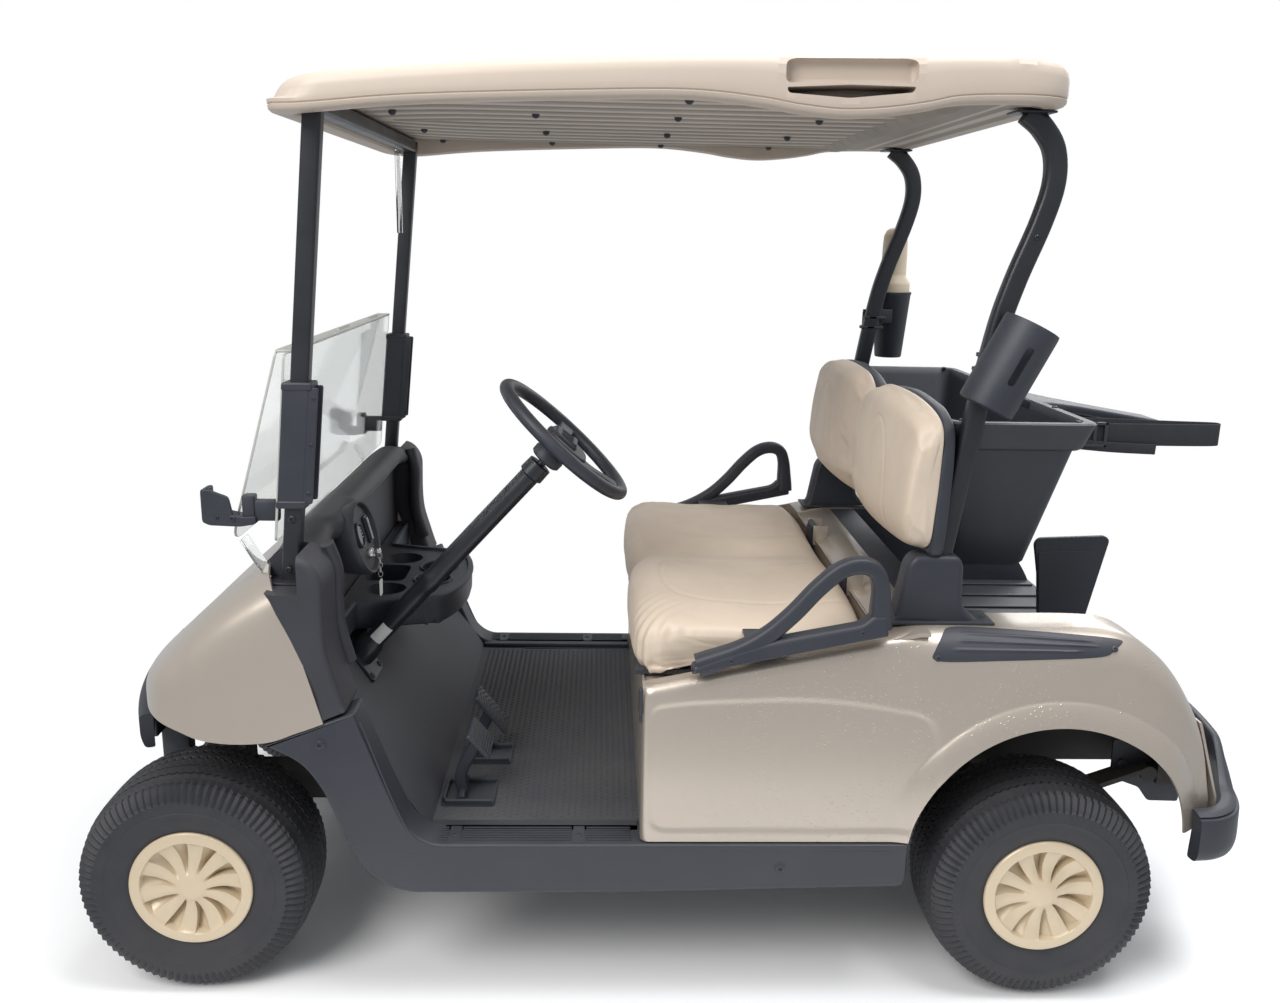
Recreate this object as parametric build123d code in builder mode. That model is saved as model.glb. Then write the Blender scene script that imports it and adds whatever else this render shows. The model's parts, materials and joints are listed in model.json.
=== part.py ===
from build123d import *
import os
from math import atan2, cos, degrees, radians, sin

# Two-seat electric golf cart with a canopy, a folded windshield and a bag well.
# Millimetres. +X is forward, +Y is the driver's side, +Z is up.
# The origin is on the ground below the middle of the vehicle's box.

# ---- driving dimensions -------------------------------------------------------------
WHEELBASE = 1669.0
FRONT_AXLE_X = 971.5
FRONT_TRACK = 920.0
REAR_TRACK = 976.0
TYRE_RADIUS = 228.5
TYRE_WIDTH = 206.0
RIM_RADIUS = 101.5
BODY_HALF_WIDTH = 585.0
BODY_WALL = 5.0
REAR_END_X = -1200.0
ROOF_HALF = 582.0
ROOF_RIM = 48.0
STRUT_INSET = 92.0
REAR_STRUT_INSET = 112.0
KINGPIN_INSET = 130.0

SOFT_GAP = 0.3
CLEARANCE = 0.3
PIN_CLEARANCE = 0.3

REAR_AXLE_X = FRONT_AXLE_X - WHEELBASE
AXLE_Z = TYRE_RADIUS
FRONT_WHEEL_Y = FRONT_TRACK / 2
REAR_WHEEL_Y = REAR_TRACK / 2
KINGPIN_Y = FRONT_WHEEL_Y - KINGPIN_INSET
STRUT_Y = ROOF_HALF - STRUT_INSET
REAR_STRUT_Y = ROOF_HALF - REAR_STRUT_INSET

SIDES = (("left", 1), ("right", -1))


def side_plane(y):
    """The XZ plane at station y, with its normal towards +Y."""
    return Plane(origin=(0, y, 0), x_dir=(-1, 0, 0), z_dir=(0, 1, 0))


def flip(points):
    """Outline points given as (x, z), turned for side_plane, whose x runs backwards."""
    return [(-x, z) for x, z in points]


def finish(builder, name):
    """Label a finished piece and write it."""
    builder.part.label = name
    export_step(builder.part, f"parts/{name}.step")


os.makedirs("parts", exist_ok=True)

# ---- frame --------------------------------------------------------------------------
FLOOR_Z = 330.0
FLOOR_THICKNESS = 12.0
RAIL_Y = KINGPIN_Y - 135.0
RAIL_WIDTH = 50.0
RAIL_HEIGHT = 75.0
RAIL_TOP = FLOOR_Z - FLOOR_THICKNESS
RAIL_BOTTOM = RAIL_TOP - RAIL_HEIGHT
RAIL_FRONT_X = 1085.0
KICK_START_X = -440.0
KICK_END_X = -545.0
KICK_RISE = 100.0
RAIL_REAR_X = -1080.0
TOWER_TOP_Z = 530.0
TOWER_PLATE = 10.0
SHOCK_Y = KINGPIN_Y - 68.0
SHOCK_RADIUS = 30.0
RACK_MOUNT_X = 815.0
CROSS_DEPTH = 40.0
SPRING_Y = 310.0
SPRING_WIDTH = 50.0
SPRING_EYE_RADIUS = 18.0
SPRING_FRONT_X = -398.0
SPRING_REAR_X = -1010.0
REAR_EYE_Z = RAIL_BOTTOM + KICK_RISE + 22.0
FRONT_EYE_Z = RAIL_BOTTOM + 50.0
TOW_EYE_RADIUS = 12.0
TOW_PLATE = 10.0
FRONT_CROSS_X = RAIL_FRONT_X - CROSS_DEPTH / 2
BATTERY_FRONT_X = -30.0
BATTERY_LENGTH = 300.0

rail_outline = [
    (RAIL_FRONT_X, RAIL_BOTTOM),
    (RAIL_FRONT_X, RAIL_TOP),
    (KICK_START_X, RAIL_TOP),
    (KICK_END_X, RAIL_TOP + KICK_RISE),
    (RAIL_REAR_X, RAIL_TOP + KICK_RISE),
    (RAIL_REAR_X, RAIL_BOTTOM + KICK_RISE),
    (KICK_END_X, RAIL_BOTTOM + KICK_RISE),
    (KICK_START_X, RAIL_BOTTOM),
]
spring_front_cross_x = SPRING_FRONT_X + SPRING_EYE_RADIUS + CLEARANCE + CROSS_DEPTH / 2
spring_rear_cross_x = SPRING_REAR_X - SPRING_EYE_RADIUS - CLEARANCE - CROSS_DEPTH / 2
# Cross members: centre x, bottom z, height, half length across.
cross_members = (
    (FRONT_CROSS_X, RAIL_BOTTOM, RAIL_HEIGHT, RAIL_Y),
    (RACK_MOUNT_X, RAIL_BOTTOM, 40.0, RAIL_Y),
    (300.0, RAIL_BOTTOM, RAIL_HEIGHT, 470.0),
    (spring_front_cross_x, RAIL_BOTTOM, RAIL_HEIGHT, SPRING_Y + SPRING_WIDTH / 2),
    (spring_rear_cross_x, RAIL_BOTTOM + KICK_RISE, 50.0, SPRING_Y + SPRING_WIDTH / 2),
)
with BuildPart() as frame:
    for side in (1, -1):
        with BuildSketch(side_plane(side * RAIL_Y)):
            with BuildLine():
                Polyline(*flip(rail_outline), close=True)
            make_face()
        extrude(amount=RAIL_WIDTH / 2, both=True)
        with Locations((FRONT_AXLE_X, side * RAIL_Y, (RAIL_TOP + TOWER_TOP_Z) / 2)):
            Box(CROSS_DEPTH, RAIL_WIDTH, TOWER_TOP_Z - RAIL_TOP)
    for cross_x, cross_bottom, cross_height, cross_half in cross_members:
        with Locations((cross_x, 0, cross_bottom + cross_height / 2)):
            Box(CROSS_DEPTH, 2 * cross_half, cross_height)
    with Locations((FRONT_AXLE_X, 0, TOWER_TOP_Z - TOWER_PLATE / 2)):
        Box(2 * SHOCK_RADIUS, 2 * (SHOCK_Y + SHOCK_RADIUS), TOWER_PLATE)
    with Locations((RAIL_FRONT_X + 25, 0, RAIL_BOTTOM + TOW_PLATE / 2)):
        Box(70, 90, TOW_PLATE)
    with Locations((RAIL_FRONT_X + 35, 0, RAIL_BOTTOM + TOW_PLATE)):
        Hole(TOW_EYE_RADIUS, depth=TOW_PLATE)
finish(frame, "frame")

# ---- battery pack -------------------------------------------------------------------
BATTERY_WIDTH = 470.0
BATTERY_HEIGHT = 240.0
BATTERY_CORNER = 20.0
with BuildPart() as battery_pack:
    with Locations((BATTERY_FRONT_X - BATTERY_LENGTH / 2, 0, RAIL_TOP + BATTERY_HEIGHT / 2)):
        Box(BATTERY_LENGTH, BATTERY_WIDTH, BATTERY_HEIGHT)
    fillet(battery_pack.edges().filter_by(Axis.Z), BATTERY_CORNER)
finish(battery_pack, "battery_pack")

# ---- front suspension and steering --------------------------------------------------
KINGPIN_RADIUS = 10.0
SLEEVE_RADIUS = 22.0
SLEEVE_HALF = 53.0
ARM_PIVOT_Y = RAIL_Y + 5.0
ARM_PIVOT_SPREAD = 60.0
ARM_TUBE_RADIUS = 11.0
ARM_PIVOT_Z = RAIL_BOTTOM - 18.0
ARM_END_Z = AXLE_Z - 39.0
SPRING_SEAT_Z = 212.0
KNUCKLE_PLATE = 9.5
KNUCKLE_WEB_Y = KINGPIN_Y + SLEEVE_RADIUS + 6.0
KNUCKLE_WEB = 12.0
STEERING_ARM = 80.0
SPINDLE_RADIUS = 12.0
HUB_INNER = -20.0
HUB_OUTER = 30.0
TIE_ROD_RADIUS = 7.0
TIE_ROD_Z = AXLE_Z - SLEEVE_HALF + 12.0
TIE_ROD_INNER_Y = 130.0
RACK_X = FRONT_AXLE_X - STEERING_ARM
RACK_RADIUS = 24.0
BOOT_INNER = 19.0
BOOT_END_Y = 172.0
BOOT_SHIFT = 4.7
BOOT_DEPTH = 45.0

ARM_END_SPREAD = 8.0
ARM_END_INSET = 6.0
with BuildPart() as front_arms:
    for end in (1, -1):
        pivot_x = FRONT_AXLE_X + end * ARM_PIVOT_SPREAD
        with BuildLine():
            Line(
                (pivot_x, ARM_PIVOT_Y, ARM_PIVOT_Z),
                (FRONT_AXLE_X + end * ARM_END_SPREAD, KINGPIN_Y - ARM_END_INSET, ARM_END_Z),
            )
        arm_run = (
            end * ARM_END_SPREAD - end * ARM_PIVOT_SPREAD,
            KINGPIN_Y - ARM_END_INSET - ARM_PIVOT_Y,
            ARM_END_Z - ARM_PIVOT_Z,
        )
        with BuildSketch(Plane(origin=(pivot_x, ARM_PIVOT_Y, ARM_PIVOT_Z), z_dir=arm_run)):
            Circle(ARM_TUBE_RADIUS)
        sweep()
        with Locations((pivot_x, ARM_PIVOT_Y, (ARM_PIVOT_Z + RAIL_BOTTOM) / 2)):
            Box(28, 30, RAIL_BOTTOM - ARM_PIVOT_Z)
        with Locations(Location((pivot_x, ARM_PIVOT_Y, ARM_PIVOT_Z), (0, 90, 0))):
            Cylinder(14, 34)
    with Locations((FRONT_AXLE_X, SHOCK_Y + 12, SPRING_SEAT_Z - 10)):
        Box(76, 80, 20)
    with Locations((FRONT_AXLE_X, SHOCK_Y, SPRING_SEAT_Z)):
        Cylinder(
            SHOCK_RADIUS + 10, 60,
            align=(Align.CENTER, Align.CENTER, Align.MIN), mode=Mode.SUBTRACT,
        )
    with Locations((FRONT_AXLE_X, KINGPIN_Y, AXLE_Z)):
        Cylinder(SLEEVE_RADIUS, 2 * SLEEVE_HALF)
        Cylinder(KINGPIN_RADIUS + PIN_CLEARANCE, 2 * SLEEVE_HALF, mode=Mode.SUBTRACT)
    mirror(about=Plane.XZ)
finish(front_arms, "front_arms")

SHOCK_TOP_Z = TOWER_TOP_Z - TOWER_PLATE
COIL_COUNT = 7
COIL_PITCH = 30.0
COIL_BASE_Z = 240.0
with BuildPart() as front_shocks:
    with BuildSketch(Plane(origin=(FRONT_AXLE_X, SHOCK_Y, 0), x_dir=(1, 0, 0), z_dir=(0, -1, 0))):
        with BuildLine():
            Polyline(
                (0, SPRING_SEAT_Z), (SHOCK_RADIUS, SPRING_SEAT_Z), (SHOCK_RADIUS, SPRING_SEAT_Z + 6),
                (16, SPRING_SEAT_Z + 10), (16, SHOCK_TOP_Z - 40), (SHOCK_RADIUS, SHOCK_TOP_Z - 36),
                (SHOCK_RADIUS, SHOCK_TOP_Z - 28), (12, SHOCK_TOP_Z - 24), (12, SHOCK_TOP_Z),
                (0, SHOCK_TOP_Z), close=True,
            )
        make_face()
    revolve(axis=Axis((FRONT_AXLE_X, SHOCK_Y, 0), (0, 0, 1)))
    for coil in range(COIL_COUNT):
        with Locations((FRONT_AXLE_X, SHOCK_Y, COIL_BASE_Z + coil * COIL_PITCH)):
            Cylinder(SHOCK_RADIUS - 2, 12)
    mirror(about=Plane.XZ)
finish(front_shocks, "front_shocks")

with BuildPart() as steering_rack:
    with Locations(Location((RACK_X + BOOT_SHIFT, 0, TIE_ROD_Z), (90, 0, 0))):
        Cylinder(RACK_RADIUS, 2 * BOOT_END_Y)
        for end in (1, -1):
            with Locations((0, 0, end * (BOOT_END_Y + TIE_ROD_INNER_Y - BOOT_DEPTH) / 2)):
                Cylinder(BOOT_INNER, BOOT_END_Y - TIE_ROD_INNER_Y + BOOT_DEPTH, mode=Mode.SUBTRACT)
    with Locations(
        ((RACK_X + RACK_MOUNT_X + CROSS_DEPTH / 2) / 2, -55, TIE_ROD_Z + 42),
        ((RACK_X + RACK_MOUNT_X + CROSS_DEPTH / 2) / 2, 55, TIE_ROD_Z + 42),
    ):
        Box(RACK_X - RACK_MOUNT_X - CROSS_DEPTH / 2, 26, 84)
finish(steering_rack, "steering_rack")

for name, side in SIDES:
    with BuildPart() as knuckle:
        kingpin_y = side * KINGPIN_Y
        with Locations((FRONT_AXLE_X, kingpin_y, AXLE_Z)):
            Cylinder(KINGPIN_RADIUS, 2 * (SLEEVE_HALF + CLEARANCE) + KNUCKLE_PLATE)
        plate_z = SLEEVE_HALF + CLEARANCE + KNUCKLE_PLATE / 2
        plate_length = KNUCKLE_WEB_Y + KNUCKLE_WEB - KINGPIN_Y + SLEEVE_RADIUS
        plate_y = side * (KNUCKLE_WEB_Y + KNUCKLE_WEB - plate_length / 2)
        with Locations(
            (FRONT_AXLE_X, plate_y, AXLE_Z + plate_z),
            (FRONT_AXLE_X, plate_y, AXLE_Z - plate_z),
        ):
            Box(2 * SLEEVE_RADIUS, plate_length, KNUCKLE_PLATE)
        with Locations((FRONT_AXLE_X, side * (KNUCKLE_WEB_Y + KNUCKLE_WEB / 2), AXLE_Z)):
            Box(2 * SLEEVE_RADIUS, KNUCKLE_WEB, 2 * plate_z + KNUCKLE_PLATE)
        with Locations((FRONT_AXLE_X - STEERING_ARM / 2, kingpin_y, AXLE_Z - plate_z)):
            Box(STEERING_ARM + 24, 24, KNUCKLE_PLATE)
        with Locations((RACK_X, kingpin_y, AXLE_Z - plate_z)):
            Cylinder(6 + PIN_CLEARANCE, KNUCKLE_PLATE, mode=Mode.SUBTRACT)
        shoulder_y = FRONT_WHEEL_Y + HUB_INNER - CLEARANCE
        web_face_y = KNUCKLE_WEB_Y + KNUCKLE_WEB
        with Locations(Location((FRONT_AXLE_X, side * (web_face_y + shoulder_y) / 2, AXLE_Z), (90, 0, 0))):
            Cylinder(SPINDLE_RADIUS + 8, shoulder_y - web_face_y)
        spindle_end_y = FRONT_WHEEL_Y + HUB_OUTER - 2
        with Locations(Location((FRONT_AXLE_X, side * (shoulder_y + spindle_end_y) / 2, AXLE_Z), (90, 0, 0))):
            Cylinder(SPINDLE_RADIUS, spindle_end_y - shoulder_y)
    finish(knuckle, f"knuckle_{name}")

    arm_top_z = AXLE_Z - SLEEVE_HALF - CLEARANCE
    with BuildPart() as tie_rod:
        with Locations((RACK_X, side * KINGPIN_Y, TIE_ROD_Z)):
            Cylinder(11, 2 * (TIE_ROD_Z - arm_top_z - CLEARANCE))
        with Locations((RACK_X, side * KINGPIN_Y, (TIE_ROD_Z + arm_top_z - KNUCKLE_PLATE) / 2)):
            Cylinder(6, TIE_ROD_Z - arm_top_z + KNUCKLE_PLATE)
        with Locations(Location((RACK_X, side * (KINGPIN_Y + TIE_ROD_INNER_Y) / 2, TIE_ROD_Z), (90, 0, 0))):
            Cylinder(TIE_ROD_RADIUS, KINGPIN_Y - TIE_ROD_INNER_Y)
    finish(tie_rod, f"tie_rod_{name}")

# ---- rear axle, motor and springs ---------------------------------------------------
AXLE_TUBE_RADIUS = 35.0
DIFF_RADIUS = 105.0
MOTOR_RADIUS = 75.0
MOTOR_X = REAR_AXLE_X + 165.0
MOTOR_Z = AXLE_Z + 22.0
DRUM_RADIUS = 78.0
DRUM_INNER_Y = 398.0
DRUM_OUTER_Y = 440.0
LEAF = 12.0
LEAF_AXLE_Z = AXLE_Z + AXLE_TUBE_RADIUS + 10.0
SPRING_PAD = 55.0

with BuildPart() as rear_axle:
    with Locations(Location((REAR_AXLE_X, 0, AXLE_Z), (90, 0, 0))):
        Cylinder(AXLE_TUBE_RADIUS, 2 * DRUM_INNER_Y)
        Cylinder(DIFF_RADIUS, 130)
    with Locations(Location((MOTOR_X, -35, MOTOR_Z), (90, 0, 0))):
        Cylinder(MOTOR_RADIUS, 250)
    with Locations(((REAR_AXLE_X + MOTOR_X) / 2, 0, AXLE_Z + 8)):
        Box(MOTOR_X - REAR_AXLE_X, 110, 120)
    for side in (1, -1):
        drum_y = side * (DRUM_INNER_Y + DRUM_OUTER_Y) / 2
        with Locations(Location((REAR_AXLE_X, drum_y, AXLE_Z), (90, 0, 0))):
            Cylinder(DRUM_RADIUS, DRUM_OUTER_Y - DRUM_INNER_Y)
        shoulder_y = REAR_WHEEL_Y + HUB_INNER - CLEARANCE
        with Locations(Location((REAR_AXLE_X, side * (DRUM_OUTER_Y + shoulder_y) / 2, AXLE_Z), (90, 0, 0))):
            Cylinder(SPINDLE_RADIUS + 8, shoulder_y - DRUM_OUTER_Y)
        spindle_end_y = REAR_WHEEL_Y + HUB_OUTER - 2
        with Locations(Location((REAR_AXLE_X, side * (shoulder_y + spindle_end_y) / 2, AXLE_Z), (90, 0, 0))):
            Cylinder(SPINDLE_RADIUS, spindle_end_y - shoulder_y)
        with Locations((REAR_AXLE_X, side * SPRING_Y, (AXLE_Z + LEAF_AXLE_Z) / 2)):
            Box(2 * SPRING_PAD, SPRING_WIDTH, LEAF_AXLE_Z - AXLE_Z)
finish(rear_axle, "rear_axle")

leaf_line = [
    (SPRING_FRONT_X - 14, FRONT_EYE_Z),
    (REAR_AXLE_X + SPRING_PAD, LEAF_AXLE_Z),
    (REAR_AXLE_X - SPRING_PAD, LEAF_AXLE_Z),
    (SPRING_REAR_X + 14, REAR_EYE_Z),
]
with BuildPart() as rear_springs:
    for side in (1, -1):
        with BuildSketch(side_plane(side * SPRING_Y)):
            with BuildLine():
                Polyline(
                    *flip(leaf_line), *flip([(x, z + LEAF) for x, z in reversed(leaf_line)]), close=True
                )
            make_face()
        extrude(amount=SPRING_WIDTH / 2, both=True)
        for eye_x, eye_z in ((SPRING_FRONT_X, FRONT_EYE_Z), (SPRING_REAR_X, REAR_EYE_Z)):
            with Locations(Location((eye_x, side * SPRING_Y, eye_z), (90, 0, 0))):
                Cylinder(SPRING_EYE_RADIUS, SPRING_WIDTH)
finish(rear_springs, "rear_springs")

# ---- wheels and tyres ---------------------------------------------------------------
RIM_HALF = 89.0
FLANGE = 3.0
FLANGE_RADIUS = 112.0
RIM_THICKNESS = 4.5
DISC = 6.0
HUB_RADIUS = 30.0
COVER_RADIUS = 119.0
COVER_RING = 21.0
COVER_THICKNESS = 5.0
COVER_CAP_RADIUS = 29.0
BLADES = 10
BLADE_WIDTH = 17.0
TYRE_HALF = TYRE_WIDTH / 2
wheel_places = (
    ("front_left", FRONT_AXLE_X, FRONT_WHEEL_Y, 1),
    ("front_right", FRONT_AXLE_X, FRONT_WHEEL_Y, -1),
    ("rear_left", REAR_AXLE_X, REAR_WHEEL_Y, 1),
    ("rear_right", REAR_AXLE_X, REAR_WHEEL_Y, -1),
)
# Tyre section above the rim, as (half width, radius) from bead to crown.
bead_radius = RIM_RADIUS + CLEARANCE
tyre_section = (
    (RIM_HALF - CLEARANCE, bead_radius),
    (RIM_HALF - CLEARANCE, FLANGE_RADIUS + CLEARANCE),
    (RIM_HALF + 2, COVER_RADIUS + 2),
    (TYRE_HALF, TYRE_RADIUS - 78),
    (TYRE_HALF, TYRE_RADIUS - 40),
    (TYRE_HALF - 19, TYRE_RADIUS - 18),
    (TYRE_HALF - 33, TYRE_RADIUS - 9),
)
for name, wheel_x, wheel_y, side in wheel_places:
    # In this plane, local x runs outward along the axle and local y is the radius.
    section_plane = Plane(
        origin=(wheel_x, side * wheel_y, AXLE_Z), x_dir=(0, side, 0), z_dir=(side, 0, 0)
    )
    axle_line = Axis((wheel_x, side * wheel_y, AXLE_Z), (0, 1, 0))
    face_plane = Plane(
        origin=(wheel_x, side * (wheel_y + RIM_HALF + FLANGE), AXLE_Z),
        x_dir=(-side, 0, 0), z_dir=(0, side, 0),
    )
    with BuildPart() as tyre:
        with BuildSketch(section_plane):
            with BuildLine():
                left = Polyline(*[(-h, r) for h, r in tyre_section])
                crown = ThreePointArc(left @ 1, (0, TYRE_RADIUS), tyre_section[-1])
                right = Polyline(*[(h, r) for h, r in reversed(tyre_section)])
                Line(right @ 1, left @ 0)
            make_face()
        revolve(axis=axle_line)
    finish(tyre, f"tyre_{name}")

    with BuildPart() as wheel:
        with BuildSketch(section_plane):
            with BuildLine():
                Polyline(
                    (-RIM_HALF - FLANGE, RIM_RADIUS - RIM_THICKNESS), (-RIM_HALF - FLANGE, FLANGE_RADIUS),
                    (-RIM_HALF, FLANGE_RADIUS), (-RIM_HALF, RIM_RADIUS), (RIM_HALF, RIM_RADIUS),
                    (RIM_HALF, FLANGE_RADIUS), (RIM_HALF + FLANGE, FLANGE_RADIUS),
                    (RIM_HALF + FLANGE, RIM_RADIUS - RIM_THICKNESS), (DISC, RIM_RADIUS - RIM_THICKNESS),
                    (DISC, HUB_RADIUS), (HUB_OUTER, HUB_RADIUS), (HUB_OUTER, SPINDLE_RADIUS + PIN_CLEARANCE),
                    (HUB_INNER, SPINDLE_RADIUS + PIN_CLEARANCE), (HUB_INNER, HUB_RADIUS), (0, HUB_RADIUS),
                    (0, RIM_RADIUS - RIM_THICKNESS), close=True,
                )
            make_face()
        revolve(axis=axle_line)
        with BuildSketch(face_plane):
            Circle(COVER_RADIUS)
            Circle(COVER_RADIUS - COVER_RING, mode=Mode.SUBTRACT)
            Circle(COVER_CAP_RADIUS)
            with PolarLocations(COVER_RADIUS / 2, BLADES):
                Rectangle(COVER_RADIUS - COVER_RING, BLADE_WIDTH)
        extrude(amount=COVER_THICKNESS)
    finish(wheel, f"wheel_{name}")

# ---- body outlines shared by several panels, as (x, z) ------------------------------
ROCKER_TIP = (805.0, 545.0)
ROCKER_TOP_REAR = (637.0, 611.0)
SEAM_TOP = (779.0, 838.0)
HOOD_REAR = (812.0, 872.0)
SILL_Z = 342.0
SILL_INNER_Y = 490.0
SILL_FRONT_X = 505.0
DOOR_REAR_X = 101.0
ROCKER_REAR_X = -419.0
PANEL_GAP = 3.0


def on_rocker_top(x):
    """The height of the rocker's sloping top edge at x."""
    slope = (ROCKER_TIP[1] - ROCKER_TOP_REAR[1]) / (ROCKER_TIP[0] - ROCKER_TOP_REAR[0])
    return ROCKER_TOP_REAR[1] + slope * (x - ROCKER_TOP_REAR[0])


SEAM_FOOT = (691.0, on_rocker_top(691.0) + PANEL_GAP)

# ---- floor --------------------------------------------------------------------------
FLOOR_REAR_X = 60.0
FLOOR_FRONT_X = 510.0
TOE_TOP_X = 705.0
TOE_TOP_Z = 610.0
TOE_THICKNESS = 10.0
toe_run = TOE_TOP_X - FLOOR_FRONT_X
toe_rise = TOE_TOP_Z - FLOOR_Z
toe_length = (toe_run**2 + toe_rise**2) ** 0.5
toe_dx = TOE_THICKNESS * toe_rise / toe_length
toe_dz = TOE_THICKNESS * toe_run / toe_length
FLOOR_HALF = 505.0
FIREWALL_X = 740.0
FIREWALL_TOP_Z = 890.0
WALL = 6.0
STEER_Y = 250.0
STEER_WHEEL_X = 260.0
STEER_WHEEL_Z = 1070.0
STEER_LEAN = 47.5
COLUMN_RADIUS = 21.0
SHAFT_RADIUS = 9.0
steer_dir = Vector(-cos(radians(STEER_LEAN)), 0, sin(radians(STEER_LEAN)))
steer_centre = Vector(STEER_WHEEL_X, STEER_Y, STEER_WHEEL_Z)
# Distance down the column from the wheel's centre to the toe board's face.
toe_slope = toe_rise / toe_run
foot_run = (STEER_WHEEL_Z - FLOOR_Z - toe_slope * (STEER_WHEEL_X - FLOOR_FRONT_X)) / (
    steer_dir.Z - toe_slope * steer_dir.X
)
column_foot = steer_centre - steer_dir * foot_run
with BuildPart() as floor:
    with BuildSketch(side_plane(0)):
        with BuildLine():
            Polyline(
                *flip([
                    (FLOOR_REAR_X, FLOOR_Z), (FLOOR_FRONT_X, FLOOR_Z), (TOE_TOP_X, TOE_TOP_Z),
                    (FIREWALL_X, TOE_TOP_Z), (FIREWALL_X, TOE_TOP_Z - WALL),
                    (TOE_TOP_X + toe_dx, TOE_TOP_Z - toe_dz),
                    (FLOOR_FRONT_X + toe_dx, FLOOR_Z - FLOOR_THICKNESS),
                    (FLOOR_REAR_X, FLOOR_Z - FLOOR_THICKNESS),
                ]), close=True,
            )
        make_face()
    extrude(amount=FLOOR_HALF, both=True)
    with Locations(column_foot):
        Cylinder(SHAFT_RADIUS + 14, 120, mode=Mode.SUBTRACT)
finish(floor, "floor")

# ---- rocker panels ------------------------------------------------------------------
ROCKER_BOTTOM_Z = 238.0
rocker_outline = [
    (ROCKER_REAR_X, ROCKER_BOTTOM_Z + 14), (ROCKER_REAR_X, SILL_Z), (SILL_FRONT_X, SILL_Z),
    (545, 375), (581, 459), ROCKER_TOP_REAR, ROCKER_TIP, (737, 510), (702, 459), (660, 355),
    (626, 280), (560, ROCKER_BOTTOM_Z), (170, ROCKER_BOTTOM_Z),
]
for name, side in SIDES:
    with BuildPart() as rocker:
        with BuildSketch(side_plane(side * BODY_HALF_WIDTH)) as rocker_face:
            with BuildLine():
                Polyline(*flip(rocker_outline), close=True)
            make_face()
        extrude(amount=-side * (BODY_HALF_WIDTH - FLOOR_HALF))
        with BuildSketch(side_plane(side * (BODY_HALF_WIDTH - BODY_WALL))):
            add(rocker_face.sketch_local)
            offset(amount=-BODY_WALL, kind=Kind.INTERSECTION)
        extrude(amount=-side * BODY_HALF_WIDTH, mode=Mode.SUBTRACT)
        sill_middle_y = side * (SILL_INNER_Y + BODY_HALF_WIDTH - BODY_WALL) / 2
        with Locations(((DOOR_REAR_X + SILL_FRONT_X) / 2, sill_middle_y, (SILL_Z + FLOOR_Z) / 2)):
            Box(SILL_FRONT_X - DOOR_REAR_X, BODY_HALF_WIDTH - BODY_WALL - SILL_INNER_Y, SILL_Z - FLOOR_Z)
    finish(rocker, f"rocker_{name}")

# ---- front cowl ---------------------------------------------------------------------
COWL_NOSE_X = 1162.0
COWL_NOSE_Z = 545.0
COWL_CORNER_X = 1062.0
COWL_BOW_X = 52.0
COWL_BOW_Y = 34.0
COWL_CORNER_Y = 460.0
COWL_SIDE_X = 880.0
COWL_EDGE_RADIUS = 60.0
COWL_REACH = 60.0
ARCH_FRONT = (1025.0, 588.0)
ARCH_MIDDLE = (908.0, 552.0)
HOOD_LINE = [(885.0, 835.0), (967.0, 772.0), (1090.0, 650.0)]
cowl_foot = (ROCKER_TIP[0], ROCKER_TIP[1] + PANEL_GAP)
cowl_seam = [SEAM_FOOT, (707.0, 658.0), (742.0, 748.0), SEAM_TOP, HOOD_REAR]


def cowl_form(wall, lower_line, rear_line):
    """The cowl's body behind its skin, wall in from the outside, above lower_line."""
    shift = wall * sin(radians(45))
    hood = [(x - shift, z - shift) for x, z in [*HOOD_LINE, (COWL_NOSE_X, COWL_NOSE_Z)]]
    half = BODY_HALF_WIDTH - wall
    with BuildPart() as form:
        with BuildSketch(side_plane(0)):
            with BuildLine():
                lower = Polyline(*flip([hood[-1], *lower_line, *rear_line]))
                Spline(lower @ 1, *flip(hood[:-1]), lower @ 0)
            make_face()
        extrude(amount=half, both=True)
        shoulders = form.edges().filter_by(GeomType.BSPLINE).sort_by(Axis.Y)
        fillet([shoulders[0], shoulders[-1]], COWL_EDGE_RADIUS - wall)
        with BuildSketch(Plane.XY):
            with BuildLine():
                corner_x = COWL_CORNER_X - wall
                bow_x = corner_x - COWL_BOW_X
                bow_y = half - COWL_BOW_Y
                open_x = ROCKER_TOP_REAR[0] - 99
                nose = ThreePointArc(
                    (corner_x, -COWL_CORNER_Y), (COWL_NOSE_X - wall, 0), (corner_x, COWL_CORNER_Y),
                )
                left = ThreePointArc(nose @ 1, (bow_x, bow_y), (COWL_SIDE_X, half))
                right = ThreePointArc((COWL_SIDE_X, -half), (bow_x, -bow_y), nose @ 0)
                Polyline(left @ 1, (open_x, half), (open_x, -half), right @ 0)
            make_face()
        extrude(amount=2 * HOOD_REAR[1], mode=Mode.INTERSECT)
    return form.part


cowl_outer = cowl_form(0, [ARCH_FRONT, ARCH_MIDDLE, cowl_foot], cowl_seam)
cowl_inner = cowl_form(
    BODY_WALL,
    [
        (COWL_NOSE_X - BODY_WALL, ROCKER_TIP[1] - COWL_REACH),
        (SEAM_FOOT[0] - COWL_REACH, ROCKER_TIP[1] - COWL_REACH),
    ],
    [
        (SEAM_FOOT[0] - COWL_REACH, HOOD_REAR[1] - 2 * BODY_WALL),
        (HOOD_REAR[0] - 2 * BODY_WALL, HOOD_REAR[1] - BODY_WALL),
    ],
)
with BuildPart() as front_cowl:
    add(cowl_outer)
    add(cowl_inner, mode=Mode.SUBTRACT)
finish(front_cowl, "front_cowl")

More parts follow.
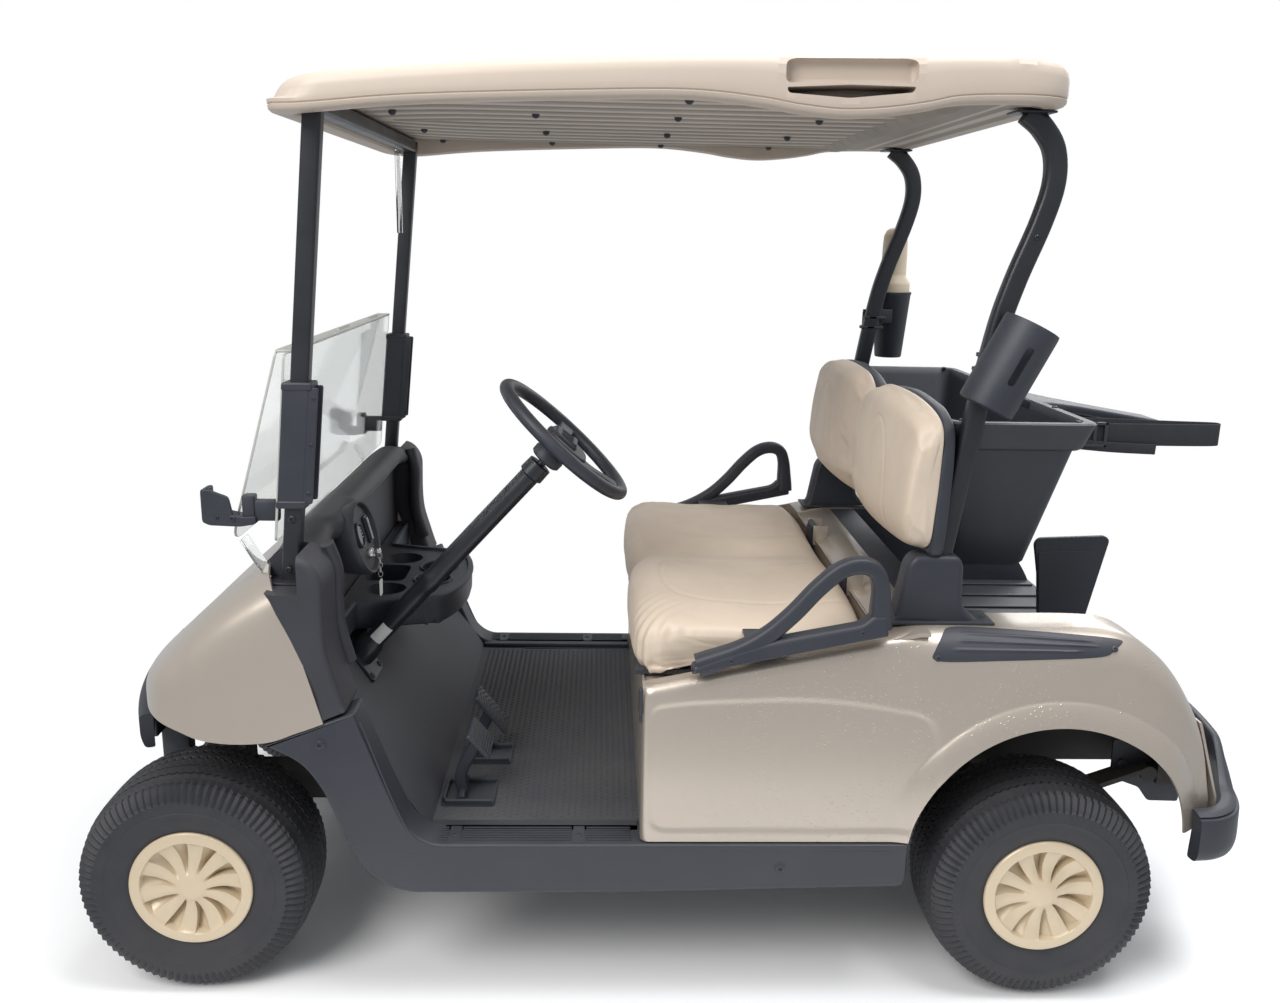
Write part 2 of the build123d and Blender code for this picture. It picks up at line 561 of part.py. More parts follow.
# ---- front bumper and lower fascia --------------------------------------------------
LIP_Z = 470.0
LIP_HEIGHT = 72.0
LIP_DEPTH = 26.0
LIP_HALF = 440.0
LIP_FRONT_X = 1186.0
LIP_END_X = 1090.0
FASCIA_Z = 405.0
FASCIA_HALF = 255.0
with BuildPart() as front_bumper:
    with BuildSketch(Plane.XY.offset(LIP_Z)):
        with BuildLine():
            outer = ThreePointArc((LIP_END_X, -LIP_HALF), (LIP_FRONT_X, 0), (LIP_END_X, LIP_HALF))
            inner = ThreePointArc(
                (LIP_END_X - LIP_DEPTH, LIP_HALF), (LIP_FRONT_X - LIP_DEPTH, 0), (LIP_END_X - LIP_DEPTH, -LIP_HALF)
            )
            Line(outer @ 1, inner @ 0)
            Line(inner @ 1, outer @ 0)
        make_face()
    extrude(amount=LIP_HEIGHT)
    with BuildSketch(Plane.XY.offset(FASCIA_Z)):
        with BuildLine():
            Polyline(
                (RAIL_FRONT_X + 62, -FASCIA_HALF), (RAIL_FRONT_X + 74, 0), (RAIL_FRONT_X + 62, FASCIA_HALF),
                (RAIL_FRONT_X + 50, FASCIA_HALF), (RAIL_FRONT_X + 50, -FASCIA_HALF), close=True,
            )
        make_face()
    extrude(amount=LIP_Z - FASCIA_Z + 20)
    for side in (1, -1):
        with Locations((RAIL_FRONT_X + 30, side * RAIL_Y, (RAIL_TOP + LIP_Z) / 2)):
            Box(60, 40, LIP_Z - RAIL_TOP + 20)
finish(front_bumper, "front_bumper")

# ---- dash ---------------------------------------------------------------------------
PILLAR_INNER_Y = 465.0
PILLAR_REAR_X = 683.0
STRUT_WIDTH = 32.0
STRUT_DEPTH = 33.0
STRUT_FOOT_Z = 770.0
STRUT_FRONT_LOW = (779.0, 832.0)
STRUT_FRONT_HIGH = (698.0, 1674.0)
strut_slope = (STRUT_FRONT_HIGH[0] - STRUT_FRONT_LOW[0]) / (STRUT_FRONT_HIGH[1] - STRUT_FRONT_LOW[1])


def strut_front_x(z):
    """The front face of the front strut at height z."""
    return STRUT_FRONT_LOW[0] + strut_slope * (z - STRUT_FRONT_LOW[1])


def slanted(low_z, high_z, front, rear):
    """An outline that leans with the front strut, from front to rear of its front face."""
    return [
        (strut_front_x(low_z) + front, low_z), (strut_front_x(high_z) + front, high_z),
        (strut_front_x(high_z) + rear, high_z), (strut_front_x(low_z) + rear, low_z),
    ]


pillar_outline = [
    SEAM_FOOT, (707, 658), (742, 748), SEAM_TOP, HOOD_REAR, (790, 900), (745, 916), (706, 900),
    (PILLAR_REAR_X, 862), (PILLAR_REAR_X, 725), (657, 632), (650, on_rocker_top(650) + PANEL_GAP),
]
bridge_outline = [
    HOOD_REAR, (790, 905), (752, 935), (715, 930), (700, 900), (712, 884), (748, 880),
    (772, 846), SEAM_TOP,
]
POD_Y = 290.0
POD_RADIUS = 76.0
with BuildPart() as dash:
    for side in (1, -1):
        with BuildSketch(side_plane(side * (PILLAR_INNER_Y + BODY_HALF_WIDTH) / 2)):
            with BuildLine():
                Polyline(*flip(pillar_outline), close=True)
            make_face()
        extrude(amount=(BODY_HALF_WIDTH - PILLAR_INNER_Y) / 2, both=True)
    with BuildSketch(side_plane(0)):
        with BuildLine():
            Polyline(*flip(bridge_outline), close=True)
        make_face()
        with BuildLine():
            Polyline(
                *flip([
                    (FIREWALL_X, TOE_TOP_Z), (FIREWALL_X + WALL, TOE_TOP_Z),
                    (FIREWALL_X + WALL, FIREWALL_TOP_Z), (FIREWALL_X, FIREWALL_TOP_Z),
                ]), close=True,
            )
        make_face()
    extrude(amount=PILLAR_INNER_Y, both=True)
    pod_plane = Plane(origin=(672, POD_Y, 888), z_dir=(-1, 0, 0.25))
    with BuildSketch(pod_plane):
        Circle(POD_RADIUS)
    extrude(amount=-62)
    for side in (1, -1):
        with BuildSketch(side_plane(side * STRUT_Y)):
            with BuildLine():
                Polyline(
                    *flip(slanted(STRUT_FOOT_Z, 1000, CLEARANCE, -STRUT_DEPTH - CLEARANCE)),
                    close=True,
                )
            make_face()
        extrude(amount=STRUT_WIDTH / 2 + CLEARANCE, both=True, mode=Mode.SUBTRACT)
finish(dash, "dash")

# ---- dash tray ----------------------------------------------------------------------
TRAY_Z = 642.0
TRAY_HEIGHT = 66.0
TRAY_REAR_X = 482.0
TRAY_SIDE_X = 560.0
TRAY_HALF = 195.0
SHELF_NOTCH = 30.0
SHELF_X = 702.0
CUP_RADIUS = 40.0
CUP_X = 568.0
CUP_SPREAD = 84.0
BIN_X = 668.0
TRAY_WALL = 4.0
with BuildPart() as dash_tray:
    with BuildSketch(Plane.XY.offset(TRAY_Z)):
        with BuildLine():
            bow = ThreePointArc((TRAY_SIDE_X, TRAY_HALF), (TRAY_REAR_X, 0), (TRAY_SIDE_X, -TRAY_HALF))
            Polyline(
                bow @ 1, (SHELF_X, -TRAY_HALF - SHELF_NOTCH), (SHELF_X, -PILLAR_INNER_Y),
                (FIREWALL_X, -PILLAR_INNER_Y), (FIREWALL_X, PILLAR_INNER_Y),
                (SHELF_X, PILLAR_INNER_Y), (SHELF_X, TRAY_HALF + SHELF_NOTCH), bow @ 0,
            )
        make_face()
    extrude(amount=TRAY_HEIGHT)
    for side in (1, -1):
        with Locations((CUP_X, side * (CUP_SPREAD / 2 + 6), TRAY_Z + TRAY_HEIGHT)):
            Hole(CUP_RADIUS, depth=TRAY_HEIGHT - TRAY_WALL)
    with Locations((BIN_X, 0, TRAY_Z + TRAY_WALL)):
        Box(
            80, 2 * TRAY_HALF - 40, TRAY_HEIGHT,
            align=(Align.CENTER, Align.CENTER, Align.MIN), mode=Mode.SUBTRACT,
        )
finish(dash_tray, "dash_tray")

# ---- pedals -------------------------------------------------------------------------
PEDAL_BASE = 14.0
PEDAL_RUN = -20.0
PEDAL_RISE = 150.0
# Steps of a pedal's outline, back from its front edge.
PEDAL_TOE = 30.0
PEDAL_TIP = 44.0
PEDAL_HEEL = 62.0
PEDAL_LENGTH = 100.0
# Pedal base x, y, pad width.
pedal_places = ((500.0, 372.0, 92.0), (480.0, 195.0, 70.0))
with BuildPart() as pedals:
    for base_x, base_y, pad_width in pedal_places:
        with BuildSketch(side_plane(base_y)):
            with BuildLine():
                Polyline(
                    *flip([
                        (base_x, FLOOR_Z), (base_x, FLOOR_Z + PEDAL_BASE),
                        (base_x - PEDAL_TOE, FLOOR_Z + PEDAL_BASE),
                        (base_x - PEDAL_TOE + PEDAL_RUN, FLOOR_Z + PEDAL_RISE),
                        (base_x - PEDAL_TIP + PEDAL_RUN, FLOOR_Z + PEDAL_RISE + 12),
                        (base_x - PEDAL_HEEL, FLOOR_Z + PEDAL_BASE),
                        (base_x - PEDAL_LENGTH, FLOOR_Z + PEDAL_BASE),
                        (base_x - PEDAL_LENGTH, FLOOR_Z),
                    ]), close=True,
                )
            make_face()
        extrude(amount=pad_width / 2, both=True)
finish(pedals, "pedals")

# ---- front hoop, strut sleeves and windshield ---------------------------------------
CEILING_Z = 1705.0
CROSSBAR = 32.0
with BuildPart() as front_hoop:
    for side in (1, -1):
        with BuildSketch(side_plane(side * STRUT_Y)):
            with BuildLine():
                Polyline(*flip(slanted(STRUT_FOOT_Z, CEILING_Z, 0, -STRUT_DEPTH)), close=True)
            make_face()
        extrude(amount=STRUT_WIDTH / 2, both=True)
    with BuildSketch(side_plane(0)):
        with BuildLine():
            Polyline(*flip(slanted(CEILING_Z - CROSSBAR, CEILING_Z, 0, -STRUT_DEPTH)), close=True)
        make_face()
    extrude(amount=STRUT_Y, both=True)
finish(front_hoop, "front_hoop")

SLEEVE_LOW_Z = 981.0
SLEEVE_HIGH_Z = 1213.0
SLEEVE_DEPTH = 66.0
SLEEVE_WALL = 6.0
SLEEVE_FRONT = 12.0
with BuildPart() as strut_sleeves:
    with BuildSketch(side_plane(STRUT_Y)):
        with BuildLine():
            Polyline(
                *flip(slanted(SLEEVE_LOW_Z, SLEEVE_HIGH_Z, SLEEVE_FRONT, SLEEVE_FRONT - SLEEVE_DEPTH)),
                close=True,
            )
        make_face()
    extrude(amount=STRUT_WIDTH / 2 + SLEEVE_WALL, both=True)
    with BuildSketch(side_plane(STRUT_Y)):
        with BuildLine():
            Polyline(
                *flip(slanted(SLEEVE_LOW_Z - 1, SLEEVE_HIGH_Z + 1, CLEARANCE, -STRUT_DEPTH - CLEARANCE)),
                close=True,
            )
        make_face()
    extrude(amount=STRUT_WIDTH / 2 + CLEARANCE, both=True, mode=Mode.SUBTRACT)
    mirror(about=Plane.XZ)
finish(strut_sleeves, "strut_sleeves")

PANE = 5.0
PANE_HALF = STRUT_Y - 22.0
PANE_LOW_Z = 912.0
HINGE_PANE_Z = 1262.0
HINGE_STRIP = 22.0
UPPER_PANE_FOOT_X = 872.0
UPPER_PANE_FOOT_Z = 903.0
with BuildPart() as windshield_lower:
    with BuildSketch(side_plane(0)):
        with BuildLine():
            Polyline(
                *flip(slanted(PANE_LOW_Z, HINGE_PANE_Z, SLEEVE_FRONT + PANE, SLEEVE_FRONT)),
                close=True,
            )
        make_face()
    extrude(amount=PANE_HALF + 30, both=True)
finish(windshield_lower, "windshield_lower")

hinge_rear_x = strut_front_x(HINGE_PANE_Z) + SLEEVE_FRONT
upper_pane_top_x = hinge_rear_x + HINGE_STRIP
with BuildPart() as windshield_upper:
    with BuildSketch(side_plane(0)):
        with BuildLine():
            Polyline(
                *flip([
                    (hinge_rear_x, HINGE_PANE_Z), (hinge_rear_x, HINGE_PANE_Z + PANE),
                    (upper_pane_top_x + PANE, HINGE_PANE_Z + PANE),
                    (UPPER_PANE_FOOT_X + PANE, UPPER_PANE_FOOT_Z), (UPPER_PANE_FOOT_X, UPPER_PANE_FOOT_Z),
                    (upper_pane_top_x, HINGE_PANE_Z),
                ]), close=True,
            )
        make_face()
    extrude(amount=PANE_HALF, both=True)
finish(windshield_upper, "windshield_upper")

CLIP_HALF = 18.0
CLIP_Z = 985.0
CLIP_HEIGHT = 60.0
pane_reach = UPPER_PANE_FOOT_X - upper_pane_top_x
clip_share = (HINGE_PANE_Z - CLIP_Z) / (HINGE_PANE_Z - UPPER_PANE_FOOT_Z)
clip_front_x = upper_pane_top_x + pane_reach * clip_share + PANE + 30
clip_rear_x = strut_front_x(CLIP_Z) + SLEEVE_FRONT + PANE + 8
with BuildPart() as windshield_clips:
    clip_depth = clip_front_x - clip_rear_x
    for side in (1, -1):
        clip_y = side * (PANE_HALF + CLIP_HALF + CLEARANCE)
        with Locations(((clip_front_x + clip_rear_x) / 2, clip_y, CLIP_Z)):
            Box(clip_depth, 2 * CLIP_HALF, CLIP_HEIGHT)
            Box(clip_depth - 24, 2 * CLIP_HALF - 16, CLIP_HEIGHT, mode=Mode.SUBTRACT)
finish(windshield_clips, "windshield_clips")

TAB_INSET = 80.0
with BuildPart() as clear_tab:
    tab_front_x = strut_front_x(CEILING_Z - CROSSBAR) + 4
    with Locations((tab_front_x - 2, -(STRUT_Y - TAB_INSET), CEILING_Z - CROSSBAR - 100)):
        Box(4, 60, 200)
finish(clear_tab, "clear_tab")

# ---- roof ---------------------------------------------------------------------------
ROOF_RIM_REAR = 22.0
ROOF_CORNER = 110.0
RECESS_CORNER = 35.0
roof_outline = [
    (745, 1664), (757, 1676), (719, 1729), (193, 1771), (-466, 1789), (-567, 1783), (-613, 1718),
    (-600, 1704), (-486, 1706), (-403, 1702), (-354, 1692), (-288, 1682), (-213, 1677), (-138, 1683),
    (-71, 1693), (49, 1702), (236, 1697), (506, 1684), (680, 1668),
]
# The pocket above each handhold and the gap behind the grip, as (x, z).
POCKET_FRONT_X = -112.0
POCKET_REAR_X = -331.0
POCKET_DEPTH = 22.0
POCKET_TOP_Z = 1766.0
grip_gap = [
    (POCKET_FRONT_X, 1712), (-219, 1705), (POCKET_REAR_X, 1717), (POCKET_REAR_X, 1726),
    (POCKET_FRONT_X, 1724),
]
GRIP_GAP_REACH = 80.0
# The drain notch in the top edge, as (x, z).
drain_notch = [(-478, 1800), (-490, 1783), (-504, 1772), (-520, 1772), (-538, 1782), (-548, 1800)]
NOTCH_LENGTH = 90.0
with BuildPart() as roof:
    with BuildSketch(side_plane(0)):
        with BuildLine():
            Polyline(*flip(roof_outline), close=True)
        make_face()
    extrude(amount=ROOF_HALF, both=True)
    roof_middle_x = (roof_outline[1][0] + roof_outline[6][0]) / 2
    roof_length = roof_outline[1][0] - roof_outline[6][0]
    with BuildSketch(Plane.XY.offset(1600)):
        with Locations((roof_middle_x, 0)):
            RectangleRounded(roof_length, 2 * ROOF_HALF, ROOF_CORNER)
    extrude(amount=300, mode=Mode.INTERSECT)
    with BuildSketch(Plane.XY.offset(CEILING_Z)):
        with Locations((roof_middle_x + (ROOF_RIM_REAR - ROOF_RIM) / 2, 0)):
            RectangleRounded(
                roof_length - ROOF_RIM - ROOF_RIM_REAR, 2 * (ROOF_HALF - ROOF_RIM), RECESS_CORNER,
            )
    extrude(amount=-100, mode=Mode.SUBTRACT)
    for side in (1, -1):
        pocket_x = (POCKET_FRONT_X + POCKET_REAR_X) / 2
        pocket_low_z = grip_gap[-1][1]
        pocket_z = (pocket_low_z + POCKET_TOP_Z) / 2
        with Locations((pocket_x, side * (ROOF_HALF - POCKET_DEPTH / 2), pocket_z)):
            Box(
                POCKET_FRONT_X - POCKET_REAR_X, POCKET_DEPTH, POCKET_TOP_Z - pocket_low_z,
                mode=Mode.SUBTRACT,
            )
        with BuildSketch(side_plane(side * (ROOF_HALF - GRIP_GAP_REACH / 2))):
            with BuildLine():
                Polyline(*flip(grip_gap), close=True)
            make_face()
        extrude(amount=GRIP_GAP_REACH / 2, both=True, mode=Mode.SUBTRACT)
        with BuildSketch(side_plane(side * (ROOF_HALF - NOTCH_LENGTH / 2))):
            with BuildLine():
                Polyline(*flip(drain_notch), close=True)
            make_face()
        extrude(amount=NOTCH_LENGTH / 2, both=True, mode=Mode.SUBTRACT)
finish(roof, "roof")

# ---- rear struts --------------------------------------------------------------------
REAR_STRUT_WIDTH = 32.0
REAR_STRUT_DEPTH = 40.0
REAR_STRUT_BEND = 60.0
REAR_STRUT_FOOT = (-452.0, 740.0)
rear_strut_line = [REAR_STRUT_FOOT, (-545, 1345), (-630, 1600), (-538, CEILING_Z + 15)]
DECK_Z = 764.0
with BuildPart() as rear_struts:
    with BuildLine() as strut_path:
        FilletPolyline(*[(x, REAR_STRUT_Y, z) for x, z in rear_strut_line], radius=REAR_STRUT_BEND)
    foot_direction = Vector(
        rear_strut_line[1][0] - REAR_STRUT_FOOT[0], 0, rear_strut_line[1][1] - REAR_STRUT_FOOT[1],
    )
    with BuildSketch(Plane(
        origin=(REAR_STRUT_FOOT[0], REAR_STRUT_Y, REAR_STRUT_FOOT[1]), x_dir=(0, 1, 0), z_dir=foot_direction
    )):
        Rectangle(REAR_STRUT_WIDTH, REAR_STRUT_DEPTH)
    sweep(path=strut_path.line)
    split(bisect_by=Plane.XY.offset(CEILING_Z), keep=Keep.BOTTOM)
    split(bisect_by=Plane.XY.offset(DECK_Z), keep=Keep.TOP)
    mirror(about=Plane.XZ)
finish(rear_struts, "rear_struts")

# ---- rear body ----------------------------------------------------------------------
SEAT_BOX_FRONT_X = 101.0
SEAT_BOX_Z = 650.0
SEAT_REAR_X = -360.0
SEAT_WELL_HALF = 535.0
BODY_BOTTOM_Z = SILL_Z + PANEL_GAP
ARCH_RADIUS = 262.0
ARCH_Z = 318.0
WELL_HALF = 430.0
WELL_FRONT_X = -430.0
WELL_FLOOR_Z = 560.0
WELL_WALL = 5.0
WELL_LEDGE_X = -500.0
WELL_LEDGE_Z = 726.0
WELL_SLOPE_X = -640.0
BODY_CORNER = 220.0
BODY_CORNER_BOW = 64.0
BODY_REAR_X = -1066.0
BODY_REAR_Z = 400.0
WELL_REAR_X = -1050.0
LID_HOLE_HALF = 440.0
body_top = [
    (SEAT_BOX_FRONT_X + 6, SEAT_BOX_Z + 8), (SEAT_REAR_X + 10, DECK_Z - 18), (-420, DECK_Z), (-784, DECK_Z),
    (-876, 724), (-950, 655), (-1012, 565), (BODY_REAR_X, BODY_REAR_Z),
]


def body_form(wall, lowest_z):
    """The rear body's outer shape, or the space inside its skin."""
    half = BODY_HALF_WIDTH - wall
    top = [(x, z - wall) for x, z in body_top[1:-1]]
    front_top = (body_top[0][0] - wall, body_top[0][1] - wall)
    rear_low = (BODY_REAR_X + wall, BODY_REAR_Z)
    with BuildPart() as form:
        with BuildSketch(side_plane(0)):
            with BuildLine():
                Polyline(
                    *flip([
                        (SEAT_BOX_FRONT_X - wall, lowest_z), front_top, *top, rear_low,
                        (BODY_REAR_X + wall + 60, lowest_z),
                    ]), close=True,
                )
            make_face()
        extrude(amount=half, both=True)
        with BuildSketch(Plane.XY):
            with BuildLine():
                edge_x = BODY_REAR_X + wall
                left = ThreePointArc(
                    (edge_x + BODY_CORNER, half),
                    (edge_x + BODY_CORNER_BOW, half - BODY_CORNER_BOW),
                    (edge_x, half - BODY_CORNER),
                )
                right = ThreePointArc(
                    (edge_x, BODY_CORNER - half),
                    (edge_x + BODY_CORNER_BOW, BODY_CORNER_BOW - half),
                    (edge_x + BODY_CORNER, -half),
                )
                Line(left @ 1, right @ 0)
                Polyline(right @ 1, (150, -half), (150, half), left @ 0)
            make_face()
        extrude(amount=1000, mode=Mode.INTERSECT)
    return form.part


body_outer = body_form(0, BODY_BOTTOM_Z)
body_inner = body_form(BODY_WALL, BODY_BOTTOM_Z - 50)
SEAT_WELL_REACH = 300.0
with BuildPart() as seat_space:
    with Locations(((SEAT_BOX_FRONT_X + SEAT_REAR_X) / 2 + 10, 0, SEAT_BOX_Z)):
        Box(
            SEAT_BOX_FRONT_X - SEAT_REAR_X + 20, 2 * SEAT_WELL_HALF, SEAT_WELL_REACH,
            align=(Align.CENTER, Align.CENTER, Align.MIN),
        )
with BuildPart() as inner_space:
    add(body_inner)
    with Locations(((SEAT_BOX_FRONT_X + SEAT_REAR_X) / 2 + 10, 0, SEAT_BOX_Z - BODY_WALL)):
        Box(
            SEAT_BOX_FRONT_X - SEAT_REAR_X + 20 + 2 * BODY_WALL,
            2 * (SEAT_WELL_HALF + BODY_WALL), SEAT_WELL_REACH,
            align=(Align.CENTER, Align.CENTER, Align.MIN), mode=Mode.SUBTRACT,
        )
SEAT_HINGE_X = -352.0
SEAT_HINGE_Z = 776.0
HINGE_PIN_RADIUS = 4.0
HINGE_Y = 200.0
HINGE_LENGTH = 60.0
with BuildPart() as rear_body:
    add(body_outer)
    add(seat_space.part, mode=Mode.SUBTRACT)
    add(inner_space.part, mode=Mode.SUBTRACT)
    # Wheel arches.
    with Locations(Location((REAR_AXLE_X - 2, 0, ARCH_Z), (90, 0, 0))):
        Cylinder(ARCH_RADIUS, 4 * BODY_HALF_WIDTH, mode=Mode.SUBTRACT)
    # Battery hatch under the seat.
    with Locations(((SEAT_BOX_FRONT_X + SEAT_REAR_X) / 2, 0, SEAT_BOX_Z)):
        Box(SEAT_BOX_FRONT_X - SEAT_REAR_X - 120, 2 * LID_HOLE_HALF, 40, mode=Mode.SUBTRACT)
    # Bag well.
    with Locations((WELL_FRONT_X, 0, WELL_FLOOR_Z)):
        Box(1000, 2 * WELL_HALF, 400, align=(Align.MAX, Align.CENTER, Align.MIN), mode=Mode.SUBTRACT)
    # Room for the frame's tails.
    with Locations((BODY_REAR_X, 0, BODY_BOTTOM_Z - 10)):
        Box(
            120, 2 * SPRING_Y + SPRING_WIDTH + 20, RAIL_TOP + KICK_RISE + 18 - BODY_BOTTOM_Z,
            align=(Align.CENTER, Align.CENTER, Align.MIN), mode=Mode.SUBTRACT,
        )
    # Hinge brackets with their pins.
    for side in (1, -1):
        for end in (1, -1):
            ear_y = side * HINGE_Y + end * (HINGE_LENGTH / 2 + 9)
            with Locations((SEAT_HINGE_X - 12, ear_y, SEAT_HINGE_Z + 8)):
                Box(36, 8, 50, align=(Align.CENTER, Align.CENTER, Align.MAX))
        with Locations(Location((SEAT_HINGE_X, side * HINGE_Y, SEAT_HINGE_Z), (90, 0, 0))):
            Cylinder(HINGE_PIN_RADIUS, HINGE_LENGTH + 20)
finish(rear_body, "rear_body")

with BuildPart() as bag_well:
    with BuildSketch(side_plane(0)):
        with BuildLine():
            Polyline(
                *flip([
                    (WELL_FRONT_X, DECK_Z), (WELL_FRONT_X, DECK_Z - WELL_WALL),
                    (WELL_LEDGE_X, DECK_Z - WELL_WALL), (WELL_LEDGE_X, WELL_LEDGE_Z),
                    (WELL_SLOPE_X, WELL_FLOOR_Z), (WELL_REAR_X, WELL_FLOOR_Z),
                    (WELL_REAR_X, WELL_FLOOR_Z + WELL_WALL), (WELL_SLOPE_X - 3, WELL_FLOOR_Z + WELL_WALL),
                    (WELL_LEDGE_X - WELL_WALL, WELL_LEDGE_Z + 2), (WELL_LEDGE_X - WELL_WALL, DECK_Z),
                ]), close=True,
            )
        make_face()
    extrude(amount=WELL_HALF, both=True)
    well_side = [
        (WELL_LEDGE_X, WELL_FLOOR_Z), (WELL_LEDGE_X, DECK_Z), *body_top[3:-1],
        (WELL_REAR_X, WELL_FLOOR_Z),
    ]
    for side in (1, -1):
        with BuildSketch(side_plane(side * (WELL_HALF - WELL_WALL / 2))):
            with BuildLine():
                Polyline(*flip(well_side), close=True)
            make_face()
        extrude(amount=WELL_WALL / 2, both=True)
finish(bag_well, "bag_well")

DIVIDER = 6.0
with BuildPart() as bag_divider:
    with BuildSketch(side_plane(0)):
        with BuildLine():
            Polyline(
                *flip([
                    (-880, WELL_FLOOR_Z + WELL_WALL), (-838, 797), (-850, 806), (-1010, 811),
                    (-1021, 800), (-975, WELL_FLOOR_Z + WELL_WALL),
                ]), close=True,
            )
        make_face()
    extrude(amount=DIVIDER, both=True)
    with Locations((-930, 0, WELL_FLOOR_Z + WELL_WALL + 4)):
        Box(170, 90, 8)
finish(bag_divider, "bag_divider")

# ---- scuff pads ---------------------------------------------------------------------
SCUFF = 5.0
with BuildPart() as scuff_pads:
    with BuildSketch(Plane.XY.offset(DECK_Z)):
        with BuildLine():
            Polyline((-470, 535), (-450, 552), (-480, 566), (-780, 560), (-784, 460), (-760, 452), close=True)
        make_face()
    extrude(amount=SCUFF)
    mirror(about=Plane.XZ)
finish(scuff_pads, "scuff_pads")

# ---- rear bumper --------------------------------------------------------------------
BUMPER_Z = 288.0
BUMPER_HEIGHT = 185.0
BUMPER_DEPTH = 34.0
BUMPER_HALF = 540.0
BUMPER_END_X = -1085.0
with BuildPart() as rear_bumper:
    with BuildSketch(Plane.XY.offset(BUMPER_Z)):
        with BuildLine():
            outer = ThreePointArc((BUMPER_END_X, -BUMPER_HALF), (REAR_END_X, 0), (BUMPER_END_X, BUMPER_HALF))
            inner = ThreePointArc(
                (BUMPER_END_X + BUMPER_DEPTH, BUMPER_HALF), (REAR_END_X + BUMPER_DEPTH, 0),
                (BUMPER_END_X + BUMPER_DEPTH, -BUMPER_HALF),
            )
            Line(outer @ 1, inner @ 0)
            Line(inner @ 1, outer @ 0)
        make_face()
    extrude(amount=BUMPER_HEIGHT)
    for side in (1, -1):
        with Locations((RAIL_REAR_X - 48, side * RAIL_Y, RAIL_BOTTOM + KICK_RISE + 37)):
            Box(96, RAIL_WIDTH, 60)
finish(rear_bumper, "rear_bumper")

# ---- seat ---------------------------------------------------------------------------
CUSHION_FRONT_X = 128.0
CUSHION_REAR_X = -340.0
CUSHION_HALF = 496.0
SEAT_GAP = 6.0
PAN = 10.0
PAN_Z = SEAT_BOX_Z + SEAT_GAP
CUSHION_TOP_Z = 788.0
CUSHION_LOW_Z = 640.0
pan_top_z = PAN_Z + PAN
with BuildPart() as seat_cushion:
    with BuildSketch(side_plane(0)):
        with BuildLine():
            Polyline(
                *flip([
                    (CUSHION_REAR_X, pan_top_z + CLEARANCE), (CUSHION_REAR_X, CUSHION_TOP_Z - 14),
                    (CUSHION_FRONT_X - 30, CUSHION_TOP_Z), (CUSHION_FRONT_X, CUSHION_TOP_Z - 40),
                    (CUSHION_FRONT_X, CUSHION_LOW_Z + 10), (CUSHION_FRONT_X - 13, CUSHION_LOW_Z),
                    (CUSHION_FRONT_X - 13, pan_top_z + CLEARANCE),
                ]), close=True,
            )
        make_face()
    extrude(amount=CUSHION_HALF, both=True)
    fillet(seat_cushion.edges().filter_by(Axis.Y).group_by(Axis.Z)[-1], 16)
finish(seat_cushion, "seat_cushion")

PAN_FRONT_X = CUSHION_FRONT_X - 14.0
KNUCKLE_OUTER = 8.0
with BuildPart() as seat_pan:
    with Locations(((PAN_FRONT_X + CUSHION_REAR_X) / 2, 0, PAN_Z + PAN / 2)):
        Box(PAN_FRONT_X - CUSHION_REAR_X, 2 * CUSHION_HALF, PAN)
    for side in (1, -1):
        with Locations(((SEAT_HINGE_X + CUSHION_REAR_X) / 2 + 2, side * HINGE_Y, PAN_Z)):
            Box(5, HINGE_LENGTH, SEAT_HINGE_Z - 5 - PAN_Z, align=(Align.CENTER, Align.CENTER, Align.MIN))
        with Locations(((SEAT_HINGE_X + CUSHION_REAR_X) / 2 + 6, side * HINGE_Y, PAN_Z)):
            Box(12, HINGE_LENGTH, PAN, align=(Align.CENTER, Align.CENTER, Align.MIN))
        with Locations(Location((SEAT_HINGE_X, side * HINGE_Y, SEAT_HINGE_Z), (90, 0, 0))):
            Cylinder(KNUCKLE_OUTER, HINGE_LENGTH)
            Cylinder(HINGE_PIN_RADIUS + PIN_CLEARANCE, HINGE_LENGTH, mode=Mode.SUBTRACT)
finish(seat_pan, "seat_pan")

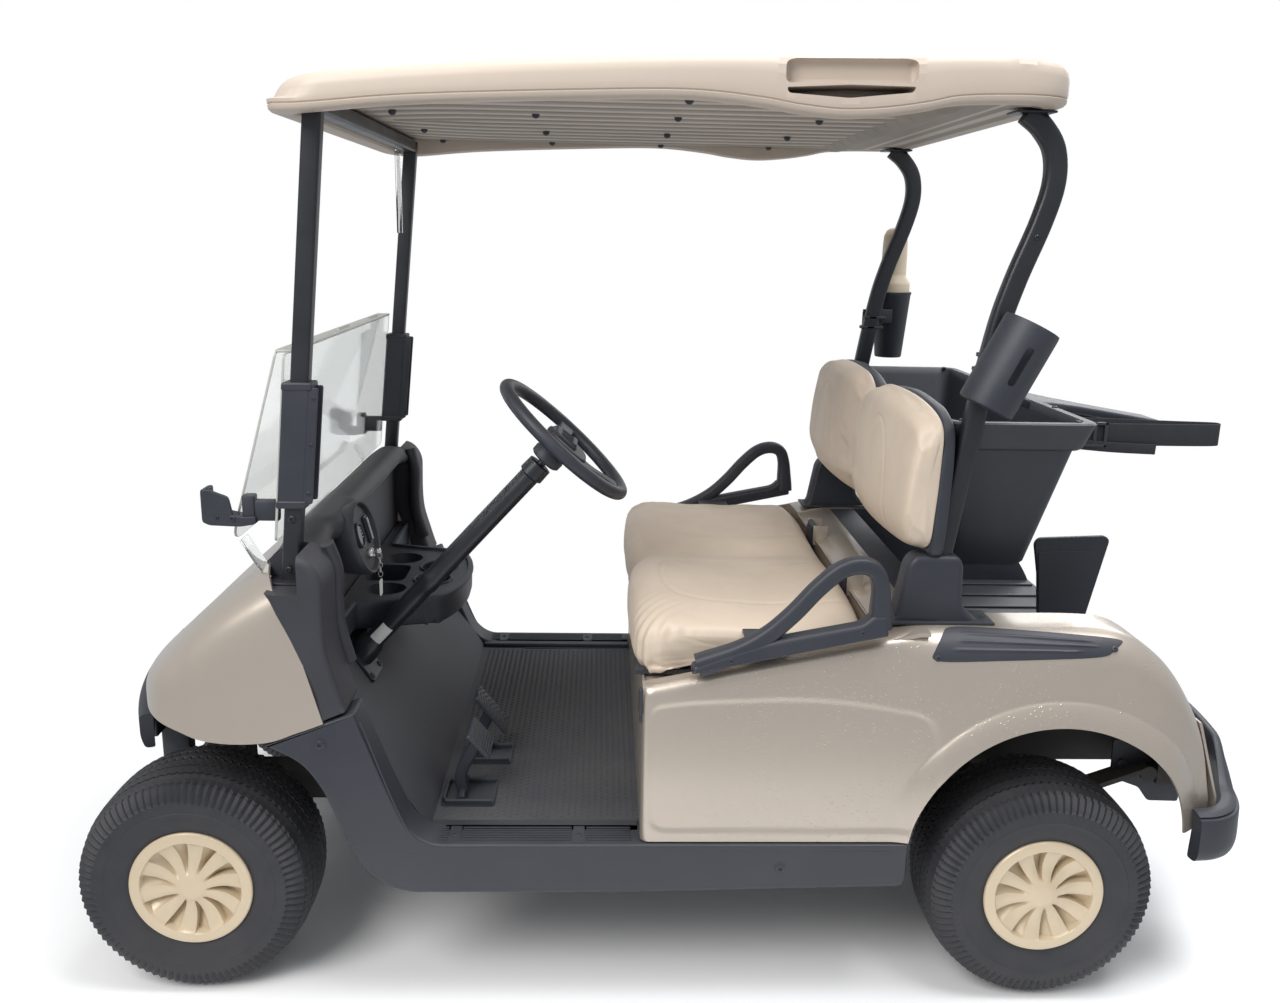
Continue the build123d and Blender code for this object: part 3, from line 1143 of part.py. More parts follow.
RESTRAINT_INNER_Y = 556.0
RESTRAINT_OUTER_Y = 592.0
BRACKET_GAP = 3.0
BRACKET = 6.0
BRACKET_X = -130.0
BRACKET_LENGTH = 80.0
BRACKET_TOP_Z = 752.0
restraint_base_front = (12.0, 693.0)
restraint_base_rear = (-348.0, 770.0)
with BuildPart() as hip_restraints:
    with BuildSketch(side_plane((RESTRAINT_INNER_Y + RESTRAINT_OUTER_Y) / 2)):
        with BuildLine():
            Polyline(
                *flip([
                    restraint_base_front, (10, 716), (-60, 742), (-150, 800), (-215, 880),
                    (-262, 915), (-318, 918), (-340, 900), restraint_base_rear,
                ]), close=True,
            )
        make_face()
        with BuildLine():
            Polyline(
                *flip([
                    (-128, 760), (-170, 790), (-225, 852), (-262, 884), (-300, 890), (-312, 878),
                    (-318, 806),
                ]), close=True,
            )
        make_face(mode=Mode.SUBTRACT)
    extrude(amount=(RESTRAINT_OUTER_Y - RESTRAINT_INNER_Y) / 2, both=True)
    bracket_y = CUSHION_HALF + BRACKET_GAP + BRACKET / 2
    with Locations((BRACKET_X, bracket_y, (pan_top_z + BRACKET_TOP_Z) / 2)):
        Box(BRACKET_LENGTH, BRACKET, BRACKET_TOP_Z - pan_top_z)
    ledge_y = (bracket_y - BRACKET / 2 + RESTRAINT_INNER_Y) / 2
    with Locations((BRACKET_X, ledge_y, BRACKET_TOP_Z - BRACKET / 2)):
        Box(BRACKET_LENGTH, RESTRAINT_INNER_Y - bracket_y + BRACKET / 2, BRACKET)
    with Locations((BRACKET_X, CUSHION_HALF + (BRACKET_GAP + BRACKET) / 2, pan_top_z - PAN / 2)):
        Box(BRACKET_LENGTH, BRACKET_GAP + BRACKET, PAN)
    mirror(about=Plane.XZ)
finish(hip_restraints, "hip_restraints")

# ---- strut covers, seat back, basket ------------------------------------------------
BACK_LEAN = 2.0
BACK_Z = 905.0
BACK_TOP_Z = 1160.0
BACK_FRONT_X = -380.0
BACK_THICKNESS = 62.0
BACK_HALF = REAR_STRUT_Y + 28.0
SHELL_THICKNESS = 24.0


def lean(points, low_z, slope):
    """Shift outline points rearward with height above low_z."""
    return [(x - slope * (z - low_z), z) for x, z in points]


back_slope = sin(radians(BACK_LEAN))
with BuildPart() as seat_back_cushion:
    with BuildSketch(side_plane(0)):
        with BuildLine():
            Polyline(
                *flip(lean([
                    (BACK_FRONT_X - 20, BACK_Z), (BACK_FRONT_X, BACK_Z + 30), (BACK_FRONT_X, BACK_TOP_Z - 60),
                    (BACK_FRONT_X - 40, BACK_TOP_Z), (BACK_FRONT_X - BACK_THICKNESS, BACK_TOP_Z),
                    (BACK_FRONT_X - BACK_THICKNESS, BACK_Z),
                ], BACK_Z, back_slope)), close=True,
            )
        make_face()
    extrude(amount=BACK_HALF, both=True)
finish(seat_back_cushion, "seat_back_cushion")

shell_front_x = BACK_FRONT_X - BACK_THICKNESS - CLEARANCE
with BuildPart() as seat_back_shell:
    with BuildSketch(side_plane(0)):
        with BuildLine():
            Polyline(
                *flip(lean([
                    (shell_front_x, BACK_Z - 10), (shell_front_x, BACK_TOP_Z - 5),
                    (shell_front_x - SHELL_THICKNESS, BACK_TOP_Z - 15),
                    (shell_front_x - SHELL_THICKNESS, BACK_Z - 10),
                ], BACK_Z, back_slope)), close=True,
            )
        make_face()
    extrude(amount=BACK_HALF - 6, both=True)
    # Channels in which the shell clasps the struts.
    channel_front = REAR_STRUT_DEPTH / 2 + CLEARANCE + 0.5
    channel_back = 80.0
    for side in (1, -1):
        with BuildSketch(side_plane(side * REAR_STRUT_Y)):
            with BuildLine():
                Polyline(
                    *flip([
                        (REAR_STRUT_FOOT[0] + channel_front, REAR_STRUT_FOOT[1]),
                        (rear_strut_line[1][0] + channel_front, rear_strut_line[1][1]),
                        (rear_strut_line[1][0] - channel_back, rear_strut_line[1][1]),
                        (REAR_STRUT_FOOT[0] - channel_back, REAR_STRUT_FOOT[1]),
                    ]), close=True,
                )
            make_face()
        extrude(amount=REAR_STRUT_WIDTH / 2 + CLEARANCE, both=True, mode=Mode.SUBTRACT)
finish(seat_back_shell, "seat_back_shell")

COVER_HALF = 26.0
COVER_TOP_Z = 880.0
with BuildPart() as strut_covers:
    with BuildSketch(side_plane(REAR_STRUT_Y)):
        with BuildLine():
            Polyline(
                *flip([
                    (-372, DECK_Z), (-392, 800), (-412, COVER_TOP_Z), (-508, COVER_TOP_Z), (-512, 800),
                    (-540, DECK_Z),
                ]), close=True,
            )
        make_face()
    extrude(amount=COVER_HALF, both=True)
    with BuildSketch(side_plane(REAR_STRUT_Y)):
        with BuildLine():
            Polyline(
                *flip([
                    (-428, DECK_Z - 10), (-445, COVER_TOP_Z + 20), (-500, COVER_TOP_Z + 20),
                    (-482, DECK_Z - 10),
                ]), close=True,
            )
        make_face()
    extrude(amount=REAR_STRUT_WIDTH / 2 + CLEARANCE, both=True, mode=Mode.SUBTRACT)
    mirror(about=Plane.XZ)
finish(strut_covers, "strut_covers")

# ---- steering column and wheel ------------------------------------------------------
WHEEL_OUTER = 172.5
GRIP = 15.0
BOSS_RADIUS = 34.0
BOSS_DEPTH = 62.0
steer_plane = Plane(origin=steer_centre, x_dir=(0, 1, 0), z_dir=steer_dir)
column_top = 70.0
with BuildPart() as steering_column:
    with BuildSketch(steer_plane.offset(-foot_run + 6)):
        Circle(COLUMN_RADIUS)
    extrude(amount=foot_run - 6 - column_top)
    with BuildSketch(steer_plane.offset(-column_top)):
        Circle(SHAFT_RADIUS)
    extrude(amount=column_top - 14)
    with BuildSketch(side_plane(STEER_Y)):
        with BuildLine():
            foot_dx = 55 * toe_run / toe_length
            foot_dz = 55 * toe_rise / toe_length
            rest = (column_foot.X, column_foot.Z)
            Polyline(
                *flip([
                    (rest[0] - foot_dx, rest[1] - foot_dz),
                    (rest[0] + foot_dx * 0.2, rest[1] + foot_dz * 0.2),
                    (rest[0] + foot_dx * 0.2 - 0.8 * toe_dx, rest[1] + foot_dz * 0.2 + 0.8 * toe_dz),
                    (rest[0] - foot_dx - 0.8 * toe_dx, rest[1] - foot_dz + 0.8 * toe_dz),
                ]), close=True,
            )
        make_face()
    extrude(amount=45, both=True)
finish(steering_column, "steering_column")

SPOKE_WIDTH = 34.0
across = Vector(0, 1, 0)
with BuildPart() as steering_wheel:
    with BuildSketch(Plane(
        origin=steer_centre + across * (WHEEL_OUTER - GRIP), x_dir=(0, 1, 0), z_dir=steer_dir.cross(across),
    )):
        Circle(GRIP)
    revolve(axis=Axis(steer_centre, steer_dir))
    with BuildSketch(steer_plane.offset(-BOSS_DEPTH)):
        Circle(BOSS_RADIUS)
    extrude(amount=BOSS_DEPTH)
    with BuildSketch(steer_plane.offset(-30)):
        for spoke_angle in (0, 180, 270):
            with PolarLocations((WHEEL_OUTER - GRIP) / 2, 1, start_angle=spoke_angle):
                Rectangle(WHEEL_OUTER - GRIP, SPOKE_WIDTH)
    extrude(amount=26)
    with BuildSketch(steer_plane.offset(-BOSS_DEPTH)):
        Circle(SHAFT_RADIUS + PIN_CLEARANCE)
    extrude(amount=BOSS_DEPTH - 10, mode=Mode.SUBTRACT)
finish(steering_wheel, "steering_wheel")

# ---- basket and its straps ----------------------------------------------------------
BASKET_TOP_Z = 1150.0
BASKET_LOW_Z = 831.0
BASKET_WALL = 4.0
# Top and bottom openings of the tub: front x, rear x, half width.
basket_top = (-482.0, -744.0, REAR_STRUT_Y - 24.0)
basket_low = (-524.0, -693.0, REAR_STRUT_Y - 140.0)
TONGUE_HALF = 48.0
TONGUE_TIP_X = -1083.0
TONGUE_TIP_Z = 1094.0
TONGUE = 20.0


def tub_face(span, wall):
    """One rectangle of the tub, wall in from its outside."""
    with Locations(((span[0] + span[1]) / 2, 0)):
        Rectangle(span[0] - span[1] - 2 * wall, 2 * (span[2] - wall))


with BuildPart() as basket:
    with BuildSketch(Plane.XY.offset(BASKET_LOW_Z)):
        tub_face(basket_low, 0)
    with BuildSketch(Plane.XY.offset(BASKET_TOP_Z)):
        tub_face(basket_top, 0)
    loft()
    with BuildSketch(side_plane(0)):
        with BuildLine():
            Polyline(
                *flip([
                    (basket_top[1] + 6, BASKET_TOP_Z), (basket_top[1] + 6, BASKET_TOP_Z - TONGUE),
                    (TONGUE_TIP_X, TONGUE_TIP_Z - TONGUE), (TONGUE_TIP_X, TONGUE_TIP_Z),
                ]), close=True,
            )
        make_face()
    extrude(amount=TONGUE_HALF, both=True)
    with BuildSketch(Plane.XY.offset(BASKET_LOW_Z + BASKET_WALL)):
        tub_face(basket_low, BASKET_WALL)
    with BuildSketch(Plane.XY.offset(BASKET_TOP_Z)):
        tub_face(basket_top, BASKET_WALL)
    loft(mode=Mode.SUBTRACT)
    tab_reach = REAR_STRUT_Y - REAR_STRUT_WIDTH / 2 - CLEARANCE
    for side in (1, -1):
        with Locations((-512, side * (basket_top[2] - 6 + tab_reach) / 2, BASKET_TOP_Z - 15)):
            Box(36, tab_reach - basket_top[2] + 6, 30)
finish(basket, "basket")

STRAP_WIDTH = 50.0
STRAP = 3.0
STRAP_LOW_Z = 1056.0
STRAP_DROOP = 12.0
FAR_STRAP_Z = 1088.0


def strap_start_x(z):
    """Where a strap's end meets the sloping rear wall of the basket."""
    share = (BASKET_TOP_Z - z) / (BASKET_TOP_Z - BASKET_LOW_Z)
    return basket_top[1] + share * (basket_low[1] - basket_top[1]) - STRAP / 2 - SOFT_GAP


near_start_x = strap_start_x(STRAP_LOW_Z + STRAP_WIDTH)
near_loop = [(near_start_x, 172), (-1150, 160), (-1162, 145), (-1150, 130), (near_start_x, 66)]
far_loop = [(0, -190), (-200, -214), (-290, -196), (-300, -160), (-240, -110), (0, -70)]
with BuildPart() as bag_straps:
    with BuildSketch(Plane.XY.offset(STRAP_LOW_Z)):
        with BuildLine():
            Polyline(*near_loop)
            offset(amount=STRAP / 2)
        make_face()
    extrude(amount=STRAP_WIDTH)
    far_plane = Plane(
        origin=(strap_start_x(FAR_STRAP_Z), 0, FAR_STRAP_Z),
        x_dir=(cos(radians(STRAP_DROOP)), 0, sin(radians(STRAP_DROOP))),
        z_dir=(-sin(radians(STRAP_DROOP)), 0, cos(radians(STRAP_DROOP))),
    )
    with BuildSketch(far_plane):
        with BuildLine():
            Polyline(*far_loop)
            offset(amount=STRAP / 2)
        make_face()
    extrude(amount=STRAP_WIDTH)
finish(bag_straps, "bag_straps")

# ---- sand bottle holders ------------------------------------------------------------
HOLDER_RADIUS = 52.0
HOLDER_GAP = 2.0
HOLDER_WALL = 4.0
HOLDER_LENGTH = 166.0
HOLDER_LEAN = 26.0
HOLDER_LOW = (-505.0, 1190.0)
HOLDER_SLOT = (-552.0, 1262.0)
HOLDER_SLOT_WIDTH = 14.0
HOLDER_SLOT_LENGTH = 74.0
HOLDER_Y = REAR_STRUT_Y + REAR_STRUT_WIDTH / 2 + HOLDER_RADIUS + HOLDER_GAP
MOUNT_INNER_Y = REAR_STRUT_Y + REAR_STRUT_WIDTH / 2 + CLEARANCE
holder_plane = Plane(
    origin=(HOLDER_LOW[0], HOLDER_Y, HOLDER_LOW[1]), x_dir=(0, 1, 0),
    z_dir=(-sin(radians(HOLDER_LEAN)), 0, cos(radians(HOLDER_LEAN))),
)
with BuildPart() as sand_holder_left:
    with BuildSketch(holder_plane):
        Circle(HOLDER_RADIUS)
    extrude(amount=HOLDER_LENGTH)
    with Locations((-528, (MOUNT_INNER_Y + HOLDER_Y) / 2, 1262)):
        Box(36, HOLDER_Y - MOUNT_INNER_Y, 60)
    with BuildSketch(holder_plane.offset(HOLDER_WALL)):
        Circle(HOLDER_RADIUS - HOLDER_WALL)
    extrude(amount=HOLDER_LENGTH, mode=Mode.SUBTRACT)
    slot_x, slot_z = HOLDER_SLOT
    with Locations(Location((slot_x, HOLDER_Y + HOLDER_RADIUS, slot_z), (0, -HOLDER_LEAN, 0))):
        Box(HOLDER_SLOT_WIDTH, HOLDER_RADIUS, HOLDER_SLOT_LENGTH, mode=Mode.SUBTRACT)
finish(sand_holder_left, "sand_holder_left")

CUP_TOP_Z = 1343.0
CUP_LOW_Z = 1168.0
CUP_TOP_RADIUS = 50.0
CUP_LOW_RADIUS = 36.0
CUP_CENTRE_X = -598.0
BOTTLE_RADIUS = 34.0
BOTTLE_TOP_Z = 1511.0
cup_plane = Plane(origin=(CUP_CENTRE_X, -HOLDER_Y, 0), x_dir=(1, 0, 0), z_dir=(0, -1, 0))
cup_axis = Axis((CUP_CENTRE_X, -HOLDER_Y, 0), (0, 0, 1))
with BuildPart() as sand_holder_right:
    with BuildSketch(cup_plane):
        with BuildLine():
            Polyline(
                (0, CUP_LOW_Z), (CUP_LOW_RADIUS, CUP_LOW_Z), (CUP_TOP_RADIUS, CUP_TOP_Z),
                (CUP_TOP_RADIUS - HOLDER_WALL, CUP_TOP_Z), (CUP_LOW_RADIUS, CUP_LOW_Z + 40),
                (CUP_LOW_RADIUS - HOLDER_WALL, CUP_LOW_Z + HOLDER_WALL), (0, CUP_LOW_Z + HOLDER_WALL),
                close=True,
            )
        make_face()
    revolve(axis=cup_axis)
    with Locations(((CUP_CENTRE_X - 500) / 2, -(MOUNT_INNER_Y + 7), 1280)):
        Box(-500 - CUP_CENTRE_X, 14, 44)
finish(sand_holder_right, "sand_holder_right")

with BuildPart() as sand_bottle:
    with BuildSketch(cup_plane):
        with BuildLine():
            base_z = CUP_LOW_Z + HOLDER_WALL + CLEARANCE
            collar_radius = CUP_TOP_RADIUS - HOLDER_WALL - 4
            Polyline(
                (0, base_z), (CUP_LOW_RADIUS - HOLDER_WALL - 2, base_z), (BOTTLE_RADIUS - 3, base_z + 60),
                (collar_radius, CUP_TOP_Z + 2), (collar_radius, CUP_TOP_Z + 22),
                (BOTTLE_RADIUS, CUP_TOP_Z + 40), (BOTTLE_RADIUS - 6, BOTTLE_TOP_Z - 14),
                (BOTTLE_RADIUS - 14, BOTTLE_TOP_Z),
                (0, BOTTLE_TOP_Z), close=True,
            )
        make_face()
    revolve(axis=cup_axis)
finish(sand_bottle, "sand_bottle")
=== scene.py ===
# %% [markdown]
# # Dressing a two-seat golf cart
# The cart's solids come from a CAD pack, already in place and in metres: +X is forward,
# +Y is the driver's side and +Z is up. This lesson gives every solid a real finish and
# rebuilds the pieces whose surface carries the likeness: tyres, wheel covers, cushions,
# canopy, basket and the rest. Each new piece is a surface worked out with numpy.

# %% Load the solids
import json
from math import cos, pi, radians, sin

import bpy
import numpy as np
from mathutils import Matrix, Vector


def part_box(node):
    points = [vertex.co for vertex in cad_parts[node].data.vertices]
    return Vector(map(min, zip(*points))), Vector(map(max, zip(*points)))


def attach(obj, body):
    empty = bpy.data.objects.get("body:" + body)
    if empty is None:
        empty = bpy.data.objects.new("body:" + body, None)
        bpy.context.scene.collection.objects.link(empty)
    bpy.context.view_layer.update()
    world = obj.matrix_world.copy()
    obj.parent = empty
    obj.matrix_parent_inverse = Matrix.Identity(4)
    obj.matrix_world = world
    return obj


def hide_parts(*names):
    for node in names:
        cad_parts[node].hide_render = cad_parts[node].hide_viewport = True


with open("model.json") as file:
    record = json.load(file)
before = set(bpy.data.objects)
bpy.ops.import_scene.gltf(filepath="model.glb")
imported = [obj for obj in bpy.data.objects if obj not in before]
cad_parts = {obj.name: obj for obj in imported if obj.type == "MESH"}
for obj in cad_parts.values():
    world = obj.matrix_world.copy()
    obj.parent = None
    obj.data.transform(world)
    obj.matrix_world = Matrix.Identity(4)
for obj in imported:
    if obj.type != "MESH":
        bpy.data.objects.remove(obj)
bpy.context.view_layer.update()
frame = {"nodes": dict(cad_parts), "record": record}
nodes = frame["nodes"]

# %% [markdown]
# A camera is set up first, so that every later cell can be judged in the render. It stands
# on the driver's side at the height of the driver's eyes and looks slightly down.

# %% Camera
CAMERA_PLACE = Vector((0.181, 2.512, 1.484))
camera_right = Vector((-0.99936, 0.03029, 0.01917)).normalized()
camera_forward = Vector((-0.03393, -0.97170, -0.23379)).normalized()
camera_up = camera_right.cross(camera_forward).normalized()

camera_data = bpy.data.cameras.new("camera")
camera_data.sensor_width = 36.0
camera_data.lens = 31.38
camera = bpy.data.objects.new("camera", camera_data)
turn = Matrix((camera_right, camera_up, -camera_forward)).transposed()
camera.matrix_world = Matrix.Translation(CAMERA_PLACE) @ turn.to_4x4()
bpy.context.scene.collection.objects.link(camera)
bpy.context.scene.camera = camera
print("camera looks along", [round(v, 3) for v in camera_forward])

# %% [markdown]
# The studio is a pale floor that fades out round the cart, in a world that is white to
# the camera and to glass and dimmer as a light, so that the body paint renders about as
# it is written. Three soft lamps give the roof a bright top and leave the underside
# darker. Every shader in this lesson is wired with the same small helper.

# %% Floor, world and lamps
scene = bpy.context.scene
scene.view_settings.view_transform = "Standard"
WORLD_LIGHT = 0.55
FLOOR_HALF = 30
FLOOR_FADES, FLOOR_GONE = 1.1, 2.1


def new_nodes(owner):
    """An empty node tree on a material or a world."""
    owner.use_nodes = True
    owner.node_tree.nodes.clear()
    return owner.node_tree


def add(tree, kind, links=(), **values):
    """A node of that kind. Names that start with p_ set the node's own properties; i0 and
    i1 set inputs by number and other names by name. Links join an input to a socket, or to
    another node's first output."""
    node = tree.nodes.new(kind)
    for key, value in values.items():
        if key.startswith("p_"):
            setattr(node, key[2:], value)
        else:
            place = int(key[1:]) if key[0] == "i" and key[1:].isdigit() else key.replace("_", " ")
            node.inputs[place].default_value = value
    for place, source in links:
        socket = source.outputs[0] if isinstance(source, bpy.types.Node) else source
        tree.links.new(socket, node.inputs[place])
    return node


def area_lamp(name, place, target, size, power, colour=(1, 1, 1)):
    """A square soft lamp at place, turned to face target."""
    data = bpy.data.lights.new(name, "AREA")
    data.size, data.energy, data.color = size, power, colour
    lamp = bpy.data.objects.new(name, data)
    lamp.location = place
    lamp.rotation_euler = (Vector(target) - Vector(place)).to_track_quat("-Z", "Y").to_euler()
    scene.collection.objects.link(lamp)


world = bpy.data.worlds.new("studio")
scene.world = world
tree = new_nodes(world)
lit = add(tree, "ShaderNodeBackground", Color=(0.93, 0.96, 1.0, 1), Strength=WORLD_LIGHT)
seen = add(tree, "ShaderNodeBackground", Color=(1, 1, 1, 1))
rays = add(tree, "ShaderNodeLightPath").outputs
either = add(
    tree, "ShaderNodeMath", [(0, rays["Is Camera Ray"]), (1, rays["Is Transmission Ray"])],
    p_operation="MAXIMUM",
)
mix = add(tree, "ShaderNodeMixShader", [(0, either), (1, lit), (2, seen)])
add(tree, "ShaderNodeOutputWorld", [(0, mix)])

area_lamp("key", (2.6, 3.4, 4.2), (0, 0, 0.7), 2.6, 185, (1.0, 0.98, 0.96))
area_lamp("top", (-1.2, 0.6, 5.0), (-0.2, 0, 0.8), 2.8, 210, (0.97, 0.98, 1.0))
area_lamp("back", (-2.8, -3.4, 3.0), (0, 0, 0.8), 2.5, 60)

floor_mesh = bpy.data.meshes.new("studio_floor")
floor_corners = [
    (x * FLOOR_HALF, y * FLOOR_HALF, 0) for x, y in ((-1, -1), (1, -1), (1, 1), (-1, 1))
]
floor_mesh.from_pydata(floor_corners, [], [(0, 1, 2, 3)])
studio_floor = bpy.data.objects.new("studio_floor", floor_mesh)
scene.collection.objects.link(studio_floor)
floor_paint = bpy.data.materials.new("studio_floor")
tree = new_nodes(floor_paint)
matte = add(tree, "ShaderNodeBsdfDiffuse", Color=(0.95, 0.95, 0.95, 1))
clear = add(tree, "ShaderNodeBsdfTransparent")
place = add(tree, "ShaderNodeTexCoord")
far = add(tree, "ShaderNodeVectorMath", [(0, place.outputs["Object"])], p_operation="LENGTH")
spread = add(
    tree, "ShaderNodeMapRange", [("Value", far.outputs["Value"])], From_Min=FLOOR_FADES,
    From_Max=FLOOR_GONE, p_interpolation_type="SMOOTHSTEP",
)
mix = add(tree, "ShaderNodeMixShader", [(0, spread), (1, matte), (2, clear)])
add(tree, "ShaderNodeOutputMaterial", [(0, mix)])
floor_mesh.materials.append(floor_paint)
print("world light:", WORLD_LIGHT, "floor fades from", FLOOR_FADES, "to", FLOOR_GONE)

# %% [markdown]
# ## Finishes
# Four effects turn up again and again on a used cart: a cloudy change of tone, the fine
# grain of moulded plastic, beads of water, and dust that settles on surfaces that face
# up. Each is a shader node group with named inputs, built once. The Principled BSDF stays
# outside, in the material, so that the plain numbers stay on its own sockets.

# %% Helpers for node groups
def group(name, inputs, outputs):
    """A shader node group, the sockets that it is given and the ones that it gives back."""
    made = bpy.data.node_groups.new(name, "ShaderNodeTree")
    for socket, kind, value in inputs:
        item = made.interface.new_socket(socket, in_out="INPUT", socket_type=kind)
        if value is not None:
            item.default_value = value
    for socket, kind in outputs:
        made.interface.new_socket(socket, in_out="OUTPUT", socket_type=kind)
    given = made.nodes.new("NodeGroupInput").outputs
    return made, given, made.nodes.new("NodeGroupOutput").inputs


FLOAT, COLOUR, VECTOR = "NodeSocketFloat", "NodeSocketColor", "NodeSocketVector"


def object_coordinates(tree):
    return tree.nodes.new("ShaderNodeTexCoord").outputs["Object"]


# %% Group: cloudy tone
clouds, given, result = group(
    "cloudy_tone",
    [("Colour", COLOUR, (0.5, 0.5, 0.5, 1)), ("Other", COLOUR, (0.4, 0.4, 0.4, 1)),
     ("Scale", FLOAT, 4.0), ("Amount", FLOAT, 0.5)],
    [("Colour", COLOUR), ("Mask", FLOAT)],
)
noise = add(
    clouds, "ShaderNodeTexNoise",
    [("Vector", object_coordinates(clouds)), ("Scale", given["Scale"])], Detail=5.0, Roughness=0.6,
)
spread = add(clouds, "ShaderNodeMapRange", [(0, noise)], i1=0.35, i2=0.68)
level = add(clouds, "ShaderNodeMath", [(0, spread), (1, given["Amount"])], p_operation="MULTIPLY")
blend = add(clouds, "ShaderNodeMix", [(0, level), (6, given["Colour"]), (7, given["Other"])],
            p_data_type="RGBA")
clouds.links.new(blend.outputs[2], result["Colour"])
clouds.links.new(level.outputs[0], result["Mask"])

# %% Group: moulded grain
grain, given, result = group(
    "moulded_grain", [("Scale", FLOAT, 700.0), ("Bump", FLOAT, 0.2), ("Waviness", FLOAT, 0.05)],
    [("Normal", VECTOR)],
)
place = object_coordinates(grain)
cells = add(grain, "ShaderNodeTexNoise", [("Vector", place), ("Scale", given["Scale"])], Detail=2.0)
waves = add(grain, "ShaderNodeTexNoise", [("Vector", place)], Scale=18.0, Detail=2.0)
fine = add(
    grain, "ShaderNodeBump", [("Strength", given["Bump"]), ("Height", cells)], Distance=0.0008,
)
wide = add(grain, "ShaderNodeBump", [("Strength", given["Waviness"]), ("Height", waves),
                                     ("Normal", fine)], Distance=0.01)
grain.links.new(wide.outputs[0], result["Normal"])

# %% Group: water beads
beads, given, result = group(
    "water_beads", [("Scale", FLOAT, 115.0), ("Strength", FLOAT, 0.0), ("Normal", VECTOR, None)],
    [("Normal", VECTOR)],
)
place = object_coordinates(beads)
drops = add(
    beads, "ShaderNodeTexVoronoi", [("Vector", place), ("Scale", given["Scale"])], p_feature="F1",
)
dome = add(
    beads, "ShaderNodeMapRange", [(0, drops.outputs["Distance"])], i1=0.10, i2=0.26, i3=1.0, i4=0.0,
    p_interpolation_type="SMOOTHSTEP",
)
where = add(beads, "ShaderNodeTexNoise", [("Vector", place)], Scale=7.0, Detail=3.0)
some = add(beads, "ShaderNodeMapRange", [(0, where)], i1=0.40, i2=0.52)
along_x = add(beads, "ShaderNodeSeparateXYZ", [(0, place)])
behind = add(beads, "ShaderNodeMapRange", [(0, along_x)], i1=0.15, i2=-0.45)
patch = add(beads, "ShaderNodeMath", [(0, behind), (1, some)], p_operation="MULTIPLY")
height = add(beads, "ShaderNodeMath", [(0, dome), (1, patch)], p_operation="MULTIPLY")
raised = add(beads, "ShaderNodeBump", [("Strength", given["Strength"]), ("Height", height),
                                       ("Normal", given["Normal"])], Distance=0.0014)
beads.links.new(raised.outputs[0], result["Normal"])

# %% Group: settled dust
dust, given, result = group(
    "settled_dust",
    [
        ("Colour", COLOUR, (0.5, 0.5, 0.5, 1)), ("Dust", COLOUR, (0.25, 0.23, 0.2, 1)),
        ("Amount", FLOAT, 0.3), ("Top", FLOAT, 0.45),
    ],
    [("Colour", COLOUR), ("Mask", FLOAT)],
)
facing = add(
    dust, "ShaderNodeSeparateXYZ", [(0, dust.nodes.new("ShaderNodeNewGeometry").outputs["Normal"])],
)
upward = add(dust, "ShaderNodeMapRange", [(0, facing.outputs[2])], i1=0.3, i2=1.0)
low = add(dust, "ShaderNodeSeparateXYZ", [(0, object_coordinates(dust))])
near_ground = add(
    dust, "ShaderNodeMapRange", [(0, low.outputs[2]), (1, given["Top"])], i2=0.05, i3=0.0, i4=0.6,
)
patchy = add(
    dust, "ShaderNodeTexNoise", [("Vector", object_coordinates(dust))], Scale=9.0, Detail=6.0,
)
both = add(dust, "ShaderNodeMath", [(0, upward), (1, near_ground)], p_operation="MAXIMUM")
patched = add(dust, "ShaderNodeMath", [(0, both), (1, patchy)], p_operation="MULTIPLY")
share = add(dust, "ShaderNodeMath", [(0, patched), (1, given["Amount"])], p_operation="MULTIPLY",
            p_use_clamp=True)
blend = add(dust, "ShaderNodeMix", [(0, share), (6, given["Colour"]), (7, given["Dust"])],
            p_data_type="RGBA")
dust.links.new(blend.outputs[2], result["Colour"])
dust.links.new(share.outputs[0], result["Mask"])

# %% [markdown]
# A finish is then one function call. It places the four groups, mixes their colours one
# after the other, and sets the plain numbers on the Principled BSDF itself.

# %% The finish function
ROUGHNESS_SPREAD = 0.12


def finish(
    name, colour, other, roughness, metallic=0.0, tone=(4.0, 0.5), bump=(700.0, 0.2, 0.05),
    dusty=(0.3, 0.45), wet=0.0, **shader,
):
    """A material from the shared groups. tone is scale and amount, bump is grain scale,
    grain strength and waviness, dusty is amount and the height that road dust reaches."""
    made = bpy.data.materials.new(name)
    tree = new_nodes(made)
    cloud = add(
        tree, "ShaderNodeGroup", p_node_tree=clouds, Colour=(*colour, 1), Other=(*other, 1),
        Scale=tone[0], Amount=tone[1],
    )
    settled = add(
        tree, "ShaderNodeGroup", [("Colour", cloud.outputs["Colour"])], p_node_tree=dust,
        Dust=(0.25, 0.23, 0.2, 1), Amount=dusty[0], Top=dusty[1],
    )
    mould = add(
        tree, "ShaderNodeGroup", p_node_tree=grain, Scale=bump[0], Bump=bump[1], Waviness=bump[2],
    )
    water = add(
        tree, "ShaderNodeGroup", [("Normal", mould.outputs["Normal"])], p_node_tree=beads,
        Strength=wet,
    )
    uneven = add(
        tree, "ShaderNodeMapRange", [(0, cloud.outputs["Mask"])], i3=roughness,
        i4=roughness + ROUGHNESS_SPREAD,
    )
    rougher = add(
        tree, "ShaderNodeMath", [(0, settled.outputs["Mask"]), (1, uneven)], p_operation="ADD",
        p_use_clamp=True,
    )
    skin = add(
        tree, "ShaderNodeBsdfPrincipled",
        [
            ("Base Color", settled.outputs["Colour"]), ("Normal", water.outputs["Normal"]),
            ("Roughness", rougher),
        ],
        Metallic=metallic, **shader,
    )
    add(tree, "ShaderNodeOutputMaterial", [(0, skin)])
    return made


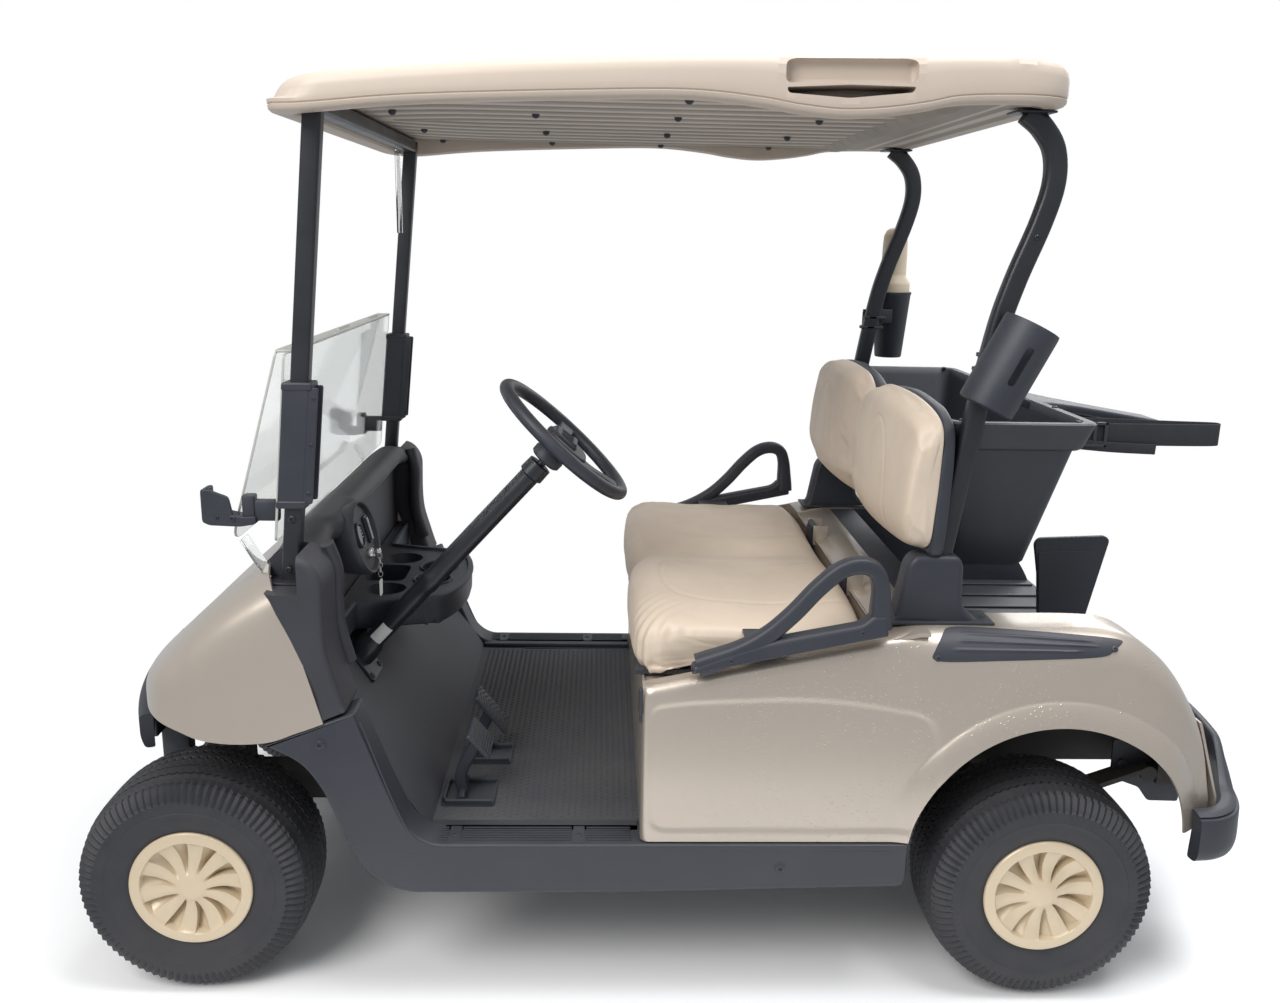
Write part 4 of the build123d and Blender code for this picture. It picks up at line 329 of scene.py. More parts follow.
# %% The cart's finishes
finishes = {
    "champagne": finish(
        "champagne_paint", (0.52, 0.455, 0.385), (0.465, 0.408, 0.35), 0.28, metallic=0.60,
        tone=(2.5, 0.5), bump=(2400.0, 0.03, 0.0), dusty=(0.14, 0.5), wet=0.5, Coat_Weight=0.5,
        Coat_Roughness=0.12,
    ),
    "roof_sand": finish(
        "moulded_sand", (0.56, 0.475, 0.395), (0.51, 0.43, 0.36), 0.42, tone=(3.0, 0.6),
        bump=(900.0, 0.06, 0.05), dusty=(0.1, 0.1),
    ),
    "black_steel": finish(
        "black_powder_coat", (0.016, 0.017, 0.022), (0.024, 0.026, 0.032), 0.30, tone=(14.0, 0.5),
        bump=(1100.0, 0.12, 0.02), dusty=(0.05, 0.3),
    ),
    "chassis_steel": finish(
        "frame_paint", (0.020, 0.020, 0.022), (0.060, 0.052, 0.045), 0.55, tone=(9.0, 0.6),
        bump=(600.0, 0.25, 0.1), dusty=(0.5, 0.6),
    ),
    "black_plastic": finish(
        "textured_black", (0.026, 0.029, 0.039), (0.038, 0.042, 0.054), 0.42, tone=(6.0, 0.7),
        bump=(1000.0, 0.25, 0.05), dusty=(0.10, 0.45),
    ),
    "dash_plastic": finish(
        "dash_grey", (0.030, 0.031, 0.038), (0.042, 0.043, 0.052), 0.50, tone=(7.0, 0.6),
        bump=(1300.0, 0.35, 0.03), dusty=(0.10, 0.2),
    ),
    "floor_mat": finish(
        "mat_rubber", (0.040, 0.043, 0.053), (0.055, 0.058, 0.068), 0.60, tone=(5.0, 0.8),
        bump=(900.0, 0.3, 0.05), dusty=(0.22, 0.2),
    ),
    "tyre_rubber": finish(
        "tyre_rubber", (0.020, 0.021, 0.026), (0.036, 0.036, 0.041), 0.58, tone=(16.0, 0.7),
        bump=(800.0, 0.3, 0.1), dusty=(0.10, 0.25),
    ),
    "wheel_gold": finish(
        "tan_wheel", (0.62, 0.51, 0.36), (0.56, 0.46, 0.32), 0.34, metallic=0.12, tone=(12.0, 0.5),
        bump=(1500.0, 0.04, 0.0), dusty=(0.08, 0.2), Coat_Weight=0.2,
    ),
    "vinyl": finish(
        "sand_vinyl", (0.69, 0.575, 0.455), (0.58, 0.48, 0.385), 0.42, tone=(5.0, 0.7),
        bump=(1500.0, 0.22, 0.10), dusty=(0.0, 0.1),
    ),
    "webbing": finish(
        "black_webbing", (0.020, 0.021, 0.026), (0.032, 0.033, 0.04), 0.75, tone=(30.0, 0.6),
        bump=(1800.0, 0.6, 0.05), dusty=(0.1, 0.1),
    ),
    "battery_case": finish(
        "pack_case", (0.05, 0.05, 0.055), (0.07, 0.07, 0.075), 0.5, dusty=(0.4, 0.7),
    ),
    "cast_axle": finish(
        "cast_housing", (0.035, 0.034, 0.034), (0.07, 0.06, 0.05), 0.6, metallic=0.3,
        bump=(260.0, 0.5, 0.2), dusty=(0.5, 0.6),
    ),
    # The lining is the roof's sand plastic darkened to about 0.6 of its colour: painted shade for
    # the underside.
    "roof_lining": finish(
        "painted_shade_lining", (0.33, 0.285, 0.24), (0.27, 0.235, 0.20), 0.55, tone=(3.0, 0.6),
        bump=(900.0, 0.1, 0.05), dusty=(0.0, 0.1),
    ),
    "bottle": finish(
        "bottle_sand", (0.66, 0.56, 0.42), (0.62, 0.53, 0.40), 0.4, bump=(900.0, 0.05, 0.05),
        dusty=(0.0, 0.1), Subsurface_Weight=0.1,
    ),
    "frosted_strip": finish(
        "frosted_strip", (0.72, 0.72, 0.68), (0.62, 0.62, 0.58), 0.35, tone=(8.0, 0.5),
        dusty=(0.1, 0.1), Transmission_Weight=0.3,
    ),
    "white_print": finish(
        "white_print", (0.75, 0.75, 0.73), (0.66, 0.66, 0.64), 0.5, dusty=(0.0, 0.1),
    ),
    "bright_metal": finish(
        "bright_metal", (0.70, 0.69, 0.67), (0.5, 0.49, 0.47), 0.22, metallic=0.9, dusty=(0.0, 0.1),
    ),
    "meter_glass": finish(
        "meter_glass", (0.012, 0.013, 0.015), (0.02, 0.02, 0.024), 0.08, dusty=(0.0, 0.1),
        Coat_Weight=0.6,
    ),
}
clear_pane = bpy.data.materials.new("clear_pane")
tree = new_nodes(clear_pane)
cloud = add(
    tree, "ShaderNodeGroup", p_node_tree=clouds, Colour=(0.93, 0.95, 0.94, 1),
    Other=(0.86, 0.885, 0.875, 1), Scale=6.0,
)
skin = add(
    tree, "ShaderNodeBsdfPrincipled", [("Base Color", cloud.outputs["Colour"])], Roughness=0.04,
    IOR=1.2, Transmission_Weight=1.0,
)
add(tree, "ShaderNodeOutputMaterial", [(0, skin)])
finishes["clear_pane"] = clear_pane
print("finishes:", len(finishes))

# %% [markdown]
# Every solid of the pack names the slot of its finish in the record, so one loop paints
# them all. Pieces that are rebuilt below hide their solid again.

# %% Paint the solids
for entry in frame["record"]["subparts"]:
    mesh = nodes[entry["node"]].data
    mesh.materials.clear()
    mesh.materials.append(finishes[entry["material_slot"]])

# %% [markdown]
# ## Surfaces from numbers
# Every new piece below is a surface on a grid: an array of points with one row per step
# along one parameter and one column per step along the other. These helpers join the
# neighbours of such a grid into faces, close its ends and put the result into a mesh.

# %% Grids, shells and sweeps
X_AXIS, Y_AXIS, Z_AXIS = (1, 0, 0), (0, 1, 0), (0, 0, 1)


def grid(points, wrap_rows=False, wrap_columns=False, flip=False):
    """Faces between neighbours of a (rows, columns, 3) array, as (points, faces)."""
    rows, columns = points.shape[:2]
    index = np.arange(rows * columns).reshape(rows, columns)
    if wrap_rows:
        index = np.vstack([index, index[:1]])
    if wrap_columns:
        index = np.hstack([index, index[:, :1]])
    quads = np.stack(
        [index[:-1, :-1], index[:-1, 1:], index[1:, 1:], index[1:, :-1]], axis=-1,
    ).reshape(-1, 4)
    if flip:
        quads = quads[:, ::-1]
    return points.reshape(-1, 3), [tuple(q) for q in quads.tolist()]


def tube(rings, flip=False):
    """A closed skin through rings of equal length, with one flat face over each end."""
    points, faces = grid(rings, wrap_columns=True, flip=flip)
    count = rings.shape[1]
    first = tuple(range(count))
    last = tuple(range(len(points) - count, len(points)))
    return points, faces + [first if flip else first[::-1], last[::-1] if flip else last]


def shell(outside, thickness_to):
    """A closed slab between two grids of the same shape, joined round their rim."""
    rows, columns = outside.shape[:2]
    top, top_faces = grid(outside)
    low, low_faces = grid(thickness_to, flip=True)
    index = np.arange(rows * columns).reshape(rows, columns)
    rim = np.concatenate([index[0, :-1], index[:-1, -1], index[-1, :0:-1], index[:0:-1, 0]])
    after = np.roll(rim, -1)
    total = rows * columns
    wall = [(int(b), int(a), int(a) + total, int(b) + total) for a, b in zip(rim, after)]
    faces = top_faces + [tuple(i + total for i in face) for face in low_faces] + wall
    return np.vstack([top, low]), faces


def outward(part):
    """Turns a closed skin's faces so that its signed volume, a sum over triangles of
    a . (b x c), is positive."""
    points, faces = part
    points = np.asarray(points, float)
    first = [face[0] for face in faces for _ in range(len(face) - 2)]
    second = [face[k] for face in faces for k in range(1, len(face) - 1)]
    third = [face[k + 1] for face in faces for k in range(1, len(face) - 1)]
    points = points - points.mean(0)
    volume = np.einsum("ij,ij->i", points[first], np.cross(points[second], points[third])).sum()
    return part if volume > 0 else (part[0], [face[::-1] for face in faces])


def merged(*parts):
    """Several closed skins as one mesh, each turned to face outwards."""
    points, faces, start = [], [], 0
    for part_points, part_faces in map(outward, parts):
        points.append(part_points)
        faces += [tuple(i + start for i in face) for face in part_faces]
        start += len(part_points)
    return np.vstack(points), faces


def mirrored(part):
    """The same skin on the other side of the cart's middle, still facing outwards."""
    points, faces = part
    return points * (1, -1, 1), [face[::-1] for face in faces]


def rounded(corners, radii, steps=6):
    """A closed outline with each corner replaced by an arc that leaves its two runs at the
    given distance, drawn as a quadratic curve: (1-t)^2 start + 2t(1-t) corner + t^2 end."""
    corners = np.asarray(corners, float)
    radii = np.broadcast_to(radii, len(corners))
    before, after = np.roll(corners, 1, 0), np.roll(corners, -1, 0)
    back, ahead = before - corners, after - corners
    back_length = np.linalg.norm(back, axis=1)
    ahead_length = np.linalg.norm(ahead, axis=1)
    reach = np.minimum(radii, 0.48 * np.minimum(back_length, ahead_length))[:, None]
    start = corners + back / back_length[:, None] * reach
    end = corners + ahead / ahead_length[:, None] * reach
    t = np.linspace(0, 1, steps)[None, :, None]
    arc = (1 - t) ** 2 * start[:, None] + 2 * t * (1 - t) * corners[:, None] + t**2 * end[:, None]
    return arc.reshape(-1, corners.shape[1])


def unit(x):
    """x held between 0 and 1."""
    return np.clip(x, 0, 1)


def xyz(x, y, z):
    """Points from three arrays of the same shape, or shapes that stretch to it."""
    return np.stack(np.broadcast_arrays(x, y, z), axis=-1)


def doubled_area(outline):
    """Twice the area of a closed 2-D outline, negative when it runs clockwise."""
    x, y = outline.T
    return np.sum(x * np.roll(y, -1) - y * np.roll(x, -1))


def evenly(outline, count):
    """A closed outline resampled so that its points are evenly spaced along it."""
    closed = np.vstack([outline, outline[:1]])
    run = np.concatenate([[0], np.cumsum(np.linalg.norm(np.diff(closed, axis=0), axis=1))])
    wanted = np.linspace(0, run[-1], count, endpoint=False)
    return np.stack([np.interp(wanted, run, closed[:, k]) for k in range(2)], axis=1)


def at_height(flat, z):
    """2-D points lifted to height z."""
    return np.column_stack([flat, np.full(len(flat), z)])


def outline_normals(outline):
    """Unit normals that point out of a closed 2-D outline, at its points."""
    ahead = np.roll(outline, -1, 0) - outline
    ahead /= np.maximum(np.linalg.norm(ahead, axis=1), 1e-9)[:, None]
    mean = ahead + np.roll(ahead, 1, 0)
    mean /= np.maximum(np.linalg.norm(mean, axis=1), 1e-9)[:, None]
    return np.stack([mean[:, 1], -mean[:, 0]], 1) * np.sign(doubled_area(outline))


def tightest(outline):
    """0.8 of the radius of each convex bend, edge length over turn, shared with its
    neighbours, so that an inset no larger than this can't cross itself."""
    ahead = np.roll(outline, -1, 0) - outline
    length = np.linalg.norm(ahead, axis=1)
    back = np.roll(ahead, 1, 0)
    turn = np.arctan2(back[:, 0] * ahead[:, 1] - back[:, 1] * ahead[:, 0], np.sum(back * ahead, 1))
    turn = turn * np.sign(turn.sum())
    radius = np.minimum(length, np.roll(length, 1)) / np.maximum(turn, 1e-3)
    return 0.8 * np.minimum(np.minimum(radius, np.roll(radius, 1)), np.roll(radius, -1))


def plate(outline, low, high, bevel=0.003, steps=3, place=None):
    """A flat plate with rounded rims: the outline shrinks by bevel (1 - cos a) while it
    rises by bevel sin a. place turns (u, v, height) into row points."""
    normals = outline_normals(outline)
    a = np.linspace(0, pi / 2, steps)
    inset = np.concatenate([(1 - np.cos(a))[::-1], 1 - np.cos(a)])
    height = np.concatenate([
        (low + bevel - bevel * np.sin(a))[::-1], high - bevel + bevel * np.sin(a),
    ])
    reach = np.minimum(bevel, tightest(outline))
    flat = outline[None] - normals[None] * (inset[:, None] * reach)[..., None]
    rings = np.concatenate(
        [flat, np.broadcast_to(height[:, None, None], (*flat.shape[:2], 1))], axis=2,
    )
    return tube(rings if place is None else place(rings), flip=doubled_area(outline) < 0)


def on_side(y):
    """Places (x, z, height) so that height runs outward in Y, from that Y."""
    return lambda p: xyz(p[..., 0], y + p[..., 2], p[..., 1])


def in_frame(origin, u, v, w):
    """Places points counted along three directions from an origin."""
    return lambda p: origin + p[..., :1] * u + p[..., 1:2] * v + p[..., 2:] * w


def and_back(half):
    """Half an outline, then its mirror image walked back to the start."""
    half = np.asarray(half, float)
    return np.vstack([half, half[::-1] * (1, -1)])


def path_frames(path, closed=False, up=Z_AXIS):
    """Unit side and top directions along a path, kept square to it and near to up."""
    path = np.asarray(path, float)
    ahead = np.roll(path, -1, 0) - np.roll(path, 1, 0) if closed else np.gradient(path, axis=0)
    ahead /= np.linalg.norm(ahead, axis=1)[:, None]
    side = np.cross(ahead, np.asarray(up, float))
    side /= np.linalg.norm(side, axis=1)[:, None]
    return side, np.cross(side, ahead)


def sweep(path, section, closed=False, up=Z_AXIS, scale=None):
    """A 2-D section carried along a path: point = path + side u + top v."""
    side, top = path_frames(path, closed, up)
    scale = np.ones(len(path)) if scale is None else scale
    section = np.asarray(section, float)
    u, v = section.T
    rings = (np.asarray(path)[:, None] + side[:, None] * u[None, :, None] * scale[:, None, None]
             + top[:, None] * v[None, :, None] * scale[:, None, None])
    flip = not doubled_area(section) > 0
    return grid(
        rings, wrap_rows=True, wrap_columns=True, flip=flip,
    ) if closed else tube(rings, flip=flip)


def oval(width, height, count=48):
    """An ellipse of those half widths."""
    a = np.arange(count) * 2 * pi / count
    return np.stack([width * np.cos(a), height * np.sin(a)], 1)


def circle(radius, count):
    return oval(radius, radius, count)


def oblong(x0, x1, y0, y1, radius, steps):
    """A rectangle with round corners."""
    return rounded([(x0, y0), (x1, y0), (x1, y1), (x0, y1)], radius, steps)


def soft_box(width, height, radius, steps=4):
    """The outline of a box section with round corners, about its middle."""
    w, h = width / 2, height / 2
    return oblong(-w, w, -h, h, radius, steps)


def smooth_path(points, count=40):
    """A curve through the points, cubic between neighbours, by the Catmull-Rom rule."""
    p = np.asarray(points, float)
    ring = np.vstack([2 * p[0] - p[1], p, 2 * p[-1] - p[-2]])
    spans = len(ring) - 3
    t = np.linspace(0, spans, count)
    k = np.minimum(t.astype(int), spans - 1)
    f = (t - k)[:, None]
    a, b, c, d = ring[k], ring[k + 1], ring[k + 2], ring[k + 3]
    return 0.5 * (
        2 * b + (c - a) * f + (2 * a - 5 * b + 4 * c - d) * f**2 + (3 * b - a - 3 * c + d) * f**3
    )


def lathe(profile, centre, axis, count):
    """A closed skin of revolution: profile rows are (along the axis, radius)."""
    axis = np.asarray(axis, float) / np.linalg.norm(axis)
    first = np.cross(axis, X_AXIS if abs(axis[2]) > 0.9 else Z_AXIS)
    first /= np.linalg.norm(first)
    second = np.cross(axis, first)
    a = np.arange(count) * 2 * pi / count
    ring = np.cos(a)[:, None] * first + np.sin(a)[:, None] * second
    along, radius = np.asarray(profile, float).T
    return np.asarray(centre) + along[:, None, None] * axis + radius[:, None, None] * ring[None]


# %% Putting a skin into the scene
def crisp(mesh, angle):
    """Smooths the mesh below the angle and keeps flat faces of more than four corners flat."""
    mesh.shade_smooth()
    mesh.set_sharp_from_angle(angle=radians(angle))
    corners, edges = np.empty(len(mesh.polygons), np.int32), np.empty(len(mesh.loops), np.int32)
    mesh.polygons.foreach_get("loop_total", corners)
    mesh.loops.foreach_get("edge_index", edges)
    if "sharp_edge" not in mesh.attributes:
        mesh.attributes.new("sharp_edge", "BOOLEAN", "EDGE")
    layer = mesh.attributes["sharp_edge"].data
    sharp = np.empty(len(mesh.edges), bool)
    layer.foreach_get("value", sharp)
    sharp[edges[np.repeat(corners > 4, corners)]] = True
    layer.foreach_set("value", sharp)


def new_object(name, part):
    """An object in the scene with the skin as its mesh."""
    points, faces = outward(part)
    mesh = bpy.data.meshes.new(name)
    mesh.from_pydata(np.asarray(points, float).tolist(), [], faces)
    made = bpy.data.objects.new(name, mesh)
    scene.collection.objects.link(made)
    return made


def piece(name, part, slot, replaces=(), body="chassis", material=None, sharp=38):
    """Makes the object with its slot's finish, or another one, smooths faces that meet
    below the sharp angle, and lets it ride on its body."""
    made = new_object(name, part)
    made.data.validate()
    made.data.materials.append(finishes[material or slot])
    crisp(made.data, sharp)
    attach(made, body)
    if replaces:
        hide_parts(*replaces)
    return made


# %% [markdown]
# Panels need a few more tools: a soft step between two levels, the distance to a drawn
# outline for pressed-in lines, a skin of even thickness under a surface, and the small
# parts that turn up everywhere, which are blocks with round edges and bolt heads.

# %% Panel tools
def step(x, low, high):
    """The smooth step 3t^2 - 2t^3 from 0 at low to 1 at high."""
    t = unit((np.asarray(x, float) - low) / (high - low))
    return t * t * (3 - 2 * t)


def bump(x, middle, width):
    """A bell, exp(-((x - middle) / width)^2)."""
    return np.exp(-(((x - middle) / width) ** 2))


def along(x, points):
    """A smooth curve through (x, value) points, read at x."""
    curve = smooth_path(points, 200)
    order = np.argsort(curve[:, 0])
    return np.interp(x, curve[order, 0], curve[order, 1])


def inside(x, z, outline):
    """Distance to a closed outline, positive inside it: the nearest of its edges, with the
    sign from counting how often a ray crosses them."""
    p = np.stack([np.ravel(x), np.ravel(z)], 1)[:, None]
    a, b = outline[None], np.roll(outline, -1, 0)[None]
    run = b - a
    t = unit(np.sum((p - a) * run, 2) / np.sum(run**2, 2))
    near = np.linalg.norm(p - a - t[..., None] * run, axis=2).min(1)
    spans = (a[..., 1] > p[..., 1]) != (b[..., 1] > p[..., 1])
    rise = np.where(run[..., 1] == 0, 1e-9, run[..., 1])
    hits = spans & (p[..., 0] < a[..., 0] + (p[..., 1] - a[..., 1]) * run[..., 0] / rise)
    return np.where(hits.sum(1) % 2 == 1, near, -near).reshape(np.shape(x))


def thick(points, depth, middle):
    """A closed slab: the grid, and the grid moved by depth along its normals towards the
    side on which middle lies. Normal = dP/du x dP/dv, made unit length."""
    n = np.cross(np.gradient(points, axis=0), np.gradient(points, axis=1))
    n /= np.maximum(np.linalg.norm(n, axis=-1, keepdims=True), 1e-9)
    side = np.sign(np.sum(n * (points - np.asarray(middle))))
    return shell(points, points - side * depth * n)


def block(low, high, bevel=0.002):
    """A box between two corners with round edges."""
    (x0, y0, z0), (x1, y1, z1) = low, high
    return plate(oblong(x0, x1, y0, y1, 2 * bevel, 3), z0, z1, bevel)


def both_sides(*parts):
    """The parts and their mirror images."""
    return merged(*parts, *(mirrored(outward(part)) for part in parts))


def turned(profile, place, axis, count=24):
    """A solid of revolution, closed by a flat face at each end of its profile."""
    return tube(lathe(profile, place, axis, count))


def bolt(place, axis, radius=0.006, head=0.003):
    """A round head with a socket in its middle."""
    return turned(
        [
            (-0.002, 0.3 * radius), (0, radius), (0.5 * head, radius), (head, 0.72 * radius),
            (head, 0.42 * radius), (0.3 * head, 0.38 * radius), (0.3 * head, 0.05 * radius),
        ],
        place, axis, 14,
    )

# %% [markdown]
# ## Tyres
# A golf cart's turf tyre is wide and low, with ribs cut by zigzag grooves and short slits,
# so that it grips without marking grass. The section is a list of half widths and radii.
# Across the tread the columns of the grid are shifted by a triangle wave, so that the
# edges of every groove follow the zigzag exactly, however few columns there are.

# %% Tyre section and zigzag
TYRE_RADIUS = 0.2285
ZIGZAGS = 88
STEPS_A_ZIGZAG = 4
SWAY = 0.0030
GROOVE = 0.0055
SLIT = 0.0035
# (across from the middle, radius, how far the zigzag moves it) from the crown to the bead.
tread_columns = []
for middle in (0.0, 0.027, 0.054):
    for offset, deep in (
        (-0.0022, 0), (-0.0012, 1), (0.0012, 1), (0.0022, 0), (0.0125, 0), (0.0145, 0),
    ):
        across = middle + offset
        if across >= 0:
            crown = TYRE_RADIUS - 0.0015 * (across / 0.06) ** 2 - 0.006 * max(0, across / 0.07) ** 5
            tread_columns.append((across, crown - GROOVE * deep, SWAY))
shoulder_columns = [
    (0.0785, 0.2192, SWAY), (0.0805, 0.2150, SWAY), (0.0825, 0.2135, SWAY), (0.0850, 0.2168, SWAY),
    (0.0920, 0.2085, SWAY), (0.0975, 0.1990, SWAY), (0.1000, 0.1925, 0.002),
    (0.1006, 0.1890, 0.0015), (0.1030, 0.1862, 0.0012), (0.1030, 0.1820, 0.0),
    (0.1026, 0.1700, 0.0), (0.1022, 0.1655, 0.0), (0.1030, 0.1640, 0.0), (0.1022, 0.1625, 0.0),
    (0.1008, 0.1520, 0.0), (0.0975, 0.1360, 0.0), (0.0930, 0.1240, 0.0), (0.0900, 0.1190, 0.0),
    (0.0880, 0.1130, 0.0), (0.0870, 0.1045, 0.0), (0.0820, 0.1030, 0.0),
]
half_section = np.array(tread_columns + shoulder_columns)
section = np.vstack([half_section[:0:-1] * (-1, 1, 1), half_section])
print("tyre section points:", len(section))


def tyre(place_x, place_y):
    """Points = centre + (r cos a, y + sway x triangle(a), r sin a); every fourth step is
    a slit a little lower in the ribs' middles. Mirrored sides sway the same way."""
    steps = ZIGZAGS * STEPS_A_ZIGZAG
    a = np.arange(steps) * 2 * pi / steps
    wave = 2 * np.abs((np.arange(steps) / STEPS_A_ZIGZAG) % 1 - 0.5) * 2 - 1
    across = section[None, :, 0] + wave[:, None] * section[None, :, 2]
    radius = np.broadcast_to(section[None, :, 1], across.shape).copy()
    rib = np.isin(np.round(np.abs(section[:, 0]), 4), (0.0125, 0.0395, 0.0665))
    radius[::STEPS_A_ZIGZAG, rib] -= SLIT
    outer_rise = (section[:, 1] > 0.186) & (section[:, 1] < 0.2) & (np.abs(section[:, 0]) > 0.0995)
    radius[:, outer_rise] += wave[:, None] * 0.0022
    x = place_x + radius * np.cos(a)[:, None]
    z = TYRE_RADIUS + radius * np.sin(a)[:, None]
    return grid(xyz(x, place_y + across, z), wrap_rows=True, wrap_columns=True)


wheels = []
for end in ("front", "rear"):
    for side in ("left", "right"):
        low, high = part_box(f"tyre_{end}_{side}")
        centre = (low + high) / 2
        wheels.append((f"{end}_{side}", centre.x, centre.y, 1 if side == "left" else -1))
        piece(
            f"turf_tyre_{end}_{side}", tyre(centre.x, centre.y), "tyre_rubber",
            [f"tyre_{end}_{side}"], body=f"{end}_{side}_wheel", sharp=30,
        )
print("tyres:", len(wheels))

# %% [markdown]
# ## Wheel covers
# The cover is a pressed plastic disc with ten curved blades between ten scooped openings.
# Seen as a height field over polar coordinates, each tenth of a turn is a blade followed
# by a scoop that falls away steeply behind the blade and climbs gently to the next one.
# The grid's columns follow the blade's edges, which sweep round as they come in.

# %% Cover height field
COVER_RADIUS = 0.119
RING_INSIDE = 0.098
CAP_RADIUS = 0.026
BLADES = 10
BLADE_SHARE = 0.52
COVER_DEPTH = 0.034


def cover(place_x, outer_y, side):
    """For each radius r the blade takes a share of its tenth, wide at the ring and narrow
    at the cap; the angle also turns by a sweep that grows towards the cap. Height =
    dish(r) on the blade, minus scoop x slope(share) x fade(r) in the opening."""
    r = np.array([
        0.0004, 0.010, 0.018, 0.0225, CAP_RADIUS, 0.0285, 0.032, 0.036, 0.042, 0.050, 0.059, 0.068,
        0.077, 0.085, 0.091, 0.0955, RING_INSIDE, 0.0992, 0.102, 0.108, 0.114, 0.1172, COVER_RADIUS,
        COVER_RADIUS,
    ])
    blade_t = np.linspace(0, 1, 7)
    scoop_t = np.array([0.03, 0.10, 0.25, 0.42, 0.6, 0.78, 0.93])
    inward = unit((RING_INSIDE - r) / (RING_INSIDE - CAP_RADIUS))
    blade_share = BLADE_SHARE + 0.24 * inward**1.2
    sweep_turn = radians(3) * inward**1.2
    blade_angle = blade_t[None] * blade_share[:, None]
    scoop_angle = blade_share[:, None] + scoop_t[None] * (1 - blade_share[:, None])
    share = np.concatenate(
        [blade_angle, scoop_angle], axis=1,
    ) - 0.5 * (blade_share - BLADE_SHARE)[:, None]
    dish = -0.010 * np.sin(pi * unit((r - CAP_RADIUS) / (RING_INSIDE - CAP_RADIUS)))
    dome = 0.0035 * np.sqrt(unit(1 - (r / CAP_RADIUS) ** 2)) - 0.004 * (r < RING_INSIDE)
    rim_fall = np.array([0.0] * (len(r) - 3) + [-0.0008, -0.003, -0.012])
    fade = unit((r - 0.0285) / 0.02) * unit((RING_INSIDE + 0.0002 - r) / 0.0025)
    depth = np.concatenate([np.zeros(7), 0.018 * (1 - scoop_t) ** 0.75 + 0.001])
    crown = np.concatenate([0.0022 * np.sin(pi * blade_t), np.zeros(7)])
    rise = crown[None] * unit((r - 0.03) / 0.02)[:, None] * (r < RING_INSIDE)[:, None]
    height = (dish + dome + rim_fall)[:, None] - fade[:, None] * depth[None] + rise
    tenth = 2 * pi / BLADES
    angles = np.concatenate(
        [(share + k) * tenth for k in range(BLADES)], axis=1,
    ) + sweep_turn[:, None]
    heights = np.tile(height, (1, BLADES))
    radius = r[:, None] + 0 * heights
    x = place_x - side * radius * np.cos(angles)
    z = TYRE_RADIUS + radius * np.sin(angles)
    front = xyz(x, outer_y + side * heights, z)
    back = front.copy()
    back[..., 1] = outer_y - side * COVER_DEPTH
    back[-1] = front[-1] - (0, side * 0.002, 0)
    return tube(np.concatenate([front, back[::-1]]))


def rim(place_x, place_y, side):
    """The steel rim behind the cover, a turned section with its disc set inward."""
    section = np.array([
        (0.084, 0.100), (0.089, 0.104), (0.0895, 0.1115), (0.092, 0.1118), (0.092, 0.1020),
        (0.060, 0.0995), (0.030, 0.0940), (0.012, 0.0900), (0.010, 0.050), (0.012, 0.033),
        (0.036, 0.031), (0.036, 0.0165), (0.000, 0.0165), (0.000, 0.031), (0.002, 0.050),
        (0.004, 0.0940), (-0.0875, 0.0965), (-0.092, 0.1020), (-0.092, 0.1118), (-0.0895, 0.1115),
        (-0.089, 0.104), (-0.084, 0.100), (-0.06, 0.0995), (0.06, 0.0995),
    ])
    rings = lathe(section, (place_x, place_y, TYRE_RADIUS), (0, side, 0), 64)
    return grid(rings, wrap_rows=True, wrap_columns=True)


for name, x, y, side in wheels:
    face = max(abs(corner.y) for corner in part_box(f"wheel_{name}"))
    piece(
        f"wheel_cover_{name}", cover(x, side * face, side), "wheel_gold", [f"wheel_{name}"],
        body=f"{name}_wheel", sharp=32,
    )
    piece(f"steel_rim_{name}", rim(x, y, side), "chassis_steel", body=f"{name}_wheel")
print("wheel covers and rims:", 2 * len(wheels))

# %% [markdown]
# ## Cushions
# The bench and its backrest are foam under stretched vinyl. Each has two seats' worth of
# swell with a valley between, and a sewn outline round each seat. The form starts as
# closed sections in the side view, set side by side across the cart; towards both ends a
# superellipse draws every section in, so the ends round over. Cloth under a little
# pressure then fills the form out, and the seams are pressed in last.

# %% Cushion form
def cushion_skin(loop, half, centre, squareness, change, stations=96):
    """Sections loop (x, z) at stations y = half x sin-spaced values from -1 to 1. A section
    shrinks about its centre by (1 - |s|^n)^(1/n), with n from squareness for x and z."""
    s = np.sin(np.linspace(-pi / 2, pi / 2, stations)) * 0.9995
    shrink = [(1 - np.abs(s) ** n) ** (1 / n) for n in squareness]
    x = centre[0] + (loop[None, :, 0] - centre[0]) * shrink[0][:, None]
    z = centre[1] + (loop[None, :, 1] - centre[1]) * shrink[1][:, None]
    return outward(tube(change(xyz(x, (half * s)[:, None], z))))


